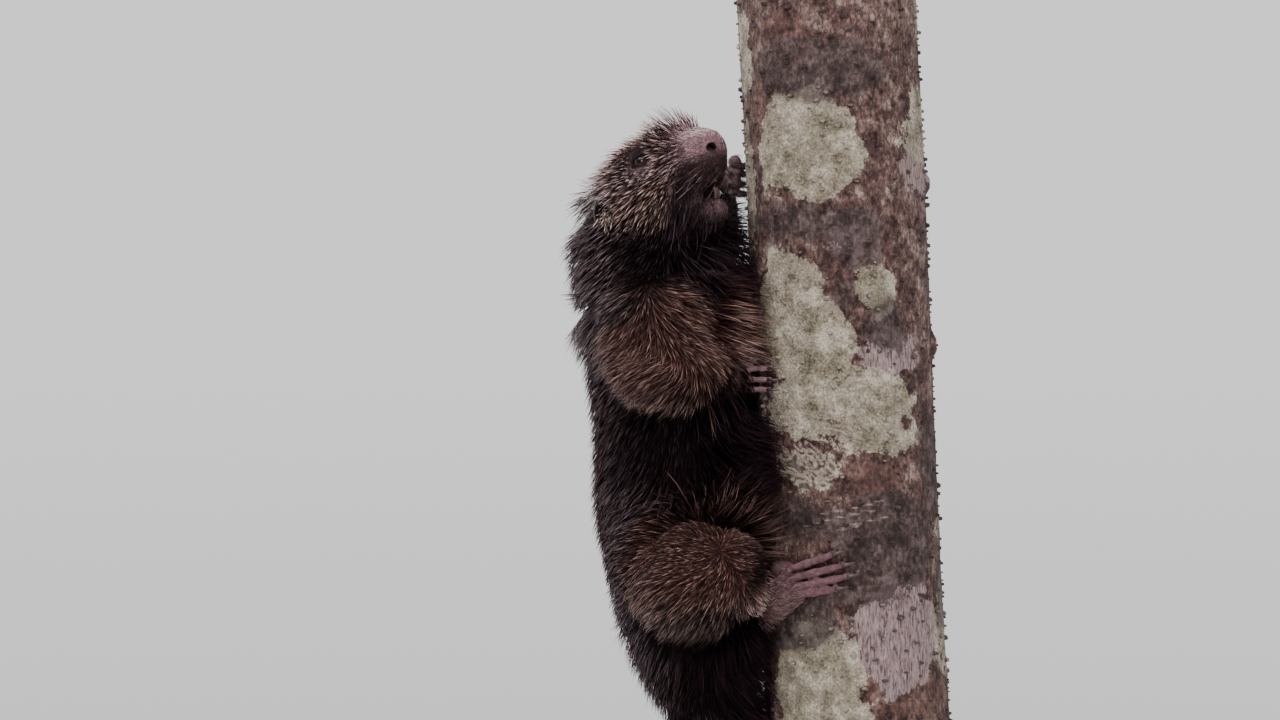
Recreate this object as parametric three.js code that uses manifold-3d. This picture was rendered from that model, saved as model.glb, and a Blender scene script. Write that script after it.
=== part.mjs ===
// A life-size still model of a thin-spined porcupine that clings to a cut length of tree trunk.
// Millimetres, +Z up. The origin is the centre of the base's underside. The trunk stands on the
// +X side, the animal holds its -X side with its head up, and its right side faces -Y.

import * as THREE from "three";
import { mergeVertices } from "three/addons/utils/BufferGeometryUtils.js";
import Module from "manifold-3d";

const wasm = await Module();
wasm.setup();

// Driving dimensions of the display stand and the cut trunk.
const BASE_LENGTH = 330;
const BASE_WIDTH = 230;
const BASE_HEIGHT = 20;
const BASE_CORNER = 26;
const BASE_BEVEL = 2.5;
const ROD_RADIUS = 6;
const ROD_COLLAR_RADIUS = 11;
const ROD_COLLAR_HEIGHT = 4;
const ROD_SPACING = 60;
const TRUNK_RADIUS = 59;
const TRUNK_FOOT_X = 37.5;
const TRUNK_FOOT_Z = 60;
const TRUNK_TOP_Z = 752;
const TRUNK_LEAN_DEG = 2.6;
const TRUNK_OVAL = 1.3;
const TRUNK_LOBES = 0.9;
const TRUNK_SIDES = 28;
const TRUNK_RINGS = 8;

// Clearance between pieces that touch.
const GAP = 0.35;

// Slivers that joining and cutting leaves are melted into their neighbours up to this size.
const SLIVER = 0.08;

// The head is built about the joint with the neck, and then raised and turned to the viewer.
const HEAD_JOINT = new THREE.Vector3(-132, 0, 600);
const HEAD_RAISE_DEG = 26;
const HEAD_TURN_DEG = 25;
const EYE_RADIUS = 5.9;
const NOSTRIL_RADIUS = 2.6;
const INCISOR_LENGTH = 10;
const INCISOR_RADIUS = 1.5;

// The spines: length on the back, radius at the root, depth of the root, sides of the section.
const SPINE_LENGTH = 20;
const SPINE_RADIUS = 1.3;
const SPINE_ROOT_DEPTH = 3.5;
const SPINE_SIDES = 3;
const SPINE_CLEARANCE = 0.25;

const FINGER_RADIUS = 1.9;
const TOE_RADIUS = 2.4;
const CLAW_LENGTH = 6;

const X_AXIS = new THREE.Vector3(1, 0, 0);
const Y_AXIS = new THREE.Vector3(0, 1, 0);
const Z_AXIS = new THREE.Vector3(0, 0, 1);
const degrees = THREE.MathUtils.degToRad;
const vector = (x, y, z) => new THREE.Vector3(x, y, z);

// One seeded source of chance for all that varies as the real ones do.
function seededRandom(seed) {
  let state = seed;
  return () => {
    state = (state * 1664525 + 1013904223) % 4294967296;
    return state / 4294967296;
  };
}
const random = seededRandom(7);
const between = (low, high) => low + (high - low) * random();

// Solids: a closed three.js geometry becomes a solid that can be joined and cut, and goes back.
function solidOf(geometry) {
  const bare = geometry.clone();
  bare.deleteAttribute("normal");
  bare.deleteAttribute("uv");
  const merged = mergeVertices(bare, 1e-4);
  const mesh = new wasm.Mesh({
    numProp: 3,
    vertProperties: Float32Array.from(merged.attributes.position.array),
    triVerts: Uint32Array.from(merged.index.array),
  });
  return new wasm.Manifold(mesh);
}

function geometryOf(solid) {
  const mesh = solid.getMesh();
  const geometry = new THREE.BufferGeometry();
  geometry.setAttribute("position", new THREE.BufferAttribute(Float32Array.from(mesh.vertProperties), 3));
  geometry.setIndex(new THREE.BufferAttribute(Uint32Array.from(mesh.triVerts), 1));
  geometry.computeVertexNormals();
  return geometry;
}

function largestPiece(solid) {
  return solid.decompose().reduce((best, piece) => (piece.volume() > best.volume() ? piece : best));
}

const joined = (solids) => wasm.Manifold.union(solids);

// The trunk's own surface, which the hands, feet and tail hold on to. The angle starts on the
// animal's side of the trunk and grows towards the viewer, and lift is the height above the bark.
function trunkAxisX(z) {
  return TRUNK_FOOT_X - Math.tan(degrees(TRUNK_LEAN_DEG)) * (z - TRUNK_FOOT_Z);
}

function trunkRadius(angle, z) {
  const oval = TRUNK_OVAL * Math.cos(2 * angle + z / 190);
  return TRUNK_RADIUS + oval + TRUNK_LOBES * Math.sin(3 * angle - z / 85);
}

function onTrunk(angleDeg, z, lift) {
  const angle = degrees(angleDeg);
  const reach = trunkRadius(angle, z) + lift;
  return vector(trunkAxisX(z) - Math.cos(angle) * reach, -Math.sin(angle) * reach, z);
}

function heightAboveBark(point) {
  const dx = trunkAxisX(point.z) - point.x;
  const angle = Math.atan2(-point.y, dx);
  return Math.hypot(dx, point.y) - trunkRadius(angle, point.z);
}

// A fleshy part: a closed form along a curve. Each station is [centre, half width, half depth],
// where width runs along the side direction and depth at right angles to it and to the curve.
class Flesh {
  constructor(stations, { side = Y_AXIS, sides = 14, rings = 10, bluntness = 0.5 }) {
    this.sides = sides;
    this.rings = rings;
    this.side = side;
    this.bluntness = bluntness;
    this.stations = stations;
    this.path = new THREE.CatmullRomCurve3(stations.map((station) => station[0]));
    this.sizes = new THREE.CatmullRomCurve3(stations.map((station) => vector(station[1], station[2], 0)));
    this.samples = this.sampleRings(40);
  }

  // The frame and half sizes at t from 0 to 1, before the ends close.
  frameAt(t) {
    const centre = this.path.getPoint(t);
    const along = this.path.getTangent(t);
    const across = this.side.clone().addScaledVector(along, -this.side.dot(along)).normalize();
    const down = along.clone().cross(across);
    const size = this.sizes.getPoint(t);
    return { centre, along, across, down, width: size.x, depth: size.y };
  }

  // A point on the surface: polar goes from 0 to PI along the form, and round is the angle about it.
  pointAt(polar, round) {
    const frame = this.frameAt((1 - Math.cos(polar)) / 2);
    const closing = Math.max(0, Math.sin(polar) - 1e-12) ** this.bluntness;
    return frame.centre
      .addScaledVector(frame.across, Math.cos(round) * frame.width * closing)
      .addScaledVector(frame.down, Math.sin(round) * frame.depth * closing);
  }

  normalAt(polar, round) {
    const step = 0.01;
    const byPolar = this.pointAt(polar + step, round).sub(this.pointAt(polar - step, round));
    const byRound = this.pointAt(polar, round + step).sub(this.pointAt(polar, round - step));
    const outwards = this.pointAt(polar, round).sub(this.frameAt((1 - Math.cos(polar)) / 2).centre);
    const normal = byPolar.cross(byRound).normalize();
    return normal.dot(outwards) < 0 ? normal.negate() : normal;
  }

  // The same form with every wall moved outwards, for cutting a neighbour clear of it.
  grown(gap) {
    const last = this.stations.length - 1;
    const stations = this.stations.map(([centre, width, depth], index) => {
      const moved = centre.clone();
      if (index === 0) {
        moved.addScaledVector(this.path.getTangent(0), -gap);
      }
      if (index === last) {
        moved.addScaledVector(this.path.getTangent(1), gap);
      }
      return [moved, width + gap, depth + gap];
    });
    const { side, sides, rings, bluntness } = this;
    return new Flesh(stations, { side, sides, rings, bluntness });
  }

  solid() {
    const geometry = new THREE.SphereGeometry(1, this.sides, this.rings);
    const position = geometry.attributes.position;
    for (let index = 0; index < position.count; index += 1) {
      const ring = Math.floor(index / (this.sides + 1));
      const step = (index % (this.sides + 1)) % this.sides;
      const point = this.pointAt((ring / this.rings) * Math.PI, (step / this.sides) * 2 * Math.PI);
      position.setXYZ(index, point.x, point.y, point.z);
    }
    const made = solidOf(geometry);
    return made.volume() > 0 ? made : solidOf(turnedInsideOut(geometry));
  }

  sampleRings(count) {
    return Array.from({ length: count }, (_, index) => {
      const polar = ((index + 0.5) / count) * Math.PI;
      const frame = this.frameAt((1 - Math.cos(polar)) / 2);
      const closing = Math.sin(polar) ** this.bluntness;
      return { ...frame, width: frame.width * closing, depth: frame.depth * closing };
    });
  }

  // About how far a point lies outside the form, or below zero where it is inside.
  distanceTo(point) {
    let nearest = Infinity;
    for (const ring of this.samples) {
      const offset = point.clone().sub(ring.centre);
      const least = Math.min(ring.width, ring.depth);
      const share = Math.hypot(
        offset.dot(ring.across) / ring.width,
        offset.dot(ring.down) / ring.depth,
        offset.dot(ring.along) / least,
      );
      nearest = Math.min(nearest, (share - 1) * least);
    }
    return nearest;
  }

  // Roots spread evenly over the surface, one for each spacing by spacing patch.
  spreadRoots(spacing) {
    const roots = [];
    const turns = (Math.sqrt(5) - 1) / 2;
    const strips = 90;
    let carried = 0;
    for (let strip = 0; strip < strips; strip += 1) {
      const polar = ((strip + 0.5) / strips) * Math.PI;
      const step = this.pointAt(polar + 0.01, 0).distanceTo(this.pointAt(polar - 0.01, 0)) / 0.02;
      const nearest = Math.floor((polar / Math.PI) * this.samples.length);
      const ring = this.samples[Math.min(this.samples.length - 1, nearest)];
      const girth = Math.PI * (ring.width + ring.depth);
      carried += (girth * step * Math.PI) / strips / (spacing * spacing);
      while (carried >= 1) {
        carried -= 1;
        const round = 2 * Math.PI * ((roots.length * turns + 0.03 * random()) % 1);
        roots.push({ polar: polar + between(-0.5, 0.5) * (Math.PI / strips), round });
      }
    }
    return roots;
  }
}

function turnedInsideOut(geometry) {
  const turned = geometry.clone();
  const index = turned.index.array;
  for (let corner = 0; corner < index.length; corner += 3) {
    [index[corner + 1], index[corner + 2]] = [index[corner + 2], index[corner + 1]];
  }
  return turned;
}

function ellipsoid(centre, radii, { sides = 12, rings = 8, turn = new THREE.Quaternion() } = {}) {
  const geometry = new THREE.SphereGeometry(1, sides, rings);
  geometry.scale(radii.x, radii.y, radii.z);
  geometry.applyQuaternion(turn);
  geometry.translate(centre.x, centre.y, centre.z);
  return solidOf(geometry);
}

// A cone from root to tip, for claws, teeth and spines.
function cone(root, tip, radius, sides, tipRadius = 0) {
  const length = root.distanceTo(tip);
  const geometry = new THREE.CylinderGeometry(tipRadius, radius, length, sides, 1);
  geometry.translate(0, length / 2, 0);
  const turn = new THREE.Quaternion().setFromUnitVectors(Y_AXIS, tip.clone().sub(root).normalize());
  geometry.applyQuaternion(turn);
  geometry.translate(root.x, root.y, root.z);
  return solidOf(geometry);
}

// The head's own frame: forward to the nose, left, and up, from the neck joint.
const headTurn = new THREE.Quaternion()
  .setFromAxisAngle(Z_AXIS, degrees(-HEAD_TURN_DEG))
  .multiply(new THREE.Quaternion().setFromAxisAngle(Y_AXIS, degrees(-HEAD_RAISE_DEG)));
const headLeft = Y_AXIS.clone().applyQuaternion(headTurn);
const inHead = (forward, left, up) => vector(forward, left, up).applyQuaternion(headTurn).add(HEAD_JOINT);
const headStation = (forward, up, halfWidth, halfDepth) => [inHead(forward, 0, up), halfWidth, halfDepth];

const skull = new Flesh(
  [
    headStation(-14, 3, 24, 18),
    headStation(4, 0, 29, 26.5),
    headStation(24, 0.5, 31.5, 30),
    headStation(44, 3, 28.5, 29),
    headStation(62, 8, 22.5, 24.5),
    headStation(76, 11.5, 18.5, 19.5),
    headStation(91.5, 11, 14.5, 12.5),
  ],
  { side: headLeft, sides: 18, rings: 13, bluntness: 0.42 },
);
const jaw = new Flesh(
  [
    headStation(16, -16, 20, 14),
    headStation(42, -27, 17.5, 14),
    headStation(59, -29, 13.5, 11),
    headStation(69, -26.5, 9.5, 8),
    headStation(75.2, -24.8, 7, 6),
  ],
  { side: headLeft, sides: 12, rings: 9, bluntness: 0.42 },
);
const muzzle = new Flesh(
  [
    headStation(46, -2, 23, 21),
    headStation(62, -0.5, 19, 16),
    headStation(75, 1, 15.5, 12.5),
    headStation(87, 1, 13, 9.5),
  ],
  { side: headLeft, sides: 14, rings: 9, bluntness: 0.4 },
);

// The trunk of the body, from the nape down to the root of the tail.
const station = (x, z, halfWidth, halfDepth, y = 0) => [vector(x, y, z), halfWidth, halfDepth];
const neck = new Flesh(
  [
    station(-131, 614, 26, 26, -2),
    station(-124, 602, 32, 33, -2),
    station(-115, 586, 37, 40),
    station(-106, 566, 41, 47),
    station(-102, 548, 42, 48),
  ],
  { sides: 18, rings: 8, bluntness: 0.4 },
);
const torso = new Flesh(
  [
    station(-106, 584, 37, 43),
    station(-100, 545, 46, 50),
    station(-93, 490, 48, 48.5),
    station(-90, 435, 52, 47.5),
    station(-87, 386, 50, 46),
    station(-81, 348, 45, 40),
    station(-77, 308, 32, 31),
    station(-73, 284, 24, 24),
  ],
  { sides: 20, rings: 16, bluntness: 0.34 },
);

// The tail hangs down the trunk and sweeps round it towards the viewer.
const tailStation = (angle, z, lift, radius) => [onTrunk(angle, z, lift), radius, radius];
const tail = new Flesh(
  [
    station(-75, 300, 27, 27),
    station(-69, 264, 20, 20),
    station(-60, 230, 15.5, 15.5, -1),
    tailStation(4, 197, 13, 12.5),
    tailStation(14, 168, 11, 10.5),
    tailStation(34, 142, 9.5, 9),
    tailStation(60, 123, 8, 7.5),
    tailStation(88, 112, 6.6, 6.1),
    tailStation(112, 108, 5, 4.5),
  ],
  { side: vector(0.2, 1, 0.1).normalize(), sides: 10, rings: 26, bluntness: 0.25 },
);

// Each limb is two lengths, and ends in a hand or a foot that lies on the bark.
const limb = (stations, side = Y_AXIS) => new Flesh(stations, { side, sides: 12, rings: 8, bluntness: 0.45 });
const limbs = {
  arm_right: limb([
    [vector(-104, -22, 560), 20, 27],
    [vector(-104, -41, 540), 20, 30],
    [vector(-108, -52, 514), 17, 26],
    [vector(-110, -54, 494), 12, 17],
  ]),
  forearm_right: limb([
    [vector(-118, -51, 501), 15, 19],
    [vector(-94, -56, 505), 15, 22],
    [vector(-72, -49, 503), 11.5, 16],
    [vector(-57, -38, 500), 8.5, 11.5],
  ]),
  arm_left: limb([
    [vector(-108, 24, 562), 20, 26],
    [vector(-92, 42, 562), 19, 22],
    [vector(-76, 51, 564), 15, 17],
    [vector(-66, 53, 567), 12, 13],
  ]),
  forearm_left: limb(
    [
      [vector(-67, 54, 557), 15, 16],
      [vector(-65, 48, 580), 14, 15],
      [vector(-59, 37, 605), 10.5, 11.5],
      [vector(-55, 31, 619), 8, 9],
    ],
    X_AXIS,
  ),
  thigh_right: limb([
    [vector(-94, -24, 350), 24, 34],
    [vector(-83, -46, 368), 24, 33],
    [vector(-70, -63, 386), 21, 27],
    [vector(-62, -70, 394), 15, 19],
  ]),
  shin_right: limb([
    [vector(-66, -70, 397), 15, 18],
    [vector(-57, -64, 382), 17, 20],
    [vector(-48, -51, 365), 12.5, 15],
    [vector(-41, -42, 354), 10, 11.5],
  ]),
  thigh_left: limb([
    [vector(-94, 24, 334), 24, 34],
    [vector(-83, 46, 350), 24, 33],
    [vector(-70, 63, 365), 21, 27],
    [vector(-62, 70, 372), 15, 19],
  ]),
  shin_left: limb([
    [vector(-66, 70, 375), 15, 18],
    [vector(-57, 64, 360), 17, 20],
    [vector(-48, 51, 343), 12.5, 15],
    [vector(-41, 42, 332), 10, 11.5],
  ]),
};

// A digit runs down on to the bark and along it, and its claw curves in to the bark.
function digit([rootAngle, rootZ], [tipAngle, tipZ], { side, radius, rootLift }) {
  const steps = [0, 0.3, 0.65, 1];
  const swell = [1.15, 1, 1.05, 0.8];
  const stations = steps.map((share, index) => {
    const angle = rootAngle + (tipAngle - rootAngle) * share;
    const z = rootZ + (tipZ - rootZ) * share;
    const r = radius * swell[index];
    const lift = radius * 1.15 + GAP + (rootLift - radius) * (1 - share) ** 2;
    return [onTrunk(side * angle, z, lift), r, r];
  });
  const flesh = new Flesh(stations, { side: Z_AXIS, sides: 5, rings: 5, bluntness: 0.35 });
  const clawTurn = CLAW_LENGTH / (TRUNK_RADIUS * degrees(1));
  const slope = (tipZ - rootZ) / (tipAngle - rootAngle);
  const clawRoot = onTrunk(side * (tipAngle - 1.5), tipZ - slope * 1.5, radius * 1.3);
  const clawTop = onTrunk(side * (tipAngle + clawTurn * 0.5), tipZ + slope * clawTurn * 0.5, radius * 1.4);
  const clawTip = onTrunk(side * (tipAngle + clawTurn), tipZ + slope * clawTurn, GAP + 0.4);
  return { flesh, claw: [cone(clawRoot, clawTop, radius * 0.6, 3, 1), cone(clawTop, clawTip, 1.1, 3)] };
}

// A hand or a foot: the palm or sole, its pad, and four digits with claws.
function paw({ side, heel, knuckles, palmSize, pad, padRadius, digits, radius, rootLift }) {
  const [heelAngle, heelZ, heelLift] = heel;
  const [knuckleAngle, knuckleZ, knuckleLift] = knuckles;
  const middleAngle = (heelAngle + knuckleAngle) / 2;
  const middleZ = (heelZ + knuckleZ) / 2;
  const middleLift = (heelLift + knuckleLift) / 2;
  const [heelHalf, palmHalf, palmThick] = palmSize;
  const palm = new Flesh(
    [
      [onTrunk(side * heelAngle, heelZ, heelLift), heelHalf, palmThick],
      [onTrunk(side * middleAngle, middleZ, middleLift), palmHalf * 0.95, palmThick],
      [onTrunk(side * knuckleAngle, knuckleZ, knuckleLift), palmHalf, palmThick * 0.8],
    ],
    { side: Z_AXIS, sides: 8, rings: 6, bluntness: 0.35 },
  );
  const padAt = onTrunk(side * pad[0], pad[1], pad[2]);
  const made = digits.map(([root, tip]) => digit(root, tip, { side, radius, rootLift }));
  const forms = [palm, ...made.map(({ flesh }) => flesh)];
  const padSolid = ellipsoid(padAt, padRadius, { sides: 7, rings: 5 });
  const claws = made.flatMap(({ claw }) => claw);
  return { solid: joined([...forms.map((form) => form.solid()), padSolid, ...claws]), forms };
}

const handDigits = (z) => [
  [[19, z + 9.5], [29, z + 9]],
  [[16, z + 4.2], [40, z + 4.8]],
  [[15, z - 2.4], [39, z - 2.6]],
  [[16, z - 8.6], [38, z - 9]],
];
const footDigits = (z) => [
  [[50, z + 18], [78, z + 28.5]],
  [[54, z + 13], [83.5, z + 21.5]],
  [[56, z + 7.5], [86, z + 14.5]],
  [[55, z + 2], [79, z + 6.5]],
];
const HAND_Z = 500;
const LEFT_HAND_Z = 628;
const FOOT_Z = 360;
const LEFT_FOOT_Z = 338;
const handShape = (side, z) => ({
  side,
  heel: [22, z, 22],
  knuckles: [20, z - 0.5, 7],
  palmSize: [8, 9.5, 5.5],
  pad: [22, z + 12, 10.5],
  padRadius: vector(4.5, 4, 4.5),
  digits: handDigits(z),
  radius: FINGER_RADIUS,
  rootLift: 13,
});
const footShape = (side, z) => ({
  side,
  heel: [27, z - 12, 12],
  knuckles: [55, z + 9.5, 5],
  palmSize: [10.5, 12, 6.5],
  pad: [43, z + 17, 5.5],
  padRadius: vector(8.5, 5, 6),
  digits: footDigits(z),
  radius: TOE_RADIUS,
  rootLift: 7.5,
});
const paws = {
  hand_right: paw(handShape(1, HAND_Z)),
  hand_left: paw(handShape(-1, LEFT_HAND_Z)),
  foot_right: paw(footShape(1, FOOT_Z)),
  foot_left: paw(footShape(-1, LEFT_FOOT_Z)),
};

// How the coat lies. Each flow gives the way a spine points at a place, before it lifts.
const bodyFlow = () => vector(-0.45, 0, -0.9);
const neckFlow = () => vector(-0.75, 0, -0.6);
const noseTip = inHead(94, 0, 8);
const headFlow = (point) => point.clone().sub(noseTip).normalize().addScaledVector(Z_AXIS, -0.25);
const awayFrom = (whorl) => (point) => point.clone().sub(whorl).normalize().addScaledVector(Z_AXIS, -0.7);
const forearmFlow = () => vector(-0.5, 0, -0.86);
const raisedFlow = () => vector(-0.3, 0, -0.95);
const tailFlow = () => vector(0.1, 0, -1);
const shoulderFlow = awayFrom(vector(-106, -60, 560));
const farShoulderFlow = awayFrom(vector(-104, 60, 580));
const kneeFlow = awayFrom(vector(-66, -92, 402));
const farKneeFlow = awayFrom(vector(-66, 92, 380));

// The face has no spines: the muzzle, the lips, round the eyes and inside the ears are bare.
const eyePlaces = [-1, 1].map((side) => inHead(43.5, side * 24.5, 17));
const forwardOf = (point) => point.clone().sub(HEAD_JOINT).dot(inHead(1, 0, 0).sub(HEAD_JOINT));
const bareFace = (point) => forwardOf(point) > 66 || eyePlaces.some((eye) => eye.distanceTo(point) < 9.5);

// Where spines grow: the form, the flow, the length against the back's, the lift and the spacing.
const coats = {
  head: { form: skull, flow: headFlow, length: 0.62, lift: 30, spacing: 6.6, bare: bareFace },
  neck: { form: neck, flow: neckFlow, length: 0.85, lift: 33, spacing: 11.2 },
  torso: { form: torso, flow: bodyFlow, length: 1, lift: 34, spacing: 13 },
  tail: { form: tail, flow: tailFlow, length: 0.9, lift: 24, spacing: 11.5 },
  arm_right: { form: limbs.arm_right, flow: shoulderFlow, length: 0.7, lift: 26, spacing: 9.5 },
  arm_left: { form: limbs.arm_left, flow: farShoulderFlow, length: 0.7, lift: 26, spacing: 11 },
  forearm_right: { form: limbs.forearm_right, flow: forearmFlow, length: 0.75, lift: 26, spacing: 7.6 },
  forearm_left: { form: limbs.forearm_left, flow: raisedFlow, length: 0.65, lift: 26, spacing: 10 },
  thigh_right: { form: limbs.thigh_right, flow: kneeFlow, length: 0.8, lift: 26, spacing: 10 },
  thigh_left: { form: limbs.thigh_left, flow: farKneeFlow, length: 0.8, lift: 26, spacing: 11.5 },
  shin_right: { form: limbs.shin_right, flow: kneeFlow, length: 0.7, lift: 26, spacing: 9 },
  shin_left: { form: limbs.shin_left, flow: farKneeFlow, length: 0.7, lift: 26, spacing: 10.5 },
};

// The face, in the head's own frame.
const frameOf = (normal, up) => {
  const out = normal.clone().normalize();
  const across = up.clone().cross(out).normalize();
  const rise = out.clone().cross(across);
  const turned = new THREE.Matrix4().makeBasis(out, across, rise);
  return { out, rise, turn: new THREE.Quaternion().setFromRotationMatrix(turned) };
};
const headWay = (forward, left, up) => vector(forward, left, up).normalize().applyQuaternion(headTurn);

// The eye sits in a socket, and two lids run round it from the inner corner to the outer one.
function eyeOf(side) {
  const centre = inHead(43.5, side * 21.8, 16.8);
  const socket = EYE_RADIUS + GAP + 0.1;
  const { out, rise, turn } = frameOf(headWay(0.32, side * 0.84, 0.44), headWay(0.2, 0, 1));
  const inner = rise.clone().cross(out).multiplyScalar(side > 0 ? -1 : 1).normalize();
  const lid = (height, radius) => {
    const stations = [0, 0.2, 0.4, 0.6, 0.8, 1].map((share) => {
      const turn = Math.PI * share;
      const along = Math.cos(turn) * EYE_RADIUS * 1.02;
      const above = Math.sin(turn) * height;
      const reach = (EYE_RADIUS + GAP + 0.9) ** 2 - along ** 2 - above ** 2;
      const forward = Math.sqrt(Math.max(4, reach));
      const place = centre.clone().addScaledVector(inner, along).addScaledVector(rise, above);
      return [place.addScaledVector(out, forward), radius, radius];
    });
    return new Flesh(stations, { side: out, sides: 5, rings: 8, bluntness: 0.3 }).solid();
  };
  return {
    centre,
    ball: ellipsoid(centre, vector(EYE_RADIUS, EYE_RADIUS, EYE_RADIUS), { sides: 10, rings: 8 }),
    socket: ellipsoid(centre, vector(socket, socket, socket), { sides: 10, rings: 8 }),
    lids: joined([lid(4.7, 1.8), lid(-4.8, 1.5)]),
    orbit: ellipsoid(centre, vector(4.6, 9.5, 8.5), { sides: 10, rings: 7, turn }),
  };
}
const eyes = { eye_right: eyeOf(-1), eye_left: eyeOf(1) };

// The ear is a small round cup that opens forwards and outwards.
function earOf(side) {
  const root = inHead(4, side * 28.5, -3.5);
  const { out, turn } = frameOf(headWay(0.62, side * 0.75, 0.1), headWay(-0.1, side * 0.15, 1));
  const middle = root.clone().addScaledVector(out, 0.5);
  const opening = root.clone().addScaledVector(out, 5.5);
  const cup = ellipsoid(middle, vector(6.5, 7.5, 9.5), { sides: 10, rings: 7, turn });
  const hollow = ellipsoid(opening, vector(5.5, 5, 6.8), { sides: 8, rings: 6, turn });
  const room = ellipsoid(middle, vector(7, 8, 10), { sides: 10, rings: 7, turn });
  return { root, solid: cup.subtract(hollow), room };
}
const ears = { ear_right: earOf(-1), ear_left: earOf(1) };

// A lip is a soft roll that follows the edge of the mouth from one corner round to the other.
function lip(edge, radius) {
  const stations = edge.map(([forward, left, up]) => [inHead(forward, left, up), radius, radius]);
  return new Flesh(stations, { side: headWay(0, 0, 1), sides: 5, rings: 10, bluntness: 0.3 }).solid();
}
const mirroredEdge = (half) => [...half.map(([a, l, p]) => [a, -l, p]).reverse(), ...half.slice(1)];
const upperEdge = [[82, 0, -8], [80, 6, -9], [74, 10.5, -11], [67, 12, -13.5]];
const lowerEdge = [[75.2, 0, -18.2], [73.5, 5, -18], [69.5, 8.5, -17.4], [63, 10.5, -15.8]];
const upperLip = lip(mirroredEdge(upperEdge), 2);
const lowerLip = lip(mirroredEdge(lowerEdge), 2);
const mouthHollow = ellipsoid(inHead(77, 0, -13), vector(8.5, 6.5, 3.4), {
  sides: 10,
  rings: 6,
  turn: headTurn,
});
const nostril = (side) =>
  ellipsoid(inHead(87, side * 9, 8), vector(5, NOSTRIL_RADIUS * 1.2, NOSTRIL_RADIUS), {
    sides: 8,
    rings: 6,
    turn: headTurn.clone().multiply(new THREE.Quaternion().setFromAxisAngle(Z_AXIS, degrees(32 * side))),
  });
const incisor = (forward, left, up, height) => {
  const tip = inHead(forward + height * 0.35, left * 0.9, up + height);
  return cone(inHead(forward, left, up), tip, INCISOR_RADIUS, 5, 0.8);
};

function headCore() {
  const nosePad = ellipsoid(inHead(82, 0, 11), vector(10.5, 13, 14), { sides: 10, rings: 7, turn: headTurn });
  const flesh = joined([skull.solid(), jaw.solid(), muzzle.solid(), nosePad, upperLip, lowerLip]);
  const opened = joined([mouthHollow, nostril(-1), nostril(1)]);
  const faces = Object.values(eyes);
  const lidded = joined([flesh.subtract(opened), ...faces.flatMap(({ orbit, lids }) => [orbit, lids])]);
  const teeth = [-1, 1].flatMap((side) => [
    incisor(70.6, side * 1.8, -22.5, INCISOR_LENGTH),
    incisor(78, side * 1.7, -5, -INCISOR_LENGTH * 0.58),
  ]);
  return joined([lidded, ...teeth]).subtract(joined(faces.map(({ socket }) => socket)));
}

// The trunk: a slightly oval, leaning cylinder with sawn ends and a few knots.
function trunkSolid(lift) {
  const height = TRUNK_TOP_Z - TRUNK_FOOT_Z;
  const reach = TRUNK_RADIUS;
  const geometry = new THREE.CylinderGeometry(reach, reach, height + 2 * lift, TRUNK_SIDES, TRUNK_RINGS);
  geometry.rotateX(Math.PI / 2);
  geometry.translate(0, 0, (TRUNK_TOP_Z + TRUNK_FOOT_Z) / 2);
  const bare = geometry.clone();
  bare.deleteAttribute("normal");
  bare.deleteAttribute("uv");
  const merged = mergeVertices(bare, 1e-3);
  const position = merged.attributes.position;
  for (let index = 0; index < position.count; index += 1) {
    const x = position.getX(index);
    const y = position.getY(index);
    const z = position.getZ(index);
    const share = Math.hypot(x, y) / reach;
    const angle = Math.atan2(-y, -x);
    const radius = (trunkRadius(angle, z) + lift) * share;
    position.setXYZ(index, trunkAxisX(z) - Math.cos(angle) * radius, -Math.sin(angle) * radius, z);
  }
  return solidOf(merged);
}
const knot = (angle, z, size) => ellipsoid(onTrunk(angle, z, -1.5), vector(4.5, size, size * 1.3), {
  sides: 8,
  rings: 6,
  turn: new THREE.Quaternion().setFromAxisAngle(Z_AXIS, Math.PI + degrees(angle)),
});

// The stand: a plate with round corners and a soft edge, and a rod with a collar at its foot.
function standBase() {
  const x = BASE_LENGTH / 2 - BASE_BEVEL - BASE_CORNER;
  const y = BASE_WIDTH / 2 - BASE_BEVEL - BASE_CORNER;
  const shape = new THREE.Shape();
  shape.absarc(x, y, BASE_CORNER, 0, Math.PI / 2);
  shape.absarc(-x, y, BASE_CORNER, Math.PI / 2, Math.PI);
  shape.absarc(-x, -y, BASE_CORNER, Math.PI, Math.PI * 1.5);
  shape.absarc(x, -y, BASE_CORNER, Math.PI * 1.5, Math.PI * 2);
  const geometry = new THREE.ExtrudeGeometry(shape, {
    depth: BASE_HEIGHT - 2 * BASE_BEVEL,
    bevelThickness: BASE_BEVEL,
    bevelSize: BASE_BEVEL,
    bevelSegments: 1,
    curveSegments: 4,
  });
  geometry.translate(0, 0, BASE_BEVEL);
  return solidOf(geometry);
}

function standRod(height) {
  const profile = [
    [0, 0],
    [ROD_COLLAR_RADIUS, 0],
    [ROD_COLLAR_RADIUS, ROD_COLLAR_HEIGHT * 0.6],
    [ROD_RADIUS, ROD_COLLAR_HEIGHT],
    [ROD_RADIUS, height],
    [0, height],
  ].map(([radius, level]) => new THREE.Vector2(radius, level));
  const geometry = new THREE.LatheGeometry(profile, 12);
  geometry.rotateX(Math.PI / 2);
  const made = solidOf(geometry);
  return made.volume() > 0 ? made : solidOf(turnedInsideOut(mergeVertices(geometry)));
}

// One length of a form that is cut square to itself: each cut is [point, way that is kept].
function trimmed(solid, cuts, gap) {
  return cuts.reduce((rest, [point, way]) => rest.trimByPlane(way.toArray(), way.dot(point) + gap), solid);
}
const below = Z_AXIS.clone().negate();
const cutAt = (z, way) => [vector(0, 0, z), way];
const tailCut = (share, sense) => {
  const point = tail.path.getPoint(share);
  return [point, tail.path.getTangent(share).multiplyScalar(sense)];
};

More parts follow.
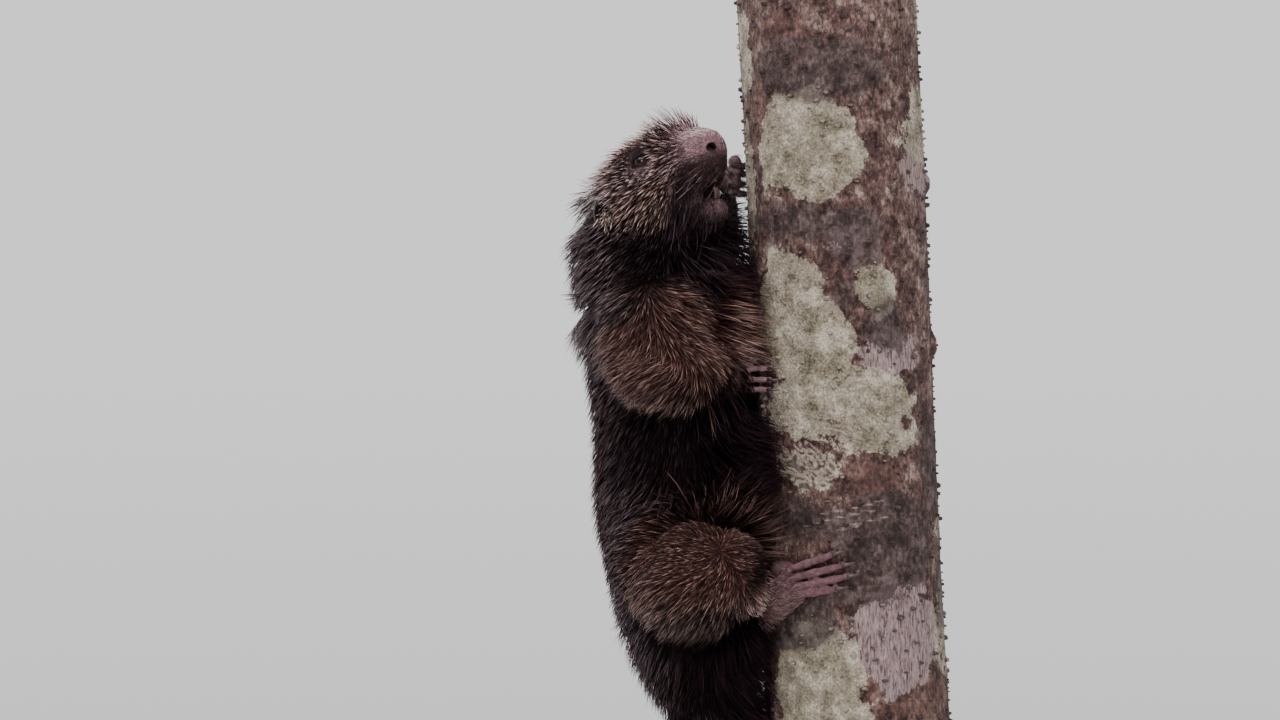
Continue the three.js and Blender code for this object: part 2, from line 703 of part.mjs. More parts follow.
// Every node of the animal, in the order in which each cuts those that come after it.
const CHEST_Z = 500;
const RUMP_Z = 386;
const TAIL_SHARES = [0.3, 0.6];
const fleshNode = (name, form, look, { cuts = [], extra = [], coat = null } = {}) => ({
  name,
  forms: [form],
  cuts,
  look,
  coat,
  core: trimmed(joined([form.solid(), ...extra]), cuts, GAP / 2),
  guard: trimmed(joined([form.grown(GAP).solid(), ...extra]), cuts, -GAP / 2),
});
const pawNode = (name) => ({
  name,
  forms: paws[name].forms,
  cuts: [],
  look: "skin",
  coat: null,
  core: paws[name].solid,
  guard: joined(paws[name].forms.map((form) => form.grown(GAP).solid())),
});
const ball = (name) => ({
  name,
  forms: [],
  cuts: [],
  look: "eye",
  coat: null,
  core: eyes[name].ball,
  guard: eyes[name].socket,
});
const earNode = (name) => ({
  name,
  forms: [],
  cuts: [],
  look: "skin",
  coat: null,
  core: ears[name].solid,
  guard: ears[name].room,
});
const bodies = [
  ball("eye_right"),
  ball("eye_left"),
  {
    name: "head",
    forms: [skull, jaw, muzzle],
    cuts: [],
    look: "coat",
    coat: coats.head,
    core: headCore(),
    guard: joined([skull.grown(GAP).solid(), jaw.grown(GAP).solid()]),
  },
  earNode("ear_right"),
  earNode("ear_left"),
  fleshNode("neck", neck, "coat", { coat: coats.neck }),
  fleshNode("torso_chest", torso, "coat", { cuts: [cutAt(CHEST_Z, Z_AXIS)], coat: coats.torso }),
  fleshNode("torso_belly", torso, "coat", {
    cuts: [cutAt(CHEST_Z, below), cutAt(RUMP_Z, Z_AXIS)],
    coat: coats.torso,
  }),
  fleshNode("torso_rump", torso, "coat", { cuts: [cutAt(RUMP_Z, below)], coat: coats.torso }),
  ...["right", "left"].flatMap((side) => [
    fleshNode(`upper_arm_${side}`, limbs[`arm_${side}`], "coat", { coat: coats[`arm_${side}`] }),
    fleshNode(`forearm_${side}`, limbs[`forearm_${side}`], "coat", { coat: coats[`forearm_${side}`] }),
    pawNode(`hand_${side}`),
    fleshNode(`thigh_${side}`, limbs[`thigh_${side}`], "coat", { coat: coats[`thigh_${side}`] }),
    fleshNode(`shin_${side}`, limbs[`shin_${side}`], "coat", { coat: coats[`shin_${side}`] }),
    pawNode(`foot_${side}`),
  ]),
  fleshNode("tail_base", tail, "coat", { cuts: [tailCut(TAIL_SHARES[0], -1)], coat: coats.tail }),
  fleshNode("tail_middle", tail, "scales", {
    cuts: [tailCut(TAIL_SHARES[0], 1), tailCut(TAIL_SHARES[1], -1)],
  }),
  fleshNode("tail_tip", tail, "scales", { cuts: [tailCut(TAIL_SHARES[1], 1)] }),
];
const trunkGuard = trunkSolid(GAP);
let filled = trunkGuard;
for (const body of bodies) {
  body.core = largestPiece(body.core.subtract(filled)).asOriginal().simplify(2 * SLIVER);
  filled = filled.add(body.guard);
}

// The spines of one node: each leaves the skin where it is clear of the bark and of every other node.
const SHARES_TESTED = [0.3, 0.5, 0.7, 0.85, 1];
const grownSpines = [];

function segmentGap(a, b) {
  const u = a.tip.clone().sub(a.root);
  const v = b.tip.clone().sub(b.root);
  const w = a.root.clone().sub(b.root);
  const uu = u.dot(u);
  const uv = u.dot(v);
  const vv = v.dot(v);
  const uw = u.dot(w);
  const vw = v.dot(w);
  const spread = uu * vv - uv * uv;
  let s = spread > 1e-9 ? THREE.MathUtils.clamp((uv * vw - vv * uw) / spread, 0, 1) : 0;
  const t = THREE.MathUtils.clamp((uv * s + vw) / vv, 0, 1);
  s = THREE.MathUtils.clamp((uv * t - uw) / uu, 0, 1);
  return w.addScaledVector(u, s).addScaledVector(v, -t).length();
}

function clearOfNeighbours(spine, body) {
  for (const share of SHARES_TESTED) {
    const point = spine.root.clone().lerp(spine.tip, share);
    const room = spine.radius * (1 - share) + SPINE_CLEARANCE + GAP;
    if (heightAboveBark(point) < room + 0.4) {
      return false;
    }
    if (point.z < TRUNK_FOOT_Z + 2 || point.z > TRUNK_TOP_Z - 2) {
      return false;
    }
    for (const other of bodies) {
      const sameForm = other !== body && other.forms.includes(spine.form);
      const acrossCut = sameForm && body.cuts.some(([at, way]) => way.dot(point) - way.dot(at) < room);
      if (other === body || (sameForm && !acrossCut)) {
        continue;
      }
      const near = sameForm ? [spine.form] : other.forms;
      if (near.some((form) => form.distanceTo(point) < room)) {
        return false;
      }
    }
    for (const ear of Object.values(ears)) {
      if (point.distanceTo(ear.root) < 10 + spine.radius) {
        return false;
      }
    }
  }
  return grownSpines.every((other) => {
    const room = other.body === body ? 0.2 : SPINE_CLEARANCE + spine.radius + other.radius;
    return segmentGap(spine, other) > room;
  });
}

function growSpines(body) {
  const { form, flow, length, lift, spacing, bare = () => false, cut = 0.5 } = body.coat;
  const grown = [];
  for (const { polar, round } of form.spreadRoots(spacing)) {
    const place = form.pointAt(polar, round);
    const outwards = form.normalAt(polar, round);
    const inLength = body.cuts.every(([at, way]) => way.dot(place) - way.dot(at) > SPINE_RADIUS + 1);
    if (!inLength || bare(place) || outwards.x > cut) {
      continue;
    }
    const away = flow(place);
    const lie = away.addScaledVector(outwards, -away.dot(outwards)).normalize();
    const raise = degrees(lift + between(-5, 5));
    const sway = outwards.clone().cross(lie).multiplyScalar(between(-0.22, 0.22));
    const way = lie.multiplyScalar(Math.cos(raise)).add(sway);
    way.addScaledVector(outwards, Math.sin(raise)).normalize();
    const reach = SPINE_LENGTH * length * between(0.88, 1.12);
    const root = place.clone().addScaledVector(way, -SPINE_ROOT_DEPTH);
    for (const share of [1, 0.75]) {
      const tip = place.clone().addScaledVector(way, reach * share);
      const spine = { root, tip, radius: SPINE_RADIUS * (length < 0.7 ? 0.85 : 1), form, body };
      const free = form.distanceTo(tip) > 2 && body.forms.every((own) => own.distanceTo(tip) > 1.5);
      if (free && clearOfNeighbours(spine, body)) {
        grownSpines.push(spine);
        grown.push(cone(root, tip, spine.radius, SPINE_SIDES));
        break;
      }
    }
  }
  return grown;
}

// The whole model, with each node about its own place.
const LOOKS = {
  coat: { color: "#4a342d", roughness: 0.8, metalness: 0 },
  skin: { color: "#6b5254", roughness: 0.7, metalness: 0 },
  scales: { color: "#3b2a28", roughness: 0.7, metalness: 0 },
  eye: { color: "#1a100c", roughness: 0.15, metalness: 0 },
  bark: { color: "#958476", roughness: 0.9, metalness: 0 },
  base: { color: "#4d3a2b", roughness: 0.5, metalness: 0 },
  rod: { color: "#5c5c5c", roughness: 0.35, metalness: 1 },
};
const model = new THREE.Group();
model.name = "porcupine";

function addNode(parent, name, solid, look, pivot) {
  const geometry = geometryOf(solid.translate(pivot.clone().negate().toArray()));
  const mesh = new THREE.Mesh(geometry, new THREE.MeshStandardMaterial(LOOKS[look]));
  mesh.name = name;
  mesh.position.copy(pivot);
  parent.add(mesh);
}

const stand = new THREE.Group();
model.add(stand);
addNode(stand, "stand_base", standBase(), "base", vector(0, 0, 0));
const rodHeight = TRUNK_FOOT_Z - BASE_HEIGHT - 2 * GAP;
for (const [name, side] of [["stand_rod_left", -1], ["stand_rod_right", 1]]) {
  const at = vector(TRUNK_FOOT_X + (side * ROD_SPACING) / 2, 0, BASE_HEIGHT + GAP);
  addNode(stand, name, standRod(rodHeight).translate(at.toArray()), "rod", at);
}
const knots = [knot(172, 520, 7), knot(176, 624, 6), knot(-96, 300, 8)];
const trunkFoot = vector(TRUNK_FOOT_X, 0, TRUNK_FOOT_Z);
addNode(stand, "perch_trunk", joined([trunkSolid(0), ...knots]), "bark", trunkFoot);

const animal = new THREE.Group();
model.add(animal);
const guards = bodies.map((body) => body.guard);
for (const body of bodies) {
  const others = joined([trunkGuard, ...guards.filter((guard) => guard !== body.guard)]);
  const spines = body.coat ? growSpines(body) : [];
  const whole = spines.length > 0 ? body.core.add(joined(spines).subtract(others)) : body.core;
  const box = whole.boundingBox();
  const pivot = vector(...box.min).add(vector(...box.max)).multiplyScalar(0.5).round();
  addNode(animal, body.name, largestPiece(whole).asOriginal().simplify(SLIVER), body.look, pivot);
}

export default model;
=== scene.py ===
"""A thin-spined porcupine on its cut trunk and display stand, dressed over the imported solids.

Shapes are worked out in millimetres in the part's own frame, and turned to metres where a mesh is
made: +Z is up the trunk, the animal holds the -X side of it, and its right side faces -Y.
"""

from __future__ import annotations

import itertools
import logging
import math
from dataclasses import dataclass, field
from enum import Enum
from typing import Any, Callable, ClassVar, Sequence

import bmesh
import bpy
import numpy as np
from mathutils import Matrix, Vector
from mathutils.bvhtree import BVHTree


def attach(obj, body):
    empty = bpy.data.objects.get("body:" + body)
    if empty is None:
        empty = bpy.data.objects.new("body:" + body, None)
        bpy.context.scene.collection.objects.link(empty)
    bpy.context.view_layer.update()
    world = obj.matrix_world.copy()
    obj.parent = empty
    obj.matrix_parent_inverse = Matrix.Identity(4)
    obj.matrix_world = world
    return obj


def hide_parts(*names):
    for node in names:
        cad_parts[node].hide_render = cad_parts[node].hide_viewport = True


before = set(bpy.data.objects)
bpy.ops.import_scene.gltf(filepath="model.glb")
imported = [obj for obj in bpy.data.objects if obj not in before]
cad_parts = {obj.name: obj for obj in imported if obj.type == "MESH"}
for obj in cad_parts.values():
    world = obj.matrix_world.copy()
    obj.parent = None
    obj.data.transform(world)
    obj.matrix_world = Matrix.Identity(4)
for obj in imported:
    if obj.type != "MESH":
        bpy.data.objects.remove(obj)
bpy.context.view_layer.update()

Array = np.ndarray
Tints = tuple[Array, Array]
Place = tuple[float, float, float]
Spot = tuple[float, float, float, float]
Way = Callable[[Array], Array]
Cover = Callable[[Array, Array], Array]
Growth = Callable[[Array], Array]
Mesh = bpy.types.Mesh
Object = bpy.types.Object
NodeTree = bpy.types.NodeTree
Socket = bpy.types.NodeSocket

MM = 0.001
X_AXIS = np.array([1.0, 0.0, 0.0])
Y_AXIS = np.array([0.0, 1.0, 0.0])
Z_AXIS = np.array([0.0, 0.0, 1.0])
UV_NAME = "OFBake"
TUFT_PATCH = 0.003
QUICK_SHARE = 1.0
GOLDEN = 0.618034

log = logging.getLogger("porcupine")


class Side(Enum):
    """The animal's own right or left."""

    RIGHT = "right"
    LEFT = "left"

    @property
    def sign(self) -> int:
        """-1 on the right, which faces -Y, and 1 on the left."""
        return -1 if self is Side.RIGHT else 1


# Numbers and vectors


def unit(vectors: Array) -> Array:
    """Vectors of length 1 along the last axis."""
    length = np.linalg.norm(vectors, axis=-1, keepdims=True)
    return vectors / np.maximum(length, 1e-9)


def norms(vectors: Array) -> Array:
    """How long each row is."""
    return np.linalg.norm(vectors, axis=1)


def dot(a: Array, b: Array) -> Array:
    """Row by row dot product."""
    return np.sum(a * b, axis=-1)


def smooth(low: float, high: float, value: Array) -> Array:
    """A soft step.

    Args:
        low: where the step starts, at 0.
        high: where it ends, at 1; it may be below low.
        value: the numbers to step.

    Returns:
        Numbers from 0 to 1.
    """
    share = np.clip((value - low) / (high - low), 0.0, 1.0)
    return share * share * (3.0 - 2.0 * share)


def mix(a: Array, b: Array, share: Array) -> Array:
    """Goes from a to b, row by row.

    Args:
        a: where share is 0.
        b: where share is 1.
        share: one number for each row.

    Returns:
        The mixed rows.
    """
    share = np.asarray(share, float)
    wide = share[..., None] if np.ndim(a) > np.ndim(share) or np.ndim(b) > np.ndim(share) else share
    return a + (b - a) * wide


def full_turn(count: int) -> Array:
    """Even angles all the way round."""
    return np.arange(count) * 2 * math.pi / count


def pairs(slow: Array, fast: Array) -> tuple[Array, Array]:
    """Every pair of numbers from two rows, the second running fastest."""
    first, second = np.meshgrid(slow, fast, indexing="ij")
    return first.ravel(), second.ravel()


def degrees_apart(a: Array, b: float) -> Array:
    """From b to a the shorter way round, from -180 to 180."""
    return (a - b + 180.0) % 360.0 - 180.0


def noise(points: Array, size: float, seed: int = 0) -> Array:
    """Smooth value noise.

    Args:
        points: places, in millimetres.
        size: how far apart its bumps are, in millimetres.
        seed: which noise.

    Returns:
        One number from -1 to 1 for each place.
    """
    cell = points / size
    low = np.floor(cell).astype(np.int64)
    part = cell - low
    part = part * part * (3.0 - 2.0 * part)
    total = np.zeros(len(points))
    for corner in itertools.product((0, 1), repeat=3):
        key = (low + np.array(corner)) * np.array([73856093, 19349663, 83492791])
        mixed = (key[:, 0] ^ key[:, 1] ^ key[:, 2] ^ (seed * 2654435761)) & 0xFFFFFFFF
        mixed = ((mixed ^ (mixed >> 13)) * 1274126177) & 0xFFFFFFFF
        mixed = mixed ^ (mixed >> 15)
        weight = np.prod(np.where(np.array(corner) == 1, part, 1.0 - part), axis=1)
        total += ((mixed & 0xFFFF) / 32767.5 - 1.0) * weight
    return total


def linear(colour: str) -> tuple[float, float, float]:
    """An sRGB hex colour as linear light."""
    parts = [int(colour.lstrip("#")[i : i + 2], 16) / 255.0 for i in (0, 2, 4)]
    return tuple(p / 12.92 if p <= 0.04045 else ((p + 0.055) / 1.055) ** 2.4 for p in parts)


def rgba(colour: str) -> tuple[float, float, float, float]:
    """The same, with full cover, for a node's socket."""
    return (*linear(colour), 1.0)


def tint_rows(tints: Sequence[str], count: int) -> list[Array]:
    """Each of some colours as one linear row for each of many hairs."""
    return [np.tile(np.array(linear(tint)), (count, 1)) for tint in tints]


def smooth_curve(points: Array, t: Array) -> Array:
    """A centripetal Catmull-Rom curve, as the solids' own curves are.

    Args:
        points: what the curve goes through.
        t: shares of the way, from 0 to 1, with the same step between any two points.

    Returns:
        One place for each share.
    """
    last = len(points) - 1
    place = np.clip(t, 0.0, 1.0) * last
    index = np.minimum(place.astype(int), last - 1)
    weight = (place - index)[:, None]
    ends = np.vstack([2 * points[0] - points[1], points, 2 * points[-1] - points[-2]])
    p0, p1, p2, p3 = (ends[index + shift] for shift in range(4))
    d0, d1, d2 = (norms(b - a)[:, None] ** 0.5 for a, b in ((p0, p1), (p1, p2), (p2, p3)))
    d1 = np.where(d1 < 1e-4, 1.0, d1)
    d0 = np.where(d0 < 1e-4, d1, d0)
    d2 = np.where(d2 < 1e-4, d1, d2)
    m1 = ((p1 - p0) / d0 - (p2 - p0) / (d0 + d1) + (p2 - p1) / d1) * d1
    m2 = ((p2 - p1) / d1 - (p3 - p1) / (d1 + d2) + (p3 - p2) / d2) * d1
    cubic = 2 * p1 - 2 * p2 + m1 + m2
    square = -3 * p1 + 3 * p2 - 2 * m1 - m2
    return p1 + weight * (m1 + weight * (square + weight * cubic))


# Meshes


def grid_faces(rows: int, columns: int, closed: bool = True) -> Array:
    """Four-cornered faces of a grid of points.

    Args:
        rows: rows of points.
        columns: points in a row.
        closed: whether the last column joins the first.

    Returns:
        One row of four indices for each face.
    """
    row = np.arange(rows - 1)[:, None]
    column = np.arange(columns if closed else columns - 1)[None, :]
    after = (column + 1) % columns
    low, high = row * columns, (row + 1) * columns
    return np.stack([low + column, low + after, high + after, high + column], axis=-1).reshape(-1, 4)


def repeated(faces: Array, count: int, each: int) -> Array:
    """The faces of one form as those of many, with this many points in each."""
    return (faces[None] + np.arange(count)[:, None, None] * each).reshape(-1, faces.shape[1])


def mesh_of(name: str, points: Array, faces: Array, scale: float = MM) -> Mesh:
    """A mesh from points and faces that all have the same number of corners.

    Args:
        name: the mesh's name.
        points: places, in millimetres.
        faces: rows of indices.
        scale: what a millimetre becomes.

    Returns:
        The new mesh, shaded smooth.
    """
    mesh = bpy.data.meshes.new(name)
    corners = faces.shape[1]
    mesh.vertices.add(len(points))
    mesh.vertices.foreach_set("co", (points * scale).astype(np.float32).ravel())
    mesh.loops.add(faces.size)
    mesh.loops.foreach_set("vertex_index", faces.astype(np.int32).ravel())
    mesh.polygons.add(len(faces))
    mesh.polygons.foreach_set("loop_start", np.arange(0, faces.size, corners, dtype=np.int32))
    mesh.polygons.foreach_set("use_smooth", np.ones(len(faces), bool))
    mesh.update(calc_edges=True)
    mesh.validate()
    return mesh


def points_of(mesh: Mesh) -> Array:
    """A mesh's points, as rows."""
    found = np.empty(len(mesh.vertices) * 3, np.float32)
    mesh.vertices.foreach_get("co", found)
    return found.reshape(-1, 3).astype(float)


def set_points(mesh: Mesh, points: Array) -> None:
    """Moves a mesh's points to these places."""
    mesh.vertices.foreach_set("co", points.astype(np.float32).ravel())
    mesh.update()


def normals_of(mesh: Mesh) -> Array:
    """The normal at each point of a mesh."""
    found = np.empty(len(mesh.vertices) * 3, np.float32)
    mesh.vertex_normals.foreach_get("vector", found)
    return found.reshape(-1, 3).astype(float)


def edges_of(mesh: Mesh) -> Array:
    """A mesh's edges, as pairs of indices."""
    found = np.empty(len(mesh.edges) * 2, np.int32)
    mesh.edges.foreach_get("vertices", found)
    return found.reshape(-1, 2)


def relax(points: Array, edges: Array, share: Array, passes: int) -> Array:
    """Draws each point towards the middle of its neighbours, and part of the way back.

    Args:
        points: the places to smooth.
        edges: which of them are joined.
        share: how far each point gives way, from 0 to 1.
        passes: how often.

    Returns:
        The smoothed places.
    """
    a, b = edges[:, 0], edges[:, 1]
    count = np.maximum(np.bincount(a, minlength=len(points)) + np.bincount(b, minlength=len(points)), 1)
    for step in range(passes * 2):
        pull = 0.6 if step % 2 == 0 else -0.3
        middle = np.empty_like(points)
        for axis in range(3):
            from_b = np.bincount(a, points[b, axis], minlength=len(points))
            from_a = np.bincount(b, points[a, axis], minlength=len(points))
            middle[:, axis] = (from_a + from_b) / count
        points = points + (middle - points) * (share * pull)[:, None]
    return points


def soften(mesh: Mesh, share: float, passes: int) -> None:
    """Relaxes all of a mesh alike."""
    points = points_of(mesh)
    set_points(mesh, relax(points, edges_of(mesh), np.full(len(points), share), passes))


def evaluated(source: Object) -> Mesh:
    """The mesh of an object with its modifiers applied; the object itself is removed."""
    bpy.context.view_layer.update()
    mesh = bpy.data.meshes.new_from_object(source.evaluated_get(bpy.context.evaluated_depsgraph_get()))
    bpy.data.objects.remove(source)
    return mesh


def loose_object(name: str, mesh: Mesh) -> Object:
    """An object in the scene that carries a mesh."""
    made = bpy.data.objects.new(name, mesh)
    bpy.context.scene.collection.objects.link(made)
    return made


def fused(name: str, shells: Sequence[tuple[Array, Array]], voxel: float) -> Mesh:
    """One closed surface round several closed shells that overlap.

    Args:
        name: the mesh's name.
        shells: points and four-cornered faces of each shell, in millimetres.
        voxel: the size of the new faces, in millimetres.

    Returns:
        The new mesh, still in millimetres.
    """
    offsets = np.cumsum([0] + [len(points) for points, _ in shells])
    points = np.vstack([shell[0] for shell in shells])
    faces = np.vstack([shell[1] + offset for shell, offset in zip(shells, offsets)])
    source = loose_object(name, mesh_of(name, points, faces, scale=1.0))
    remesh = source.modifiers.new("fuse", "REMESH")
    remesh.mode = "VOXEL"
    remesh.voxel_size = voxel
    return evaluated(source)


def united(name: str, meshes: Sequence[Mesh]) -> Mesh:
    """The union of closed meshes.

    Args:
        name: its name.
        meshes: the closed meshes.

    Returns:
        The new mesh.
    """
    source = loose_object(name, meshes[0])
    others = [loose_object(f"{name}_{index}", mesh) for index, mesh in enumerate(meshes[1:])]
    for other in others:
        union = source.modifiers.new(other.name, "BOOLEAN")
        union.operation = "UNION"
        union.solver = "MANIFOLD"
        union.object = other
    mesh = evaluated(source)
    for other in others:
        bpy.data.objects.remove(other)
    return mesh


def refined(mesh: Mesh, wanted: Callable[[Array], Array]) -> None:
    """Splits the faces of a mesh in four where the detail needs it.

    Args:
        mesh: the mesh, which is changed.
        wanted: which places, given as rows, need smaller faces.
    """
    work = bmesh.new()
    work.from_mesh(mesh)
    centres = np.array([face.calc_center_median() for face in work.faces])
    chosen = [face for face, yes in zip(work.faces, wanted(centres)) if yes]
    edges = list({edge for face in chosen for edge in face.edges})
    bmesh.ops.subdivide_edges(work, edges=edges, cuts=1, use_grid_fill=True)
    bmesh.ops.triangulate(work, faces=[face for face in work.faces if len(face.verts) > 4])
    work.to_mesh(mesh)
    work.free()


def add_numbers(mesh: Mesh, name: str, values: Array) -> None:
    """Stores one number at each point of a mesh, for its material to read."""
    mesh.attributes.new(name, "FLOAT", "POINT").data.foreach_set("value", values.astype(np.float32))


def add_colours(mesh: Mesh, name: str, colours: Array) -> None:
    """Stores one linear colour at each point of a mesh, for its material to read."""
    full = np.concatenate([np.clip(colours, 0.0, 1.0), np.ones((len(colours), 1))], axis=1)
    layer = mesh.attributes.new(name, "FLOAT_COLOR", "POINT")
    layer.data.foreach_set("color", full.astype(np.float32).ravel())


def finish_piece(name: str, mesh: Mesh, finish: "Finish", nodes: Sequence[str] = ()) -> None:
    """Puts a mesh in the scene as one piece of the model.

    Args:
        name: the piece's name.
        mesh: its mesh, in metres.
        finish: what it is made of.
        nodes: the solids that it stands for.
    """
    mesh.materials.clear()
    mesh.materials.append(finish.material())
    piece = loose_object(name, mesh)
    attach(piece, "root")
    if nodes:
        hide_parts(*nodes)
    log.info("%s: %d faces", name, len(mesh.polygons))


# Finishes


def add_node(tree: NodeTree, kind: str, links: dict[Any, Any], **settings: Any) -> bpy.types.Node:
    """Adds one shader node.

    Args:
        tree: the node tree that it goes in.
        kind: Blender's name for the kind of node, without its first part.
        links: for each input, by name or number, a socket to link from or a plain value.
        settings: the node's own properties.

    Returns:
        The new node.
    """
    made = tree.nodes.new("ShaderNode" + kind)
    for name, value in settings.items():
        setattr(made, name, value)
    for name, value in links.items():
        if isinstance(value, Socket):
            tree.links.new(value, made.inputs[name])
        else:
            made.inputs[name].default_value = value
    return made


def set_ramp(ramp: bpy.types.Node, *stops: tuple[float, str]) -> Socket:
    """Sets a colour ramp's stops, given as places and hex colours, and gives back its colour.

    Args:
        ramp: the ramp's node.
        stops: places and hex colours.

    Returns:
        Its colour.
    """
    elements = ramp.color_ramp.elements
    while len(elements) > 1:
        elements.remove(elements[-1])
    elements[0].position = stops[0][0]
    elements[0].color = rgba(stops[0][1])
    for place, colour in stops[1:]:
        elements.new(place).color = rgba(colour)
    return ramp.outputs["Color"]


def per_mm(size: float) -> float:
    """The scale of a pattern whose features are this many millimetres across."""
    return 1.0 / (size * MM)


@dataclass(frozen=True)
class Finish:
    """A surface finish: its material is made once, and then shared."""

    name: str = "plain"
    roughness: float = 0.5
    ior: float = 1.5

    def material(self) -> bpy.types.Material:
        """The finish as a Blender material."""
        found = bpy.data.materials.get(self.name)
        if found is not None:
            return found
        made = bpy.data.materials.new(self.name)
        made.use_nodes = True
        tree = made.node_tree
        tree.nodes.clear()
        place = add_node(tree, "TexCoord", {})
        patterns = self.patterns(tree, place.outputs["Object"])
        shader = add_node(tree, "BsdfPrincipled", {"Roughness": self.roughness, "IOR": self.ior, **patterns})
        add_node(tree, "OutputMaterial", {"Surface": shader.outputs[0]})
        return made

    def patterns(self, tree: NodeTree, where: Socket) -> dict[str, Any]:
        """Draws the finish's patterns; each finish has its own.

        Args:
            tree: the material's node tree.
            where: the place on the object.

        Returns:
            The shader's inputs, by name: the sockets of its patterns, and its plain values.
        """
        raise NotImplementedError


@dataclass(frozen=True)
class KeratinHair(Finish):
    """Grown keratin, round and glossy, dark at the root and drained of colour to the tip.

    The eye sees fine streaks of light along each hair, and pale tips over a dark depth.
    """

    name: str = "keratin_hair"
    roughness: float = 0.5
    ior: float = 1.55
    shade_size: float = 2.2
    pale_from: float = 0.2
    pale_to: float = 0.8
    darkest: float = 0.25
    lightest: float = 2.3
    # Melanin drinks most of the light that gets under the scales, so the sheen is dim and purplish.
    sheen: str = "#86636f"

    def patterns(self, tree: NodeTree, where: Socket) -> dict[str, Any]:
        """Mixes the root and tip colours along each hair, and varies them from hair to hair."""
        root, tip, along, chance = (
            add_node(tree, "Attribute", {}, attribute_name=name).outputs
            for name in ("root_tint", "tip_tint", "along", "chance")
        )
        grey = add_node(tree, "TexNoise", {"Vector": where, "Scale": per_mm(self.shade_size), "Detail": 1.0})
        grey = {0: grey.outputs[0], 1: 0.25, 2: along["Fac"]}
        shifted = add_node(tree, "Math", grey, operation="MULTIPLY_ADD")
        span = {"Value": shifted.outputs[0], "From Min": self.pale_from, "From Max": self.pale_to}
        share = add_node(tree, "MapRange", span, interpolation_type="SMOOTHSTEP")
        sides = {0: share.outputs[0], 6: root["Color"], 7: tip["Color"]}
        body = add_node(tree, "Mix", sides, data_type="RGBA")
        few = add_node(tree, "Math", {0: chance["Fac"], 1: 2.2}, operation="POWER")
        span = {"Value": few.outputs[0], "To Min": self.darkest, "To Max": self.lightest}
        light = add_node(tree, "MapRange", span)
        tinted = add_node(tree, "HueSaturation", {"Color": body.outputs[2], "Value": light.outputs[0]})
        sheen = {"Specular IOR Level": 0.4, "Specular Tint": rgba(self.sheen)}
        return {"Base Color": tinted.outputs[0], **sheen}


@dataclass(frozen=True)
class LivingSkin(Finish):
    """Bare mammal skin: fine crossed creases, mottled, faintly moist.

    The eye sees a soft broad sheen broken up by creases a fraction of a millimetre apart.
    """

    name: str = "living_skin"
    roughness: float = 0.55
    ior: float = 1.4
    mottle_size: float = 2.6
    crease_size: float = 1.1
    crease_height: float = 0.4

    def patterns(self, tree: NodeTree, where: Socket) -> dict[str, Any]:
        """Mottles the tint and raises the creases."""
        tint = add_node(tree, "Attribute", {}, attribute_name="skin_tint")
        spots = {"Vector": where, "Scale": per_mm(self.mottle_size), "Detail": 4.0}
        mottle = add_node(tree, "TexNoise", spots)
        span = {"Value": mottle.outputs[0], "From Min": 0.3, "From Max": 0.7, "To Min": 0.6, "To Max": 1.35}
        light = add_node(tree, "MapRange", span)
        tinted = add_node(tree, "HueSaturation", {"Color": tint.outputs["Color"], "Value": light.outputs[0]})
        # Real creases are finer than a pixel here, so they are drawn about twice as far apart.
        cells = {"Vector": where, "Scale": per_mm(self.crease_size)}
        crease = add_node(tree, "TexVoronoi", cells, feature="DISTANCE_TO_EDGE")
        depth = add_node(tree, "MapRange", {"Value": crease.outputs["Distance"], "From Max": 0.12})
        relief = {"Height": depth.outputs[0], "Strength": 0.6, "Distance": self.crease_height * MM}
        bump = add_node(tree, "Bump", relief)
        return {"Base Color": tinted.outputs[0], "Normal": bump.outputs[0], "Specular IOR Level": 0.3}


@dataclass(frozen=True)
class WetEye(Finish):
    """A wet eyeball: clear cornea over a near black iris, so that it mirrors the lights sharply."""

    name: str = "wet_eye"
    roughness: float = 0.04
    ior: float = 1.376
    pupil: str = "#050203"
    iris: str = "#2a1614"
    white: str = "#2b1a1a"
    fibre: float = 0.5

    def patterns(self, tree: NodeTree, where: Socket) -> dict[str, Any]:
        """Colours rings round the eye's axis."""
        radial = add_node(tree, "Attribute", {}, attribute_name="radial").outputs["Fac"]
        fibres = add_node(tree, "TexNoise", {"Vector": where, "Scale": per_mm(self.fibre), "Detail": 3.0})
        blurred = add_node(tree, "Math", {0: fibres.outputs[0], 1: 0.12, 2: radial}, operation="MULTIPLY_ADD")
        rings = add_node(tree, "ValToRGB", {"Fac": blurred.outputs[0]})
        stops = [(0.0, self.pupil), (0.42, self.pupil)]
        stops += [(0.52, self.iris), (0.88, self.iris), (0.97, self.white)]
        tear = {"Specular IOR Level": 0.16, "Coat Weight": 0.2, "Coat Roughness": 0.02}
        return {"Base Color": set_ramp(rings, *stops), **tear}


@dataclass(frozen=True)
class Horn(Finish):
    """Grown horn, worn smooth by climbing: waxy, paler to the tip, with fine lengthwise grain."""

    name: str = "claw_horn"
    roughness: float = 0.38
    ior: float = 1.55
    root: str = "#3c292c"
    tip: str = "#4c3b3c"
    grain: float = 0.5

    def patterns(self, tree: NodeTree, where: Socket) -> dict[str, Any]:
        """Goes from the root's colour to the tip's, with a grain."""
        along = add_node(tree, "Attribute", {}, attribute_name="along").outputs["Fac"]
        grain = add_node(tree, "TexNoise", {"Vector": where, "Scale": per_mm(self.grain), "Detail": 3.0})
        shifted = add_node(tree, "Math", {0: grain.outputs[0], 1: 0.35, 2: along}, operation="MULTIPLY_ADD")
        ramp = add_node(tree, "ValToRGB", {"Fac": shifted.outputs[0]})
        colour = set_ramp(ramp, (0.15, self.root), (0.95, self.tip))
        bump = add_node(tree, "Bump", {"Height": grain.outputs[0], "Strength": 0.3, "Distance": 0.1 * MM})
        return {"Base Color": colour, "Normal": bump.outputs[0]}


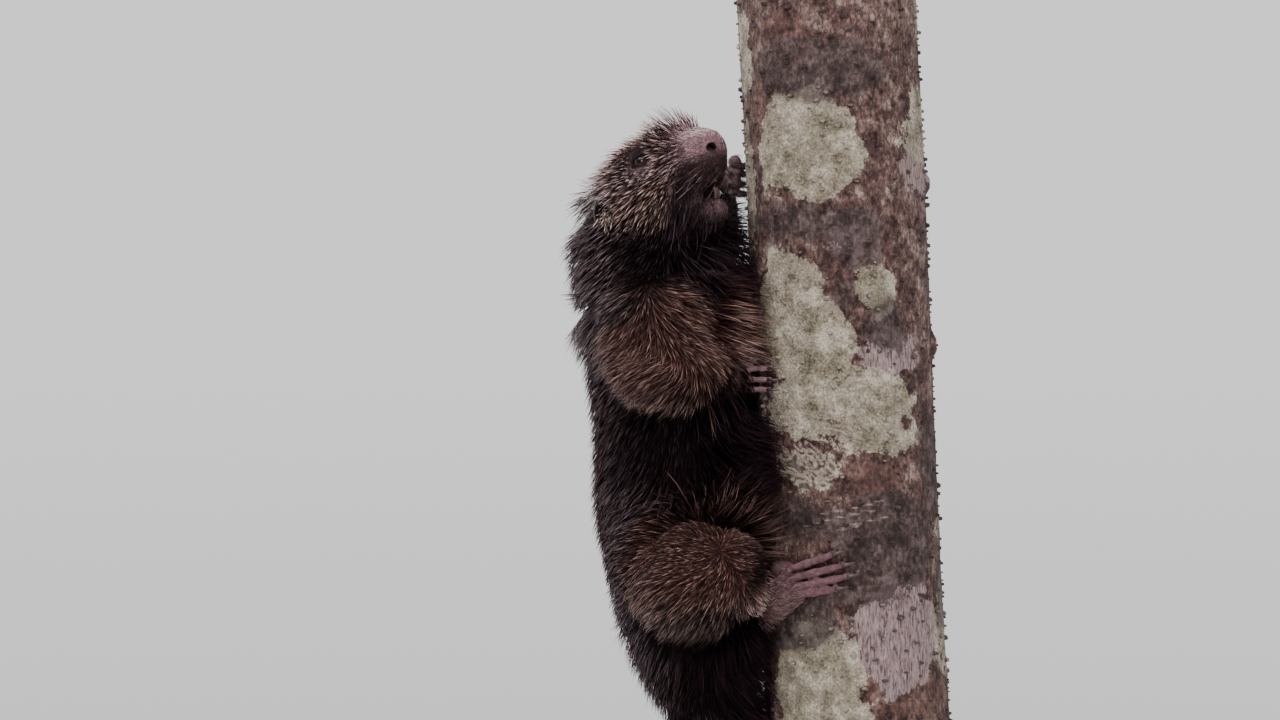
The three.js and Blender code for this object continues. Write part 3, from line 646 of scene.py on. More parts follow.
@dataclass(frozen=True)
class TreeBark(Finish):
    """Living bark under a skin of lichen: dry, matt, finely cracked.

    The eye sees grey-green lichen with crisp edges over streaked brown bark, flaky mauve patches with
    upright cracks, and dark stains that fade out. The stain film also carries painted shadow under the
    right heel and round the feet of the warts, and the scratch film a painted highlight on the warts' tops.
    """

    bare: ClassVar[tuple[tuple[float, str], ...]] = (
        *((0.39, "#281617"), (0.46, "#4b3433"), (0.52, "#674e4a")),
        *((0.57, "#826b66"), (0.64, "#ab9992")),
    )
    name: str = "tree_bark"
    roughness: float = 0.9
    ior: float = 1.45
    streak_size: float = 2.4
    fleck_size: float = 13.0
    grit_size: float = 1.5
    crack_size: float = 1.1
    flake_size: float = 4.2
    flake_wander: float = 4.0
    relief: float = 1.0

    def patterns(self, tree: NodeTree, where: Socket) -> dict[str, Any]:
        """Lays the films over the streaked bark."""
        upright = add_node(tree, "Mapping", {"Vector": where, "Scale": (1.0, 1.0, 0.6)}).outputs[0]
        sizes = ((upright, self.streak_size), (where, self.fleck_size), (where, self.grit_size))
        fine = {"Detail": 7.0, "Roughness": 0.62}
        streak, fleck, grit = (
            add_node(tree, "TexNoise", {"Vector": at, "Scale": per_mm(size), **fine}) for at, size in sizes
        )
        tall = add_node(tree, "Mapping", {"Vector": where, "Scale": (1.0, 1.0, 0.2)}).outputs[0]
        lines = {"Vector": tall, "Scale": per_mm(self.crack_size), "Detail": 4.0, "Distortion": 0.5}
        crack = add_node(tree, "TexNoise", lines)
        # Flakes a few millimetres across, with thin dark cracks between them that wander.
        wander = {0: streak.outputs["Color"], 1: (self.flake_wander * MM,) * 3}
        bent = add_node(tree, "VectorMath", wander, operation="MULTIPLY")
        bent = add_node(tree, "VectorMath", {0: upright, 1: bent.outputs[0]}, operation="ADD")
        cells = {"Vector": bent.outputs[0], "Scale": per_mm(self.flake_size)}
        flakes = add_node(tree, "TexVoronoi", cells, feature="DISTANCE_TO_EDGE").outputs["Distance"]
        span = {"Value": flakes, "From Max": 0.1, "To Min": 0.55, "To Max": 1.04}
        gaps = add_node(tree, "MapRange", span).outputs[0]
        half = add_node(tree, "Math", {0: fleck.outputs[0], 1: 0.55}, operation="MULTIPLY").outputs[0]
        blend, crust = (
            add_node(tree, "Math", {0: fine.outputs[0], 1: 0.45, 2: half}, operation="MULTIPLY_ADD")
            for fine in (streak, grit)
        )
        # None is the bare bark, and the films lie over it in this order.
        ramps = {
            None: (blend, *self.bare),
            Film.RUST: (blend, (0.4, "#362120"), (0.5, "#573d38"), (0.6, "#7d5f57")),
            Film.MAUVE: (crack, (0.34, "#52403f"), (0.41, "#7b6668"), (0.5, "#927e81"), (0.68, "#ad9a9d")),
            Film.LICHEN: (crust, (0.38, "#4d463b"), (0.46, "#7f7666"), (0.53, "#9c9285"), (0.6, "#c6bcae")),
            # The stain ramp also colours the painted shadow under the right heel and round the warts' feet.
            Film.STAIN: (blend, (0.4, "#1d1415"), (0.5, "#3a2d2e"), (0.6, "#5f5051")),
            # The scratch ramp's pale end also colours the painted highlight on the tops of warts on lichen.
            Film.SCRATCH: (grit, (0.35, "#75625d"), (0.65, "#bba8a0")),
        }
        colours = {
            film: set_ramp(add_node(tree, "ValToRGB", {"Fac": source.outputs[0]}), *stops)
            for film, (source, *stops) in ramps.items()
        }
        colour = add_node(tree, "HueSaturation", {"Color": colours.pop(None), "Value": gaps}).outputs[0]
        for film, over in colours.items():
            coarse, fine, edge, strength = film.edge
            inside = add_node(tree, "Attribute", {}, attribute_name=film.value).outputs["Fac"]
            torn = inside
            for pattern, share in ((fleck, coarse), (grit, fine)):
                more = {0: pattern.outputs[0], 1: share, 2: torn}
                torn = add_node(tree, "Math", more, operation="MULTIPLY_ADD").outputs[0]
            middle = (coarse + fine) / 2
            span = {"Value": torn, "From Min": middle - edge, "From Max": middle + edge, "To Max": strength}
            cover = add_node(tree, "MapRange", span, interpolation_type="SMOOTHSTEP")
            layers = {0: cover.outputs[0], 6: colour, 7: over}
            colour = add_node(tree, "Mix", layers, data_type="RGBA").outputs[2]
        height = grit.outputs[0]
        for pattern, share in ((streak.outputs[0], 1.3), (gaps, 0.5)):
            sums = {0: pattern, 1: share, 2: height}
            height = add_node(tree, "Math", sums, operation="MULTIPLY_ADD").outputs[0]
        bump = add_node(tree, "Bump", {"Height": height, "Strength": 0.9, "Distance": self.relief * MM})
        return {"Base Color": colour, "Normal": bump.outputs[0]}


@dataclass(frozen=True)
class SawnWood(Finish):
    """End grain as the saw leaves it: pale, matt, with yearly rings a few millimetres apart."""

    name: str = "sawn_end_grain"
    roughness: float = 0.85
    ior: float = 1.45
    early: str = "#c3a578"
    late: str = "#96734a"
    rim: str = "#5b4438"
    radius: float = 59.0
    ring: float = 4.0

    def patterns(self, tree: NodeTree, where: Socket) -> dict[str, Any]:
        """Draws the rings by the distance from the heart, and the bark's edge."""
        radial = add_node(tree, "Attribute", {}, attribute_name="radial").outputs["Fac"]
        wander = add_node(tree, "TexNoise", {"Vector": where, "Scale": per_mm(26.0), "Detail": 3.0})
        bent = add_node(tree, "Math", {0: wander.outputs[0], 1: 0.16, 2: radial}, operation="MULTIPLY_ADD")
        rings = self.radius / self.ring * 2.0 * math.pi
        turns = add_node(tree, "Math", {0: bent.outputs[0], 1: rings}, operation="MULTIPLY")
        wave = add_node(tree, "Math", {0: turns.outputs[0]}, operation="SINE").outputs[0]
        share = add_node(tree, "MapRange", {"Value": wave, "From Min": -1.0}).outputs[0]
        ramp = add_node(tree, "ValToRGB", {"Fac": share})
        grain = set_ramp(ramp, (0.0, self.early), (0.6, self.early), (1.0, self.late))
        edge = add_node(tree, "MapRange", {"Value": radial, "From Min": 0.93, "From Max": 0.96})
        colour = add_node(tree, "Mix", {0: edge.outputs[0], 6: grain, 7: rgba(self.rim)}, data_type="RGBA")
        bump = add_node(tree, "Bump", {"Height": wave, "Strength": 0.3, "Distance": 0.3 * MM})
        return {"Base Color": colour.outputs[2], "Normal": bump.outputs[0]}


@dataclass(frozen=True)
class StainedWood(Finish):
    """Planed hardwood, stained dark and lacquered satin: long grain lines under a soft even gloss."""

    name: str = "stained_hardwood"
    roughness: float = 0.42
    light: str = "#5a432f"
    dark: str = "#33241a"
    grain: float = 3.0

    def patterns(self, tree: NodeTree, where: Socket) -> dict[str, Any]:
        """Runs the grain along X."""
        drawn = add_node(tree, "Mapping", {"Vector": where, "Scale": (0.06, 1.0, 1.0)})
        lines = {"Vector": drawn.outputs[0], "Scale": per_mm(self.grain), "Detail": 7.0, "Roughness": 0.6}
        grain = add_node(tree, "TexNoise", lines)
        ramp = add_node(tree, "ValToRGB", {"Fac": grain.outputs[0]})
        colour = set_ramp(ramp, (0.32, self.dark), (0.66, self.light))
        bump = add_node(tree, "Bump", {"Height": grain.outputs[0], "Strength": 0.15, "Distance": 0.2 * MM})
        return {"Base Color": colour, "Normal": bump.outputs[0], "Coat Weight": 0.3, "Coat Roughness": 0.25}


@dataclass(frozen=True)
class BrushedSteel(Finish):
    """Turned steel rod, brushed round: rings of fine scratches that smear the lights."""

    name: str = "brushed_steel"
    roughness: float = 0.32
    colour: str = "#9a9a98"
    scratch: float = 0.4

    def patterns(self, tree: NodeTree, where: Socket) -> dict[str, Any]:
        """Varies the gloss with fine rings."""
        drawn = add_node(tree, "Mapping", {"Vector": where, "Scale": (0.05, 0.05, 1.0)})
        lines = {"Vector": drawn.outputs[0], "Scale": per_mm(self.scratch), "Detail": 4.0}
        rings = add_node(tree, "TexNoise", lines)
        span = {"Value": rings.outputs[0], "To Min": self.roughness - 0.08, "To Max": self.roughness + 0.1}
        gloss = add_node(tree, "MapRange", span)
        bump = add_node(tree, "Bump", {"Height": rings.outputs[0], "Strength": 0.2, "Distance": 0.05 * MM})
        made = {"Roughness": gloss.outputs[0], "Normal": bump.outputs[0]}
        return {**made, "Base Color": rgba(self.colour), "Metallic": 1.0}


@dataclass(frozen=True)
class StudioPaper(Finish):
    """Pale matt backdrop paper, even and without gloss."""

    name: str = "studio_paper"
    roughness: float = 0.95
    colour: str = "#dcdad5"
    shade: str = "#d8d6d1"

    def patterns(self, tree: NodeTree, where: Socket) -> dict[str, Any]:
        """Gives it its faint unevenness."""
        cloud = add_node(tree, "TexNoise", {"Vector": where, "Scale": per_mm(400.0)})
        ramp = add_node(tree, "ValToRGB", {"Fac": cloud.outputs[0]})
        colour = set_ramp(ramp, (0.3, self.shade), (0.7, self.colour))
        return {"Base Color": colour, "Specular IOR Level": 0.1}


# The tree


class Film(Enum):
    """What covers a patch of the bark; the value is the attribute that its material reads."""

    LICHEN = "lichen"
    # Stains, and also painted shadow: on the bark under the right heel and round the foot of each wart.
    STAIN = "stain"
    MAUVE = "mauve"
    RUST = "rust"
    # Scratches and the scar's rings, and also a painted highlight on the tops of warts on lichen.
    SCRATCH = "scratch"

    @property
    def edge(self) -> tuple[float, float, float, float]:
        """How its edge is torn: coarse and fine raggedness and half width, in cm, and its strength."""
        edges = {"lichen": (2.4, 0.8, 0.06, 0.96), "stain": (3.2, 1.5, 0.16, 0.84)}
        edges |= {"mauve": (3.0, 1.2, 0.1, 0.9), "rust": (2.6, 1.0, 0.12, 0.85)}
        return edges.get(self.value, (0.12, 0.1, 0.05, 0.7))


@dataclass
class Tree:
    """The cut length of trunk: a leaning, slightly oval cylinder, its bark, warts and sawn ends."""

    radius: float = 59.0
    foot_x: float = 37.5
    foot_z: float = 60.0
    top_z: float = 752.0
    lean_deg: float = 2.6
    oval: float = 1.3
    lobes: float = 0.9
    step: float = 2.0
    seed: int = 11
    wart_spacing: float = 12.0
    # Each patch is its place, as the angle round the trunk and the height, and its two half sizes.
    patches: tuple[tuple[Film, tuple[Spot, ...]], ...] = (
        (Film.LICHEN, ((68, 645, 34, 35), (15, 706, 14, 30), (14, 622, 13, 46), (56, 553, 23, 30))),
        (Film.LICHEN, ((62, 520, 32, 36), (78, 482, 56, 26), (108, 553, 14, 16), (58, 442, 20, 13))),
        (Film.LICHEN, ((13, 424, 9, 18), (60, 300, 36, 42), (45, 250, 30, 40), (106, 461, 28, 11))),
        (Film.STAIN, ((84, 694, 44, 20), (66, 597, 44, 11), (100, 586, 18, 16), (114, 532, 16, 17))),
        # The dark patch at 40 degrees and 350 high is painted shadow under the right heel and the body.
        (Film.STAIN, ((90, 552, 7, 12), (112, 396, 34, 32), (92, 366, 26, 12), (40, 350, 36, 24))),
        (Film.STAIN, ((52, 408, 22, 12),)),
        (Film.RUST, ((36, 662, 10, 26), (102, 436, 16, 11), (40, 468, 9, 9), (122, 300, 40, 16))),
        (Film.RUST, ((60, 712, 16, 20),)),
        (Film.MAUVE, ((116, 515, 20, 15), (116, 336, 34, 36), (92, 585, 12, 10))),
    )
    far_patches: int = 34
    # A knot is its angle, height and size, and a claw mark its angle, height and half length in degrees.
    knots: tuple[Place, ...] = ((172, 520, 7), (176, 624, 6), (-96, 300, 8))
    claw_marks: tuple[Place, ...] = (
        *((92, 416, 26), (88, 411, 30), (97, 407, 24), (80, 421, 16)),
        *((84, 402, 16), (76, 413, 14), (102, 419, 13), (60, 404, 12)),
    )
    claw_slope: float = 0.22
    # The arched rings: the height of their band and its half height.
    ring_band: tuple[float, float] = (470.0, 11.0)
    scar: tuple[float, float] = (57.0, 443.0)

    def axis_x(self, z: Array) -> Array:
        """Where the leaning axis is at a height."""
        return self.foot_x - math.tan(math.radians(self.lean_deg)) * (z - self.foot_z)

    def reach(self, angle: Array, z: Array) -> Array:
        """The smooth radius at an angle in radians and a height."""
        return self.radius + self.oval * np.cos(2 * angle + z / 190) + self.lobes * np.sin(3 * angle - z / 85)

    def at(self, angle_deg: Array, z: Array, lift: Array = 0.0) -> Array:
        """A place on the trunk.

        Args:
            angle_deg: the angle from the animal's side, growing towards the viewer.
            z: the height.
            lift: how far out from the smooth bark.

        Returns:
            The place, or one row for each.
        """
        angle = np.radians(angle_deg)
        reach = self.reach(angle, np.asarray(z, float)) + lift
        x = self.axis_x(np.asarray(z, float)) - np.cos(angle) * reach
        return np.stack(np.broadcast_arrays(x, -np.sin(angle) * reach, np.asarray(z, float)), axis=-1)

    def height_above(self, points: Array) -> Array:
        """How far places lie outside the smooth bark."""
        dx = self.axis_x(points[:, 2]) - points[:, 0]
        return np.hypot(dx, points[:, 1]) - self.reach(np.arctan2(-points[:, 1], dx), points[:, 2])

    def outwards(self, points: Array) -> Array:
        """The level way out from the trunk's axis at each place."""
        way = points * np.array([1.0, 1.0, 0.0])
        way[:, 0] -= self.axis_x(points[:, 2])
        return unit(way)

    def kept_clear(self, points: Array, room: float) -> Array:
        """The same places, with those inside the bark or too near it pushed out of it."""
        short = np.maximum(room - self.height_above(points), 0.0)
        inside = (points[:, 2] > self.foot_z) & (points[:, 2] < self.top_z)
        return points + self.outwards(points) * (short * inside)[:, None]

    def all_patches(self) -> list[tuple[Film, Spot]]:
        """The patches that the photo shows, and others like them where it shows none."""
        chance = np.random.default_rng(self.seed)
        kinds = [Film.LICHEN, Film.STAIN, Film.LICHEN, Film.MAUVE]
        found = [(film, spot) for film, spots in self.patches for spot in spots]
        far = (150, 352), (70, 740), (12, 34), (12, 40)
        low = (5, 150), (65, 235), (14, 34), (12, 32)
        for count, spans in ((self.far_patches, far), (self.far_patches // 3, low)):
            for index in range(count):
                found.append((kinds[index % 4], tuple(chance.uniform(*span) for span in spans)))
        return found

    def films(self, angle_deg: Array, z: Array, places: Array) -> dict[Film, Array]:
        """How far inside each film's edge places on the bark are.

        Args:
            angle_deg: their angles.
            z: their heights.
            places: the same as points.

        Returns:
            For each film, centimetres inside its nearest edge, below zero outside it.
        """
        ragged = 0.2 * noise(places, 15.0, 3) + 0.1 * noise(places, 6.0, 4)
        inside = {film: np.full(len(places), -3.0) for film in Film}
        for film, (patch_angle, patch_z, half_angle, half_z) in self.all_patches():
            turn = degrees_apart(angle_deg, patch_angle)
            away = np.sqrt((turn / half_angle) ** 2 + ((z - patch_z) / half_z) ** 2) + ragged
            size = min(math.radians(half_angle) * self.radius, half_z) / 10.0
            inside[film] = np.maximum(inside[film], (1.0 - away) * size)
        level, band = self.rings(angle_deg, z, places)
        stripes = 0.1 * np.sin(level * 1.9 + 0.8) - 0.03
        scar, curls = self.scarred(angle_deg, z, places)
        stripes = mix(stripes, 0.13 * curls - 0.01, smooth(1.3, 1.1, scar))
        band = np.maximum(band, smooth(1.25, 1.05, scar))
        inside[Film.SCRATCH] = mix(np.full(len(places), -1.0), stripes, band)
        dark = np.where(scar < 1.2, -0.78 * curls - 0.35, -3.0)
        inside[Film.STAIN] = np.maximum(inside[Film.STAIN], dark)
        for angle, mark_z, half in self.claw_marks:
            along = angle_deg - angle
            line = 0.05 - np.abs(z - mark_z - 1.6 - along * self.claw_slope) * 0.1
            line = line - 0.3 * smooth(half * 0.5, half, np.abs(along))
            inside[Film.SCRATCH] = np.maximum(inside[Film.SCRATCH], line)
        return inside

    def scarred(self, angle_deg: Array, z: Array, places: Array) -> tuple[Array, Array]:
        """How far places are from the old scar's middle, its ragged edge at 1.2, and its curling ridges."""
        scar_angle, scar_z = self.scar
        away = np.hypot((angle_deg - scar_angle) * 0.05, (z - scar_z) / 13.0) + 0.25 * noise(places, 9.0, 28)
        return away, np.sin(away * 15.0 + 9.0 * noise(places, 6.0, 26))

    def rings(self, angle_deg: Array, z: Array, places: Array) -> tuple[Array, Array]:
        """The height along the arched rings of the old scar, and how much of their band is there."""
        level = z + 19.0 * smooth(72.0, 132.0, angle_deg) + 1.2 * noise(places, 26.0, 25)
        band_z, half = self.ring_band
        seen = smooth(8, 30, angle_deg) * smooth(136, 116, angle_deg)
        seen = seen * smooth(-0.9, 0.1, noise(places, 11.0, 27))
        return level, smooth(half, half * 0.6, np.abs(level - band_z)) * seen

    def raised(self, angle_deg: Array, z: Array, places: Array) -> Array:
        """How far the bark stands above its smooth form: swellings, scale, knots, rings and scratches.

        Args:
            angle_deg: the angles of places on the bark.
            z: its height on the trunk.
            places: the same as points.

        Returns:
            Millimetres, one for each place.
        """
        swell = 0.45 * noise(places, 34.0, 21) + 0.25 * noise(places, 9.0, 22)
        scale = places * np.array([1.0, 1.0, 0.35])
        rough = 0.22 * noise(scale, 2.4, 23) - 0.3 * smooth(0.12, 0.0, np.abs(noise(scale, 6.0, 24)))
        height = swell + rough
        for angle, knot_z, size in self.knots:
            across = degrees_apart(angle_deg, angle) * self.radius * math.pi / 180.0
            away = np.hypot(across / size, (z - knot_z) / (size * 1.3))
            height += 3.6 * smooth(1.25, 0.2, away) - 1.2 * smooth(0.35, 0.0, away)
        scar, curls = self.scarred(angle_deg, z, places)
        height += 0.45 * curls * smooth(1.25, 1.0, scar)
        level, band = self.rings(angle_deg, z, places)
        height -= band * 0.4 * smooth(0.0, 0.9, np.sin(level * 1.9 - 2.3))
        for angle, mark_z, half in self.claw_marks:
            along = angle_deg - angle
            deep = smooth(1.6, 0.2, np.abs(z - mark_z - along * self.claw_slope))
            height -= 0.7 * deep * smooth(half, half * 0.7, np.abs(along))
        return np.clip(height, -1.6, 4.0)

    def build(self) -> None:
        """Makes the bark, its sawn ends and its warts."""
        columns = int(2 * math.pi * self.radius / self.step)
        heights = np.linspace(self.foot_z, self.top_z, int((self.top_z - self.foot_z) / self.step))
        # The rings need rows that are closer together.
        close = np.arange(self.ring_band[0] - 30.0, self.ring_band[0] + 13.0, self.step / 2)
        heights = np.concatenate([heights[heights < close[0]], close, heights[heights > close[-1]]])
        z, angle = pairs(heights, np.arange(columns) * 360.0 / columns)
        places = self.at(angle, z)
        edge = np.minimum(z - self.foot_z, self.top_z - z)
        lift = self.raised(angle, z, places) * smooth(0.0, 3.0, edge) - 1.5 * smooth(2.0, 0.0, edge)
        faces = grid_faces(len(heights), columns)[:, ::-1]
        mesh = mesh_of("trunk_bark", self.at(angle, z, lift), faces)
        for film, inside in self.films(angle, z, places).items():
            add_numbers(mesh, film.value, inside)
        finish_piece("trunk_bark", mesh, TreeBark(), ["perch_trunk"])
        self.sawn_ends()
        self.warts()

    def sawn_ends(self) -> None:
        """The two sawn faces, a little rough, with the bark's edge round them."""
        columns = 120
        shares = np.linspace(0.0, 1.0, 22)
        share, angle = pairs(shares, np.arange(columns) * 360.0 / columns)
        points, faces = [], []
        for end, way in ((self.foot_z, 1.0), (self.top_z, -1.0)):
            rim = self.at(angle, np.full_like(angle, end), -1.5)
            heart = np.array([self.axis_x(end), 0.0, end])
            disc = mix(np.broadcast_to(heart, rim.shape), rim, share)
            disc[:, 2] = end + way * (0.1 + 0.12 * (1.0 + noise(disc, 3.0, 31)))
            ring = grid_faces(len(shares), columns)
            faces.append((ring[:, ::-1] if way > 0 else ring) + len(points) * len(disc))
            points.append(disc)
        mesh = mesh_of("trunk_sawn_ends", np.vstack(points), np.vstack(faces))
        add_numbers(mesh, "radial", np.tile(share, 2))
        finish_piece("trunk_sawn_ends", mesh, SawnWood())

    def warts(self) -> None:
        """The bark's breathing pores: small sideways warts all over the trunk."""
        chance = np.random.default_rng(self.seed + 1)
        tall_z = self.top_z - self.foot_z - 10
        count = int(2 * math.pi * self.radius * tall_z / self.wart_spacing**2)
        turns = (np.arange(count) * GOLDEN * 360.0 + chance.uniform(-9, 9, count)) % 360.0
        heights = self.foot_z + 5 + (np.arange(count) + chance.uniform(0, 1, count)) * (tall_z / count)
        rings, sides = 3, 7
        share, round_ = pairs(np.linspace(0.0, 1.0, rings), full_turn(sides))
        half_width = chance.uniform(1.1, 3.2, count)[:, None]
        half_height = half_width * chance.uniform(0.45, 0.8, count)[:, None]
        tall = (0.7 + 0.65 * half_width[:, 0] * chance.uniform(0.6, 1.3, count))[:, None]
        wobble = 1.0 + chance.uniform(-0.22, 0.22, (count, len(share)))
        angle = turns[:, None] + np.degrees(np.sin(round_) * share * half_width * wobble / self.radius)
        z = heights[:, None] + np.cos(round_) * share * half_height * wobble
        places = self.at(turns, heights)
        base = self.raised(turns, heights, places)[:, None]
        dome = np.sqrt(np.clip(1.0 - share**2, 0.0, 1.0))
        lift = base - 0.5 + (tall + 0.5) * dome - 0.35 * tall * (share < 0.1)
        faces = repeated(grid_faces(rings, sides)[:, ::-1], count, rings * sides)
        mesh = mesh_of("trunk_warts", self.at(angle, z, lift).reshape(-1, 3), faces)
        films = self.films(turns, heights, places)
        for film, inside in films.items():
            value = np.repeat(inside, len(share)).reshape(count, -1)
            if film is Film.STAIN:
                # A painted shadow darkens each wart round its foot, and the wart is dark all over on bare
                # bark.
                bare = np.maximum(inside, np.where(films[Film.LICHEN] > 0, -3.0, 0.2))[:, None]
                value = bare + (0.8 - bare) * smooth(0.6, 0.95, share)
            # On lichen the top of each wart is pale: a painted highlight.
            if film is Film.SCRATCH:
                pale = np.where(films[Film.LICHEN] > -0.3, 0.05, -1.0)[:, None]
                value = pale - 0.3 * smooth(0.4, 0.8, share)
            add_numbers(mesh, film.value, value.ravel())
        finish_piece("trunk_warts", mesh, TreeBark())


# The animal's forms


@dataclass
class Form:
    """A fleshy part: a closed form along a curve, as in the solids.

    Each station is its centre, its half width along the side direction, and its half depth at right
    angles to that and to the curve.
    """

    name: str
    stations: Sequence[tuple[Sequence[float], float, float]]
    side: Array = field(default_factory=lambda: Y_AXIS)
    bluntness: float = 0.45
    samples: int = 36

    def __post_init__(self) -> None:
        """Works out what the other methods look up."""
        self.path = np.array([np.asarray(station[0], float) for station in self.stations])
        self.sizes = np.array([(station[1], station[2], 0.0) for station in self.stations], float)
        polar = (np.arange(self.samples) + 0.5) / self.samples * math.pi
        self.rings = self.frame_at((1 - np.cos(polar)) / 2)
        self.ring_sizes = self.rings[4] * (np.sin(polar) ** self.bluntness)[:, None]

    def frame_at(self, t: Array) -> tuple[Array, Array, Array, Array, Array]:
        """The curve's frame.

        Args:
            t: shares of the way along it.

        Returns:
            Centre, way along, way across, way down, and the half width and depth.
        """
        t = np.atleast_1d(t)
        centre = smooth_curve(self.path, t)
        along = unit(smooth_curve(self.path, t + 1e-4) - smooth_curve(self.path, t - 1e-4))
        across = unit(self.side - along * dot(along, self.side)[:, None])
        down = np.cross(along, across)
        return centre, along, across, down, smooth_curve(self.sizes, t)[:, :2]

    def surface(self, polar: Array, around: Array) -> Array:
        """Places on the form.

        Args:
            polar: from 0 at its start to pi at its end.
            around: the angle about the curve.

        Returns:
            One row for each pair.
        """
        centre, _, across, down, size = self.frame_at((1 - np.cos(polar)) / 2)
        closing = np.maximum(np.sin(polar), 1e-9) ** self.bluntness
        return (
            centre
            + across * (np.cos(around) * size[:, 0] * closing)[:, None]
            + down * (np.sin(around) * size[:, 1] * closing)[:, None]
        )

    def normals(self, polar: Array, around: Array) -> Array:
        """The ways out of the form at the same places."""
        step = 0.01
        by_polar = self.surface(polar + step, around) - self.surface(polar - step, around)
        by_around = self.surface(polar, around + step) - self.surface(polar, around - step)
        normal = unit(np.cross(by_polar, by_around))
        outwards = self.surface(polar, around) - self.frame_at((1 - np.cos(polar)) / 2)[0]
        return normal * np.where(dot(normal, outwards) < 0, -1.0, 1.0)[:, None]

    def shell(self, rows: int = 48, columns: int = 40) -> tuple[Array, Array]:
        """The form as points and four-cornered faces."""
        points = self.surface(*pairs(np.linspace(1e-3, math.pi - 1e-3, rows), full_turn(columns)))
        rings = points[:columns], points[-columns:]
        first, last = (np.tile(ring.mean(axis=0), (columns, 1)) for ring in rings)
        return np.vstack([first, points, last]), grid_faces(rows + 2, columns)

    def outside(self, points: Array) -> Array:
        """About how far places lie outside the form, or below zero inside it.

        Args:
            points: places, in millimetres.

        Returns:
            Millimetres, one for each place.
        """
        centre, along, across, down, _ = self.rings
        reach = self.ring_sizes.max() + 30.0
        low, high = centre.min(axis=0) - reach, centre.max(axis=0) + reach
        near = np.flatnonzero(np.all((points > low) & (points < high), axis=1))
        result = np.full(len(points), 99.0)
        for part in np.array_split(near, max(1, len(near) // 20000)):
            offset = points[part][:, None, :] - centre[None]
            least = self.ring_sizes.min(axis=1)
            share = np.sqrt(
                (np.einsum("nkd,kd->nk", offset, across) / self.ring_sizes[:, 0]) ** 2
                + (np.einsum("nkd,kd->nk", offset, down) / self.ring_sizes[:, 1]) ** 2
                + (np.einsum("nkd,kd->nk", offset, along) / least) ** 2
            )
            result[part] = ((share - 1.0) * least).min(axis=1)
        return result


def ball_shell(centre: Array, radii: Sequence[float], turn: Array) -> tuple[Array, Array]:
    """An ellipsoid as a shell.

    Args:
        centre: its middle.
        radii: its half sizes.
        turn: a matrix whose columns are its own three ways.

    Returns:
        Points and four-cornered faces.
    """
    rows, columns = 26, 32
    polar, around = pairs(np.linspace(0.0, math.pi, rows), full_turn(columns))
    local = np.stack([np.cos(polar), np.sin(polar) * np.cos(around), np.sin(polar) * np.sin(around)], axis=-1)
    return centre + (local * np.array(radii)) @ turn.T, grid_faces(rows, columns)


@dataclass
class HeadFrame:
    """The head's own frame at the joint with the neck: forward to the nose, left and up."""

    joint: Place = (-132.0, 0.0, 600.0)
    raise_deg: float = 26.0
    turn_deg: float = 25.0

    def __post_init__(self) -> None:
        """Works out the three ways, as the columns of a matrix."""
        lift, turn = math.radians(self.raise_deg), math.radians(-self.turn_deg)
        cos_t, sin_t, cos_l, sin_l = math.cos(turn), math.sin(turn), math.cos(-lift), math.sin(-lift)
        about_z = np.array([[cos_t, -sin_t, 0], [sin_t, cos_t, 0], [0, 0, 1]])
        about_y = np.array([[cos_l, 0, sin_l], [0, 1, 0], [-sin_l, 0, cos_l]])
        self.ways = about_z @ about_y
        self.origin = np.array(self.joint)

    def place(self, forward: float, left: float, up: float) -> Array:
        """A place in the part's frame."""
        return self.origin + self.ways @ np.array([forward, left, up], float)

    def way(self, forward: float, left: float, up: float) -> Array:
        """A direction in the part's frame."""
        return unit(self.ways @ np.array([forward, left, up], float))

    def local(self, points: Array) -> Array:
        """Places in the head's frame."""
        return (points - self.origin) @ self.ways

    def out(self, local: Array) -> Array:
        """Places back in the part's frame."""
        return local @ self.ways.T + self.origin

    def nostril(self, side: Side) -> Array:
        """The middle of a nostril, in the head's frame."""
        return np.array([86.2, side.sign * 9.2, 8.0])

    def station(self, forward: float, up: float, width: float, depth: float) -> tuple[Array, float, float]:
        """A station on the head's middle plane."""
        return self.place(forward, 0.0, up), width, depth


def eye_axes(head: HeadFrame, side: Side) -> Array:
    """The eye's own ways as columns: towards the inner corner, up the lids, and out."""
    out = head.way(0.32, side.sign * 0.84, 0.44)
    up = head.way(0.2, 0.0, 1.0)
    across = unit(np.cross(up, out))
    rise = np.cross(out, across)
    inner = unit(np.cross(rise, out)) * (-1.0 if side is Side.LEFT else 1.0)
    return np.stack([inner, rise, out], axis=1)


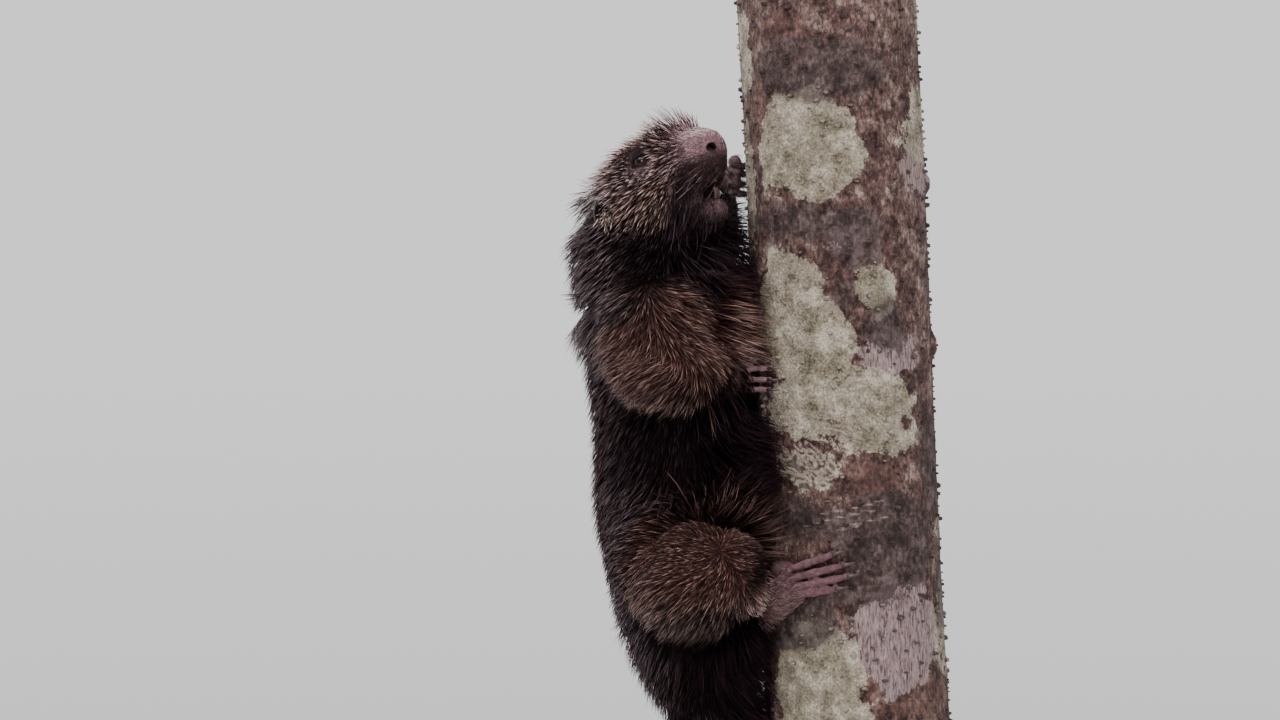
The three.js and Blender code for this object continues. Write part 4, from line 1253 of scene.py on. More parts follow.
@dataclass
class PawShape:
    """A hand or a foot: places are angle round the trunk, height and lift off the bark."""

    side: Side
    heel: Place
    knuckles: Place
    palm_size: Place
    pad: Place
    pad_radii: Place
    digits: tuple[tuple[tuple[float, float], tuple[float, float]], ...]
    radius: float
    root_lift: float
    claw_length: float = 6.0
    gap: float = 0.35
    # How thick a digit is against its radius, at shares of the way along it.
    swelling: ClassVar[tuple[tuple[float, float], ...]] = (
        *((0.0, 1.3), (0.18, 1.1), (0.33, 1.2), (0.5, 0.95)),
        *((0.66, 1.1), (0.82, 0.9), (1.0, 0.8)),
    )
    # How high each ridge over the bones runs above the bark, from its start to the toe.
    ridges: tuple[float, ...] = ()
    name: str = "paw"

    def turned(self, angle: Array) -> Array:
        """The angle on this side of the trunk."""
        return angle * -self.side.sign

    def palm(self, tree: Tree) -> Form:
        """The palm or the sole."""
        heel, knuckles = np.array(self.heel), np.array(self.knuckles)
        heel_half, palm_half, thick = self.palm_size
        rows = [(heel, heel_half, thick), ((heel + knuckles) / 2, palm_half * 0.95, thick)]
        rows.append((knuckles, palm_half, thick * 0.8))
        stations = [(tree.at(self.turned(at[0]), at[1], at[2]), width, depth) for at, width, depth in rows]
        return Form(f"{self.name}_palm", stations, Z_AXIS, 0.35)

    def digit(self, tree: Tree, index: int) -> Form:
        """One finger or toe, with swollen knuckles and a padded tip.

        Args:
            tree: the trunk that it holds.
            index: which digit.

        Returns:
            Its form.
        """
        (root_angle, root_z), (tip_angle, tip_z) = self.digits[index]
        stations = []
        for share, swell in self.swelling:
            angle = root_angle + (tip_angle - root_angle) * share
            z = root_z + (tip_z - root_z) * share
            lift = self.radius * 1.1 + self.gap + (self.root_lift - self.radius) * (1 - share) ** 2
            size = self.radius * swell
            stations.append((tree.at(self.turned(angle), z, lift), size, size * 0.95))
        return Form(f"{self.name}_digit_{index}", stations, Z_AXIS, 0.35, 20)

    def pads(self, tree: Tree) -> list[tuple[Array, Array]]:
        """The pad at the thumb's side, and a soft pad under the tip of each digit."""
        middle = tree.at(self.turned(self.pad[0]), self.pad[1], self.pad[2])
        shells = [ball_shell(middle, self.pad_radii, np.eye(3))]
        for (_, _), (tip_angle, tip_z) in self.digits:
            at = tree.at(self.turned(tip_angle - 2.5), tip_z, self.radius * 0.95 + self.gap)
            shells.append(ball_shell(at, (self.radius * 1.05,) * 3, np.eye(3)))
        return shells

    def shells(self, tree: Tree) -> list[tuple[Array, Array]]:
        """All of it as shells that overlap."""
        forms = [self.palm(tree)] + [self.digit(tree, index) for index in range(len(self.digits))]
        forms += [self.ridge(tree, index) for index in range(len(self.digits) if self.ridges else 0)]
        return [form.shell(40, 24) for form in forms] + self.pads(tree)

    def ridge(self, tree: Tree, index: int) -> Form:
        """The ridge over a toe's bone, from the middle of the foot's back to the toe's root.

        Args:
            tree: the trunk that it holds.
            index: which digit.

        Returns:
            Its form.
        """
        (root_angle, root_z), _ = self.digits[index]
        heel_angle, heel_z, _ = self.heel
        stations = []
        for share, lift, size in zip((0.35, 0.7, 1.08), self.ridges, (0.8, 1.05, 1.1)):
            angle = heel_angle + (root_angle - heel_angle) * share
            z = heel_z + (root_z - heel_z) * share
            stations.append((tree.at(self.turned(angle), z, lift), self.radius * size, self.radius * size))
        return Form(f"{self.name}_ridge_{index}", stations, Z_AXIS, 0.35, 20)

    def claw_path(self, tree: Tree, index: int) -> tuple[Array, Array]:
        """The middle line of a claw and its radius along it.

        Args:
            tree: the trunk that it holds.
            index: which digit.

        Returns:
            Places and radii from the root to the tip.
        """
        (root_angle, root_z), (tip_angle, tip_z) = self.digits[index]
        slope = (tip_z - root_z) / (tip_angle - root_angle)
        turn = self.claw_length / (tree.radius * math.pi / 180.0)
        share = np.linspace(0.0, 1.0, 12)
        angle = tip_angle - 2.2 + (turn + 2.2) * share
        z = tip_z + slope * (angle - tip_angle)
        top = self.radius * 1.75 + self.gap
        lift = top * (1.0 - share**1.8) + 0.5 * share + 0.9 * np.sin(math.pi * share)
        points = tree.at(self.turned(angle), z, lift)
        return points, 1.0 * (1.0 - share) ** 0.7 + 0.1


def stations_of(rows: Sequence[Sequence[float]]) -> list[tuple[Place, float, float]]:
    """Stations from rows of a place's three numbers, the half width and the half depth."""
    return [((x, y, z), width, depth) for x, y, z, width, depth in rows]


@dataclass
class Anatomy:
    """Every form of the animal, in the photo's pose, with the same sizes as the solids."""

    tree: Tree
    head: HeadFrame = field(default_factory=HeadFrame)
    eye_radius: float = 5.9
    # An eyeball's middle: forward, aside and up in the head's frame.
    eye_place: Place = (43.5, 21.8, 16.8)
    hand_z: float = 500.0
    left_hand_z: float = 628.0
    foot_z: float = 360.0
    left_foot_z: float = 338.0

    def __post_init__(self) -> None:
        """Builds the forms."""
        head, tree = self.head, self.tree
        left = head.way(0, 1, 0)
        skull = [(-14, 3, 24, 18), (4, 0, 29, 26.5), (24, 0.5, 31.5, 30), (44, 3, 28.5, 29)]
        skull += [(62, 8, 22.5, 24.5), (76, 11.5, 18.5, 19.5), (91.5, 11, 14.5, 12.5)]
        jaw = [(16, -16, 20, 14), (42, -27, 17.5, 14), (59, -29, 13.5, 11)]
        jaw += [(69, -26.5, 9.5, 8), (75.2, -24.8, 7, 6)]
        muzzle = [(46, -2, 23, 21), (62, -0.5, 19, 16), (75, 1, 15.5, 12.5), (87, 1, 13, 9.5)]
        self.skull = Form("skull", [head.station(*row) for row in skull], left, 0.42)
        self.jaw = Form("jaw", [head.station(*row) for row in jaw], left, 0.42)
        self.muzzle = Form("muzzle", [head.station(*row) for row in muzzle], left, 0.4)
        neck = [(-131, -2, 614, 26, 26), (-124, -2, 602, 32, 33), (-115, 0, 586, 37, 40)]
        neck += [(-106, 0, 566, 41, 47), (-102, 0, 548, 42, 48)]
        torso = [(-106, 0, 584, 37, 43), (-100, 0, 545, 46, 50), (-93, 0, 490, 48, 48.5)]
        torso += [(-90, 0, 435, 52, 47.5), (-87, 0, 386, 50, 46), (-81, 0, 348, 45, 40)]
        torso += [(-77, 0, 308, 32, 31), (-73, 0, 284, 24, 24)]
        nape = [(-129, 2, 597, 22, 17), (-128.5, 2, 609, 26, 20), (-125, 2, 620, 22, 17)]
        hang = [(-75, 0, 300, 27, 27), (-69, 0, 264, 20, 20), (-60, -1, 230, 15.5, 15.5)]
        wrap = [(4, 197, 13, 12.5), (14, 168, 11, 10.5), (34, 142, 9.5, 9)]
        wrap += [(60, 123, 8, 7.5), (88, 112, 6.6, 6.1), (112, 108, 5, 4.5)]
        wrapped = [(tree.at(angle, z, lift), size, size) for angle, z, lift, size in wrap]
        self.neck = Form("neck", stations_of(neck), bluntness=0.4)
        self.nape = Form("nape", stations_of(nape), bluntness=0.5)
        self.torso = Form("torso", stations_of(torso), bluntness=0.34, samples=60)
        along = unit(np.array([0.2, 1.0, 0.1]))
        self.tail = Form("tail", stations_of(hang) + wrapped, along, 0.25, samples=90)
        self.limbs = self.make_limbs()
        self.paws = {
            "hand_right": self.hand(Side.RIGHT, self.hand_z),
            "hand_left": self.hand(Side.LEFT, self.left_hand_z),
            "foot_right": self.foot(Side.RIGHT, self.foot_z),
            "foot_left": self.foot(Side.LEFT, self.left_foot_z),
        }

    @staticmethod
    def make_limbs() -> dict[str, Form]:
        """The two lengths of each limb."""
        rows = {
            "arm_right": [
                *((-104, -22, 560, 20, 27), (-104, -41, 540, 20, 30)),
                *((-108, -52, 514, 17, 26), (-110, -54, 494, 12, 17)),
            ],
            "forearm_right": [
                *((-118, -51, 501, 15, 19), (-94, -56, 505, 15, 22)),
                *((-72, -49, 503, 11.5, 16), (-57, -38, 500, 8.5, 11.5)),
            ],
            "arm_left": [
                *((-108, 24, 562, 20, 26), (-92, 42, 562, 19, 22)),
                *((-76, 51, 564, 15, 17), (-66, 53, 567, 12, 13)),
            ],
            "forearm_left": [
                *((-67, 54, 557, 15, 16), (-65, 48, 580, 14, 15)),
                *((-59, 37, 605, 10.5, 11.5), (-55, 31, 619, 8, 9)),
            ],
        }
        # The legs differ only in their side and their heights.
        legs = {
            "thigh": ((-94, 24, 24, 34), (-83, 46, 24, 33), (-70, 63, 21, 27), (-62, 70, 15, 19)),
            "shin": ((-66, 70, 15, 18), (-57, 64, 17, 20), (-48, 51, 12.5, 15), (-41, 42, 10, 11.5)),
        }
        heights = {
            **{"thigh_right": (350, 368, 386, 394), "shin_right": (397, 382, 365, 354)},
            **{"thigh_left": (334, 350, 365, 372), "shin_left": (375, 360, 343, 332)},
        }
        for name, levels in heights.items():
            part, side = name.split("_")
            sign = Side(side).sign
            rows[name] = [(x, sign * y, z, *size) for (x, y, *size), z in zip(legs[part], levels)]
        sides = {"forearm_left": X_AXIS}
        return {name: Form(name, stations_of(row), sides.get(name, Y_AXIS)) for name, row in rows.items()}

    def hand(self, side: Side, z: float) -> PawShape:
        """A hand at a height on the trunk.

        Args:
            side: which side.
            z: its height on the trunk.

        Returns:
            The hand.
        """
        digits = (
            *(((19, z + 9.5), (29, z + 9)), ((16, z + 4.2), (40, z + 4.8))),
            *(((15, z - 2.4), (39, z - 2.6)), ((16, z - 8.6), (38, z - 9))),
        )
        palm = (22, z, 22), (20, z - 0.5, 7), (8, 9.5, 5.5)
        pad = (22, z + 12, 10.5), (4.5, 4, 4.5)
        return PawShape(side, *palm, *pad, digits, 1.9, 13.0, name=f"hand_{side.value}")

    def foot(self, side: Side, z: float) -> PawShape:
        """A foot at a height on the trunk.

        Args:
            side: which side.
            z: its height on the trunk.

        Returns:
            The foot.
        """
        digits = (
            *(((50, z + 18), (78, z + 28.5)), ((54, z + 13), (83.5, z + 21.5))),
            *(((56, z + 7.5), (86, z + 14.5)), ((55, z + 2), (79, z + 6.5))),
        )
        sole = (27, z - 12, 12), (55, z + 9.5, 5.0), (10.5, 12.0, 6.5)
        pad = (43, z + 17, 5.5), (8.5, 5, 6)
        ridges = (15.0, 11.8, 7.8)
        return PawShape(side, *sole, *pad, digits, 2.4, 7.5, ridges=ridges, name=f"foot_{side.value}")

    def eye_centre(self, side: Side) -> Array:
        """The middle of an eyeball."""
        forward, aside, up = self.eye_place
        return self.head.place(forward, side.sign * aside, up)

    def body_forms(self) -> list[Form]:
        """The forms that carry the long coat."""
        return [self.neck, self.torso, self.tail, *self.limbs.values()]

    def all_forms(self) -> list[Form]:
        """Every form but the paws."""
        return [self.skull, self.jaw, self.muzzle, *self.body_forms()]


# What covers the animal


@dataclass
class Markings:
    """The colours of skin and coat, by place. The same tints serve both."""

    anatomy: Anatomy
    under: str = "#120909"
    belly: str = "#060304"
    belly_tip: str = "#1e1218"
    chest_tip: str = "#3c2426"
    back: str = "#0e060a"
    back_tip: str = "#76686e"
    flank_tip: str = "#5d4b53"
    limb: str = "#3e2523"
    limb_tip: str = "#8a6d67"
    fringe_tip: str = "#907d79"
    crown: str = "#33191a"
    crown_tip: str = "#dcbfba"
    temple_tip: str = "#d8c9ce"
    cheek: str = "#1e0d0e"
    cheek_tip: str = "#bd9f9a"
    jowl: str = "#1d1317"
    jowl_tip: str = "#4d3f45"
    # The upper lid's and the brow's dark colours are painted shade of the fold over the eye.
    eyelid: str = "#35282f"
    eyelid_low: str = "#745c66"
    eye_corner: str = "#b3969f"
    eyelid_tip: str = "#c9b6bd"
    brow_tip: str = "#54434c"
    nose: str = "#795b62"
    # The nose's tip colour, laid on the skin at the top of the dome, is a painted highlight.
    nose_tip: str = "#c4abae"
    muzzle: str = "#2c1b1d"
    muzzle_tip: str = "#58444a"
    chin: str = "#644c52"
    chin_tip: str = "#7a686d"
    lip: str = "#8f7478"
    # The mouth's near black is painted shade inside the open mouth.
    mouth: str = "#1c0a0b"
    # The rim colour darkens the lids' margins, and as painted shade the nostril pits.
    rim: str = "#0c0607"
    paw: str = "#5d4148"
    digit: str = "#6f5058"
    hand: str = "#9d7a83"
    forearm_tip: str = "#7b6c71"
    ankle: str = "#7a595a"
    ankle_tip: str = "#d6bcb8"
    tail: str = "#2e211f"

    def tone(self, name: str) -> Array:
        """One of the colours, as a linear row."""
        return np.array(linear(getattr(self, name)))[None]

    def laid(self, tints: Tints, name: str, share: Array) -> Tints:
        """Lays the root and tip colours of one name over two tints."""
        root, tip = tints
        return mix(root, self.tone(name), share), mix(tip, self.tone(name + "_tip"), share)

    def coat(self, name: str, points: Array) -> Tints:
        """The root and tip colours of hairs.

        Args:
            name: the form they grow from.
            points: their roots.

        Returns:
            Two rows of linear colours for each root.
        """
        if name in ("skull", "jaw", "muzzle"):
            return self.face(points)
        if name in self.anatomy.limbs:
            return self.limb_coat(name, points)
        if name == "tail":
            dark = smooth(-86.0, -58.0, points[:, 0]) * smooth(250.0, 270.0, points[:, 2])
            return self.laid((self.tone("back"), self.tone("back_tip")), "belly", dark)
        return self.browned(points, self.body(points), False)

    def face(self, points: Array) -> Tints:
        """The head's root and tip colours.

        Args:
            points: places, in millimetres.

        Returns:
            Two rows of linear colours for each place.
        """
        local = self.anatomy.head.local(points)
        forward, _, up = local.T
        crown = smooth(2.0, 22.0, up)
        root, tip = self.laid((self.tone("cheek"), self.tone("cheek_tip")), "crown", crown)
        tip = mix(tip, self.tone("temple_tip"), smooth(34.0, 12.0, forward) * smooth(-6.0, 10.0, up))
        front = smooth(62.0, 72.0, forward)
        tints = self.laid((root, tip), "jowl", self.jowled(local))
        tints = self.laid(tints, "muzzle", front)
        root, tip = self.laid(tints, "nose", front * smooth(1.0, 10.0, up))
        for side in Side:
            # Pale below and behind the eye, and a dark brow before it, which is painted shade of the fold
            # over the eye.
            q = (points - self.anatomy.eye_centre(side)) @ eye_axes(self.anatomy.head, side)
            low = smooth(4.0, -2.0, q[:, 1] + 0.6 * q[:, 0])
            lid = mix(self.tone("brow_tip"), self.tone("eyelid_tip"), low)
            tip = mix(tip, lid, 0.65 * smooth(17.0, 10.0, norms(q)))
        chin = smooth(58.0, 66.0, forward) * smooth(-14.0, -18.0, up) * smooth(-35.0, -28.0, up)
        root, tip = mix(root, self.tone("chin"), 0.6 * chin), mix(tip, self.tone("chin_tip"), chin)
        # Darker under the jaw: the throat's dark fur, and painted shade under the head.
        throat = smooth(-10.0, -27.0, up + 0.16 * forward) * smooth(76.0, 60.0, forward)
        return self.laid((root, tip), "belly", throat)

    def limb_coat(self, name: str, points: Array) -> Tints:
        """An arm's or a leg's root and tip colours.

        Args:
            name: its name.
            points: places, in millimetres.

        Returns:
            Two rows of linear colours for each place.
        """
        root, tip = self.body(points)
        if "arm_left" in name:
            # Its inner side, which the photo shows, is dark, and grey at the wrist.
            tip = mix(tip, self.tone("forearm_tip"), 0.8 * smooth(565.0, 595.0, points[:, 2]))
            return self.laid((root, tip), "limb", smooth(44.0, 58.0, points[:, 1]))
        tints = self.browned(points, (root, tip), True)
        tints = self.laid(tints, "belly", smooth(34.0, 20.0, np.abs(points[:, 1])))
        if not name.startswith("shin"):
            return tints
        heel = self.anatomy.limbs[name].path[-1] + np.array([-3.0, 0.0, 3.0])
        ankle = smooth(27.0, 15.0, norms((points - heel) * [1, 0.7, 1]))
        return self.laid(tints, "ankle", ankle)

    def body(self, points: Array) -> Tints:
        """The body's root and tip colours, without the limbs' brown.

        Args:
            points: places, in millimetres.

        Returns:
            Two rows of linear colours for each place.
        """
        x, z = points[:, 0], points[:, 2]
        cloud = noise(points, 26.0, 41)
        # The belly is near black. The hollow between the arm and the leg, and the throat between the neck and
        # the arm, are darkened too: partly black fur and partly painted shade under the arm.
        edge = -92.0 + 8.0 * noise(points, 18.0, 42)
        belly = smooth(edge - 14.0, edge + 14.0, x)
        hollow = smooth(-138.0, -112.0, x) * smooth(424.0, 446.0, z) * smooth(505.0, 480.0, z)
        throat = smooth(-132.0, -112.0, x) * smooth(551.0, 561.0, z)
        dark = np.maximum(belly, np.maximum(0.85 * hollow, 0.9 * throat))
        flank = smooth(-152.0, -126.0, x + 5.0 * cloud) * smooth(540.0, 500.0, z)
        tip = mix(self.tone("back_tip"), self.tone("flank_tip"), 0.75 * flank)
        tip = mix(tip, self.tone("limb_tip"), np.clip(0.1 + 0.25 * cloud, 0, 1))
        chest = smooth(-128.0, -112.0, x) * smooth(508.0, 520.0, z) * smooth(566.0, 552.0, z)
        low = mix(self.tone("belly_tip"), self.tone("chest_tip"), chest)
        return mix(self.tone("back"), self.tone("belly"), dark), mix(tip, low, dark)

    @staticmethod
    def jowled(local: Array) -> Array:
        """How much of the dark hanging jowl is at places in the head's frame."""
        forward, _, up = local.T
        under = smooth(-6.0, 6.0, (forward - 55.0) - 0.95 * (up + 7.0))
        return under * smooth(24.0, 32.0, forward) * smooth(74.0, 68.0, forward) * smooth(10.0, 0.0, up)

    def browned(self, points: Array, tints: Tints, limb: bool) -> Tints:
        """Lays the limbs' brown over two tints, in an oval over the arm and one over the leg.

        Args:
            points: the roots of hairs.
            tints: their root and tip colours.
            limb: whether they grow on a limb, where the ovals are a little wider.

        Returns:
            The root and tip colours with the brown, and with pale ends along its lower edge.
        """
        root, tip = tints
        x, y, z = points.T
        torn = 0.2 * noise(points, 14.0, 44) + (0.0 if limb else 0.14)
        arm = np.hypot((x + 90.0) / 39.0, (z - 525.0) / 35.0) + torn + 4.0 * smooth(-20.0, 0.0, y)
        z_leg = z + 19.0 * smooth(-10.0, 10.0, y)
        leg = np.hypot((x + 84.0) / 42.0, (z_leg - 388.0) / 34.0) + torn
        brown = smooth(1.25, 0.7, np.minimum(arm, leg))
        under_arm = smooth(505.0, 488.0, z) * smooth(1.5, 1.1, arm)
        under_leg = smooth(374.0, 352.0, z_leg) * smooth(1.6, 1.2, leg)
        edge = np.clip(under_arm + under_leg, 0.0, 1.0) * limb
        dim = 0.6 * smooth(396.0, 410.0, z_leg) * (z_leg < 450.0)
        root = mix(root, self.tone("limb"), brown * (1.0 - 0.6 * edge) * (1.0 - dim))
        brown_tip = mix(self.tone("limb_tip"), self.tone("limb"), dim)
        return root, mix(mix(tip, brown_tip, brown), self.tone("fringe_tip"), 0.4 * edge)

    def skin(self, points: Array) -> Array:
        """The colour of the skin at places on it.

        Args:
            points: places, in millimetres.

        Returns:
            One row of linear colour for each place.
        """
        anatomy, head = self.anatomy, self.anatomy.head
        local = head.local(points)
        forward, left, up = local[:, 0], local[:, 1], local[:, 2]
        on_head = smooth(6.0, 0.0, anatomy.skull.outside(points))
        on_muzzle = smooth(8.0, 3.0, np.minimum(anatomy.muzzle.outside(points), anatomy.jaw.outside(points)))
        colour = mix(self.tone("under"), self.tone("cheek"), on_head)
        front = smooth(46.0, 66.0, forward) * np.maximum(on_head, on_muzzle)
        colour = mix(colour, self.tone("muzzle"), front)
        dome = smooth(64.0, 76.0, forward) * smooth(-1.0, 9.0, up + 1.5 * noise(points, 6.0, 43)) * front
        colour = mix(colour, self.tone("nose"), dome)
        # Paler towards the top of the nose dome: a painted highlight.
        colour = mix(colour, self.tone("nose_tip"), 0.8 * dome * smooth(14.0, 25.0, up))
        chin = smooth(58.0, 70.0, forward) * smooth(-15.0, -20.0, up) * front
        colour = mix(colour, self.tone("chin"), chin)
        # Darker under the jaw: dark throat skin, and painted shade under the head.
        throat = smooth(-21.0, -31.0, up + 0.1 * forward) * np.maximum(on_head, on_muzzle)
        colour = mix(colour, self.tone("under"), throat)
        inside = np.sqrt(((forward - 74) / 10.0) ** 2 + (left / 7.5) ** 2 + ((up + 13.4) / 4.6) ** 2)
        rim = smooth(1.7, 1.35, inside) * smooth(-16.5, -18.0, up)
        colour = mix(colour, self.tone("lip"), 0.7 * rim)
        # Dark inside the open mouth: painted shade.
        colour = mix(colour, self.tone("mouth"), smooth(1.2, 0.95, inside))
        for side in Side:
            q = (points - anatomy.eye_centre(side)) @ eye_axes(head, side)
            away = np.where(q[:, 2] > 0.0, np.hypot(q[:, 0] / 5.6, q[:, 1] / 4.4), 9.0)
            # Dark on the upper lid, as painted shade under the brow's fold, and pale on the lower lid.
            lid = mix(self.tone("eyelid"), self.tone("eyelid_low"), smooth(1.0, -2.5, q[:, 1]))
            corner = np.exp(-((q[:, 0] - 6.6) ** 2 + (q[:, 1] + 2.0) ** 2) / 5.0)
            lid = mix(lid, self.tone("eye_corner"), corner)
            colour = mix(colour, lid, smooth(2.4, 1.7, away))
            colour = mix(colour, self.tone("rim"), smooth(1.3, 1.08, away) * (1.0 - 0.8 * corner))
            # Each nostril's pit is darkened: painted shade.
            nostril = norms(local - head.nostril(side))
            colour = mix(colour, self.tone("rim"), smooth(4.6, 2.8, nostril))
        for paw in anatomy.paws.values():
            palm = paw.palm(anatomy.tree)
            furred = self.tone("chin" if paw.name == "hand_left" else "paw")
            colour = mix(colour, furred, smooth(7.0, 2.0, palm.outside(points)))
            if "foot" in paw.name:
                heel = norms(points - palm.path[0])
                colour = mix(colour, self.tone("ankle"), smooth(24.0, 10.0, heel))
            for index in range(len(paw.digits)):
                digit = paw.digit(anatomy.tree, index)
                # The left hand's digits take the darker chin tone: painted shade, as that hand lies in the
                # shadow behind the chin.
                bare = self.tone({"hand_left": "chin", "hand_right": "hand"}.get(paw.name, "digit"))
                colour = mix(colour, bare, smooth(1.6, 0.4, digit.outside(points)))
                # Mottled darker and lighter by noise near each digit.
                close = smooth(7.0, 2.0, digit.outside(points))
                blotch = 0.5 * noise(points, 5.0, 45) + 0.4 * noise(points, 1.8, 46)
                colour = colour * (1.0 + close * blotch / len(paw.digits))[:, None]
        tail = smooth(262.0, 236.0, points[:, 2]) * smooth(6.0, 2.0, anatomy.tail.outside(points))
        return mix(colour, self.tone("tail"), tail)


@dataclass
class Skin:
    """One closed skin over the whole animal, with the face worked into it."""

    anatomy: Anatomy
    markings: Markings
    body_voxel: float = 2.2
    head_voxel: float = 0.97
    paw_voxel: float = 0.74
    nodes: tuple[str, ...] = (
        *("head", "neck", "torso_chest", "torso_belly", "torso_rump", "tail_base", "tail_middle", "tail_tip"),
        *("upper_arm_right", "forearm_right", "hand_right", "upper_arm_left", "forearm_left", "hand_left"),
        *("thigh_right", "shin_right", "foot_right", "thigh_left", "shin_left", "foot_left"),
    )

    def head_mesh(self) -> Mesh:
        """The head's forms fused and softened, before the face is worked in."""
        anatomy, head = self.anatomy, self.anatomy.head
        shells = [form.shell() for form in (anatomy.skull, anatomy.jaw, anatomy.muzzle)]
        # The nose, the brow and the bridge, and on each side the eyelids, the brow's end and the cheek.
        swells = [((81, 0, 10), (10.7, 13, 14)), ((50, 0, 11), (27, 22, 23.5)), ((66, 0, 13), (17, 18, 20.5))]
        for side in Side:
            shells.append(ball_shell(anatomy.eye_centre(side), (9.4, 8.2, 4.4), eye_axes(head, side)))
            swells.append(((40, side.sign * 19, 26), (13, 6, 5)))
            swells.append(((58, side.sign * 13, -12), (13, 7, 9)))
        shells += [ball_shell(head.place(*place), radii, head.ways) for place, radii in swells]
        mesh = fused("head_skin", shells, self.head_voxel)
        points, edges = points_of(mesh), edges_of(mesh)
        local = head.local(points)
        mouth = norms((local - np.array([78, 0, -15])) / np.array([14, 13, 9]))
        points = relax(points, edges, 0.25 + 0.75 * smooth(0.7, 1.3, mouth), 14)
        set_points(mesh, points)
        for reach in (1.0, 0.72):
            refined(mesh, lambda centres: self.detailed(centres, reach))
        soften(mesh, 0.8, 3)
        return mesh

    def detailed(self, points: Array, reach: float) -> Array:
        """Whether places are near the eyes, the nostrils or the mouth, where faces are made smaller."""
        head = self.anatomy.head
        local = head.local(points)
        near = norms((local - np.array([80, 0, -14])) / np.array([14, 13, 10])) < reach
        for side in Side:
            near |= norms(points - self.anatomy.eye_centre(side)) < 10.5 * reach
            near |= norms(local - head.nostril(side)) < 7.5 * reach
        return near

    def sculpt(self, mesh: Mesh) -> None:
        """Works the nostrils, the mouth, the lips, the folds and the lids into the head's skin.

        Args:
            mesh: the mesh, which is changed.
        """
        head = self.anatomy.head
        local = head.local(points_of(mesh))
        normals = normals_of(mesh) @ head.ways
        local = self.folded(local, normals)
        local = self.mouth(local, normals)
        for side in Side:
            local = self.nostril(local, side)
        points = head.out(local)
        for side in Side:
            points = self.lids(points, side)
        set_points(mesh, points)

    @staticmethod
    def folded(local: Array, normals: Array) -> Array:
        """Fine folds over the muzzle, a crease behind the nose and the groove under it.

        Args:
            local: places in the head's frame.
            normals: the ways out there.

        Returns:
            The moved places.
        """
        forward, left, up = local[:, 0], local[:, 1], local[:, 2]
        bare = smooth(52.0, 70.0, forward)
        fine = 0.3 * noise(local * np.array([1.0, 1.0, 1.6]), 3.2, 51) + 0.16 * noise(local, 1.3, 52)
        ring = -0.45 * np.exp(-(((forward - 79.0 + 0.15 * up) / 1.4) ** 2)) * smooth(2.0, 9.0, up)
        groove = -0.9 * np.exp(-((left / 1.1) ** 2)) * smooth(82.0, 88.0, forward) * smooth(7.0, 3.0, up)
        rows = 0.35 * np.abs(np.sin(up * 0.9)) * smooth(5.0, 9.0, np.abs(left)) * smooth(2, -2, up)
        rows = rows * smooth(84, 78, forward) * smooth(62, 70, forward)
        return local + normals * (bare * (fine + ring + groove + rows))[:, None]

    @staticmethod
    def mouth(local: Array, normals: Array) -> Array:
        """Hollows the open mouth and rolls both lips.

        Args:
            local: places in the head's frame.
            normals: the ways out there.

        Returns:
            The moved places.
        """
        upper = [(67, 12, -13.5), (74, 10.5, -11), (80, 6, -9), (82, 0, -8)]
        lower = [(63, 10.5, -15.5), (69.5, 8.5, -17.0), (73.5, 5, -17.4), (75.2, 0, -17.6)]
        moved = local.copy()
        for half, size in ((upper, 1.1), (lower, 1.5)):
            edge = np.array(half + [(x, -y, z) for x, y, z in reversed(half[:-1])], float)
            line = smooth_curve(edge, np.linspace(0, 1, 60))
            away = np.linalg.norm(moved[:, None, :] - line[None], axis=2).min(axis=1)
            roll = size * np.exp(-((away / 2.1) ** 2)) - 0.5 * np.exp(-(((away - 4.0) / 1.1) ** 2))
            moved = moved + normals * roll[:, None]
        rise = (moved[:, 2] + 13.6 + 0.12 * (moved[:, 0] - 77)) / 4.9
        inside = np.hypot(moved[:, 1] / 7.6, rise)
        deep = 74.0 - 12.0 * np.sqrt(np.clip(1.0 - inside**2, 0.0, 1.0))
        hit = (inside < 1.0) & (moved[:, 0] > deep) & (moved[:, 0] < 92.0)
        moved[:, 0] = np.where(hit, deep, moved[:, 0])
        return moved

    def nostril(self, local: Array, side: Side) -> Array:
        """Presses one nostril in, slanted and comma-shaped, with a raised rim and a wing behind it.

        Args:
            local: places in the head's frame.
            side: which side.

        Returns:
            The moved places.
        """
        turn = math.radians(42.0 * side.sign)
        inwards = -np.array([math.cos(turn), math.sin(turn), 0.0])
        across = np.array([-math.sin(turn), math.cos(turn), 0.0])
        offset = local - self.anatomy.head.nostril(side)
        x = offset @ across * side.sign
        y = offset[:, 2]
        x, y = x * 0.9 + y * 0.35, y - 0.28 * x + 0.05 * x**2
        away = np.sqrt((x / 3.3) ** 2 + (y / 2.3) ** 2)
        front = (offset @ inwards < 6.0) & (offset @ inwards > -8.0)
        pit = 6.5 * np.sqrt(np.clip(1.0 - away**2, 0.0, 1.0))
        rim = -0.75 * np.exp(-(((away - 1.35) / 0.28) ** 2))
        wing = 0.6 * np.exp(-(((away - 2.3) / 0.3) ** 2)) * smooth(0.0, 2.0, x)
        return local + inwards * ((pit + rim + wing) * front)[:, None]

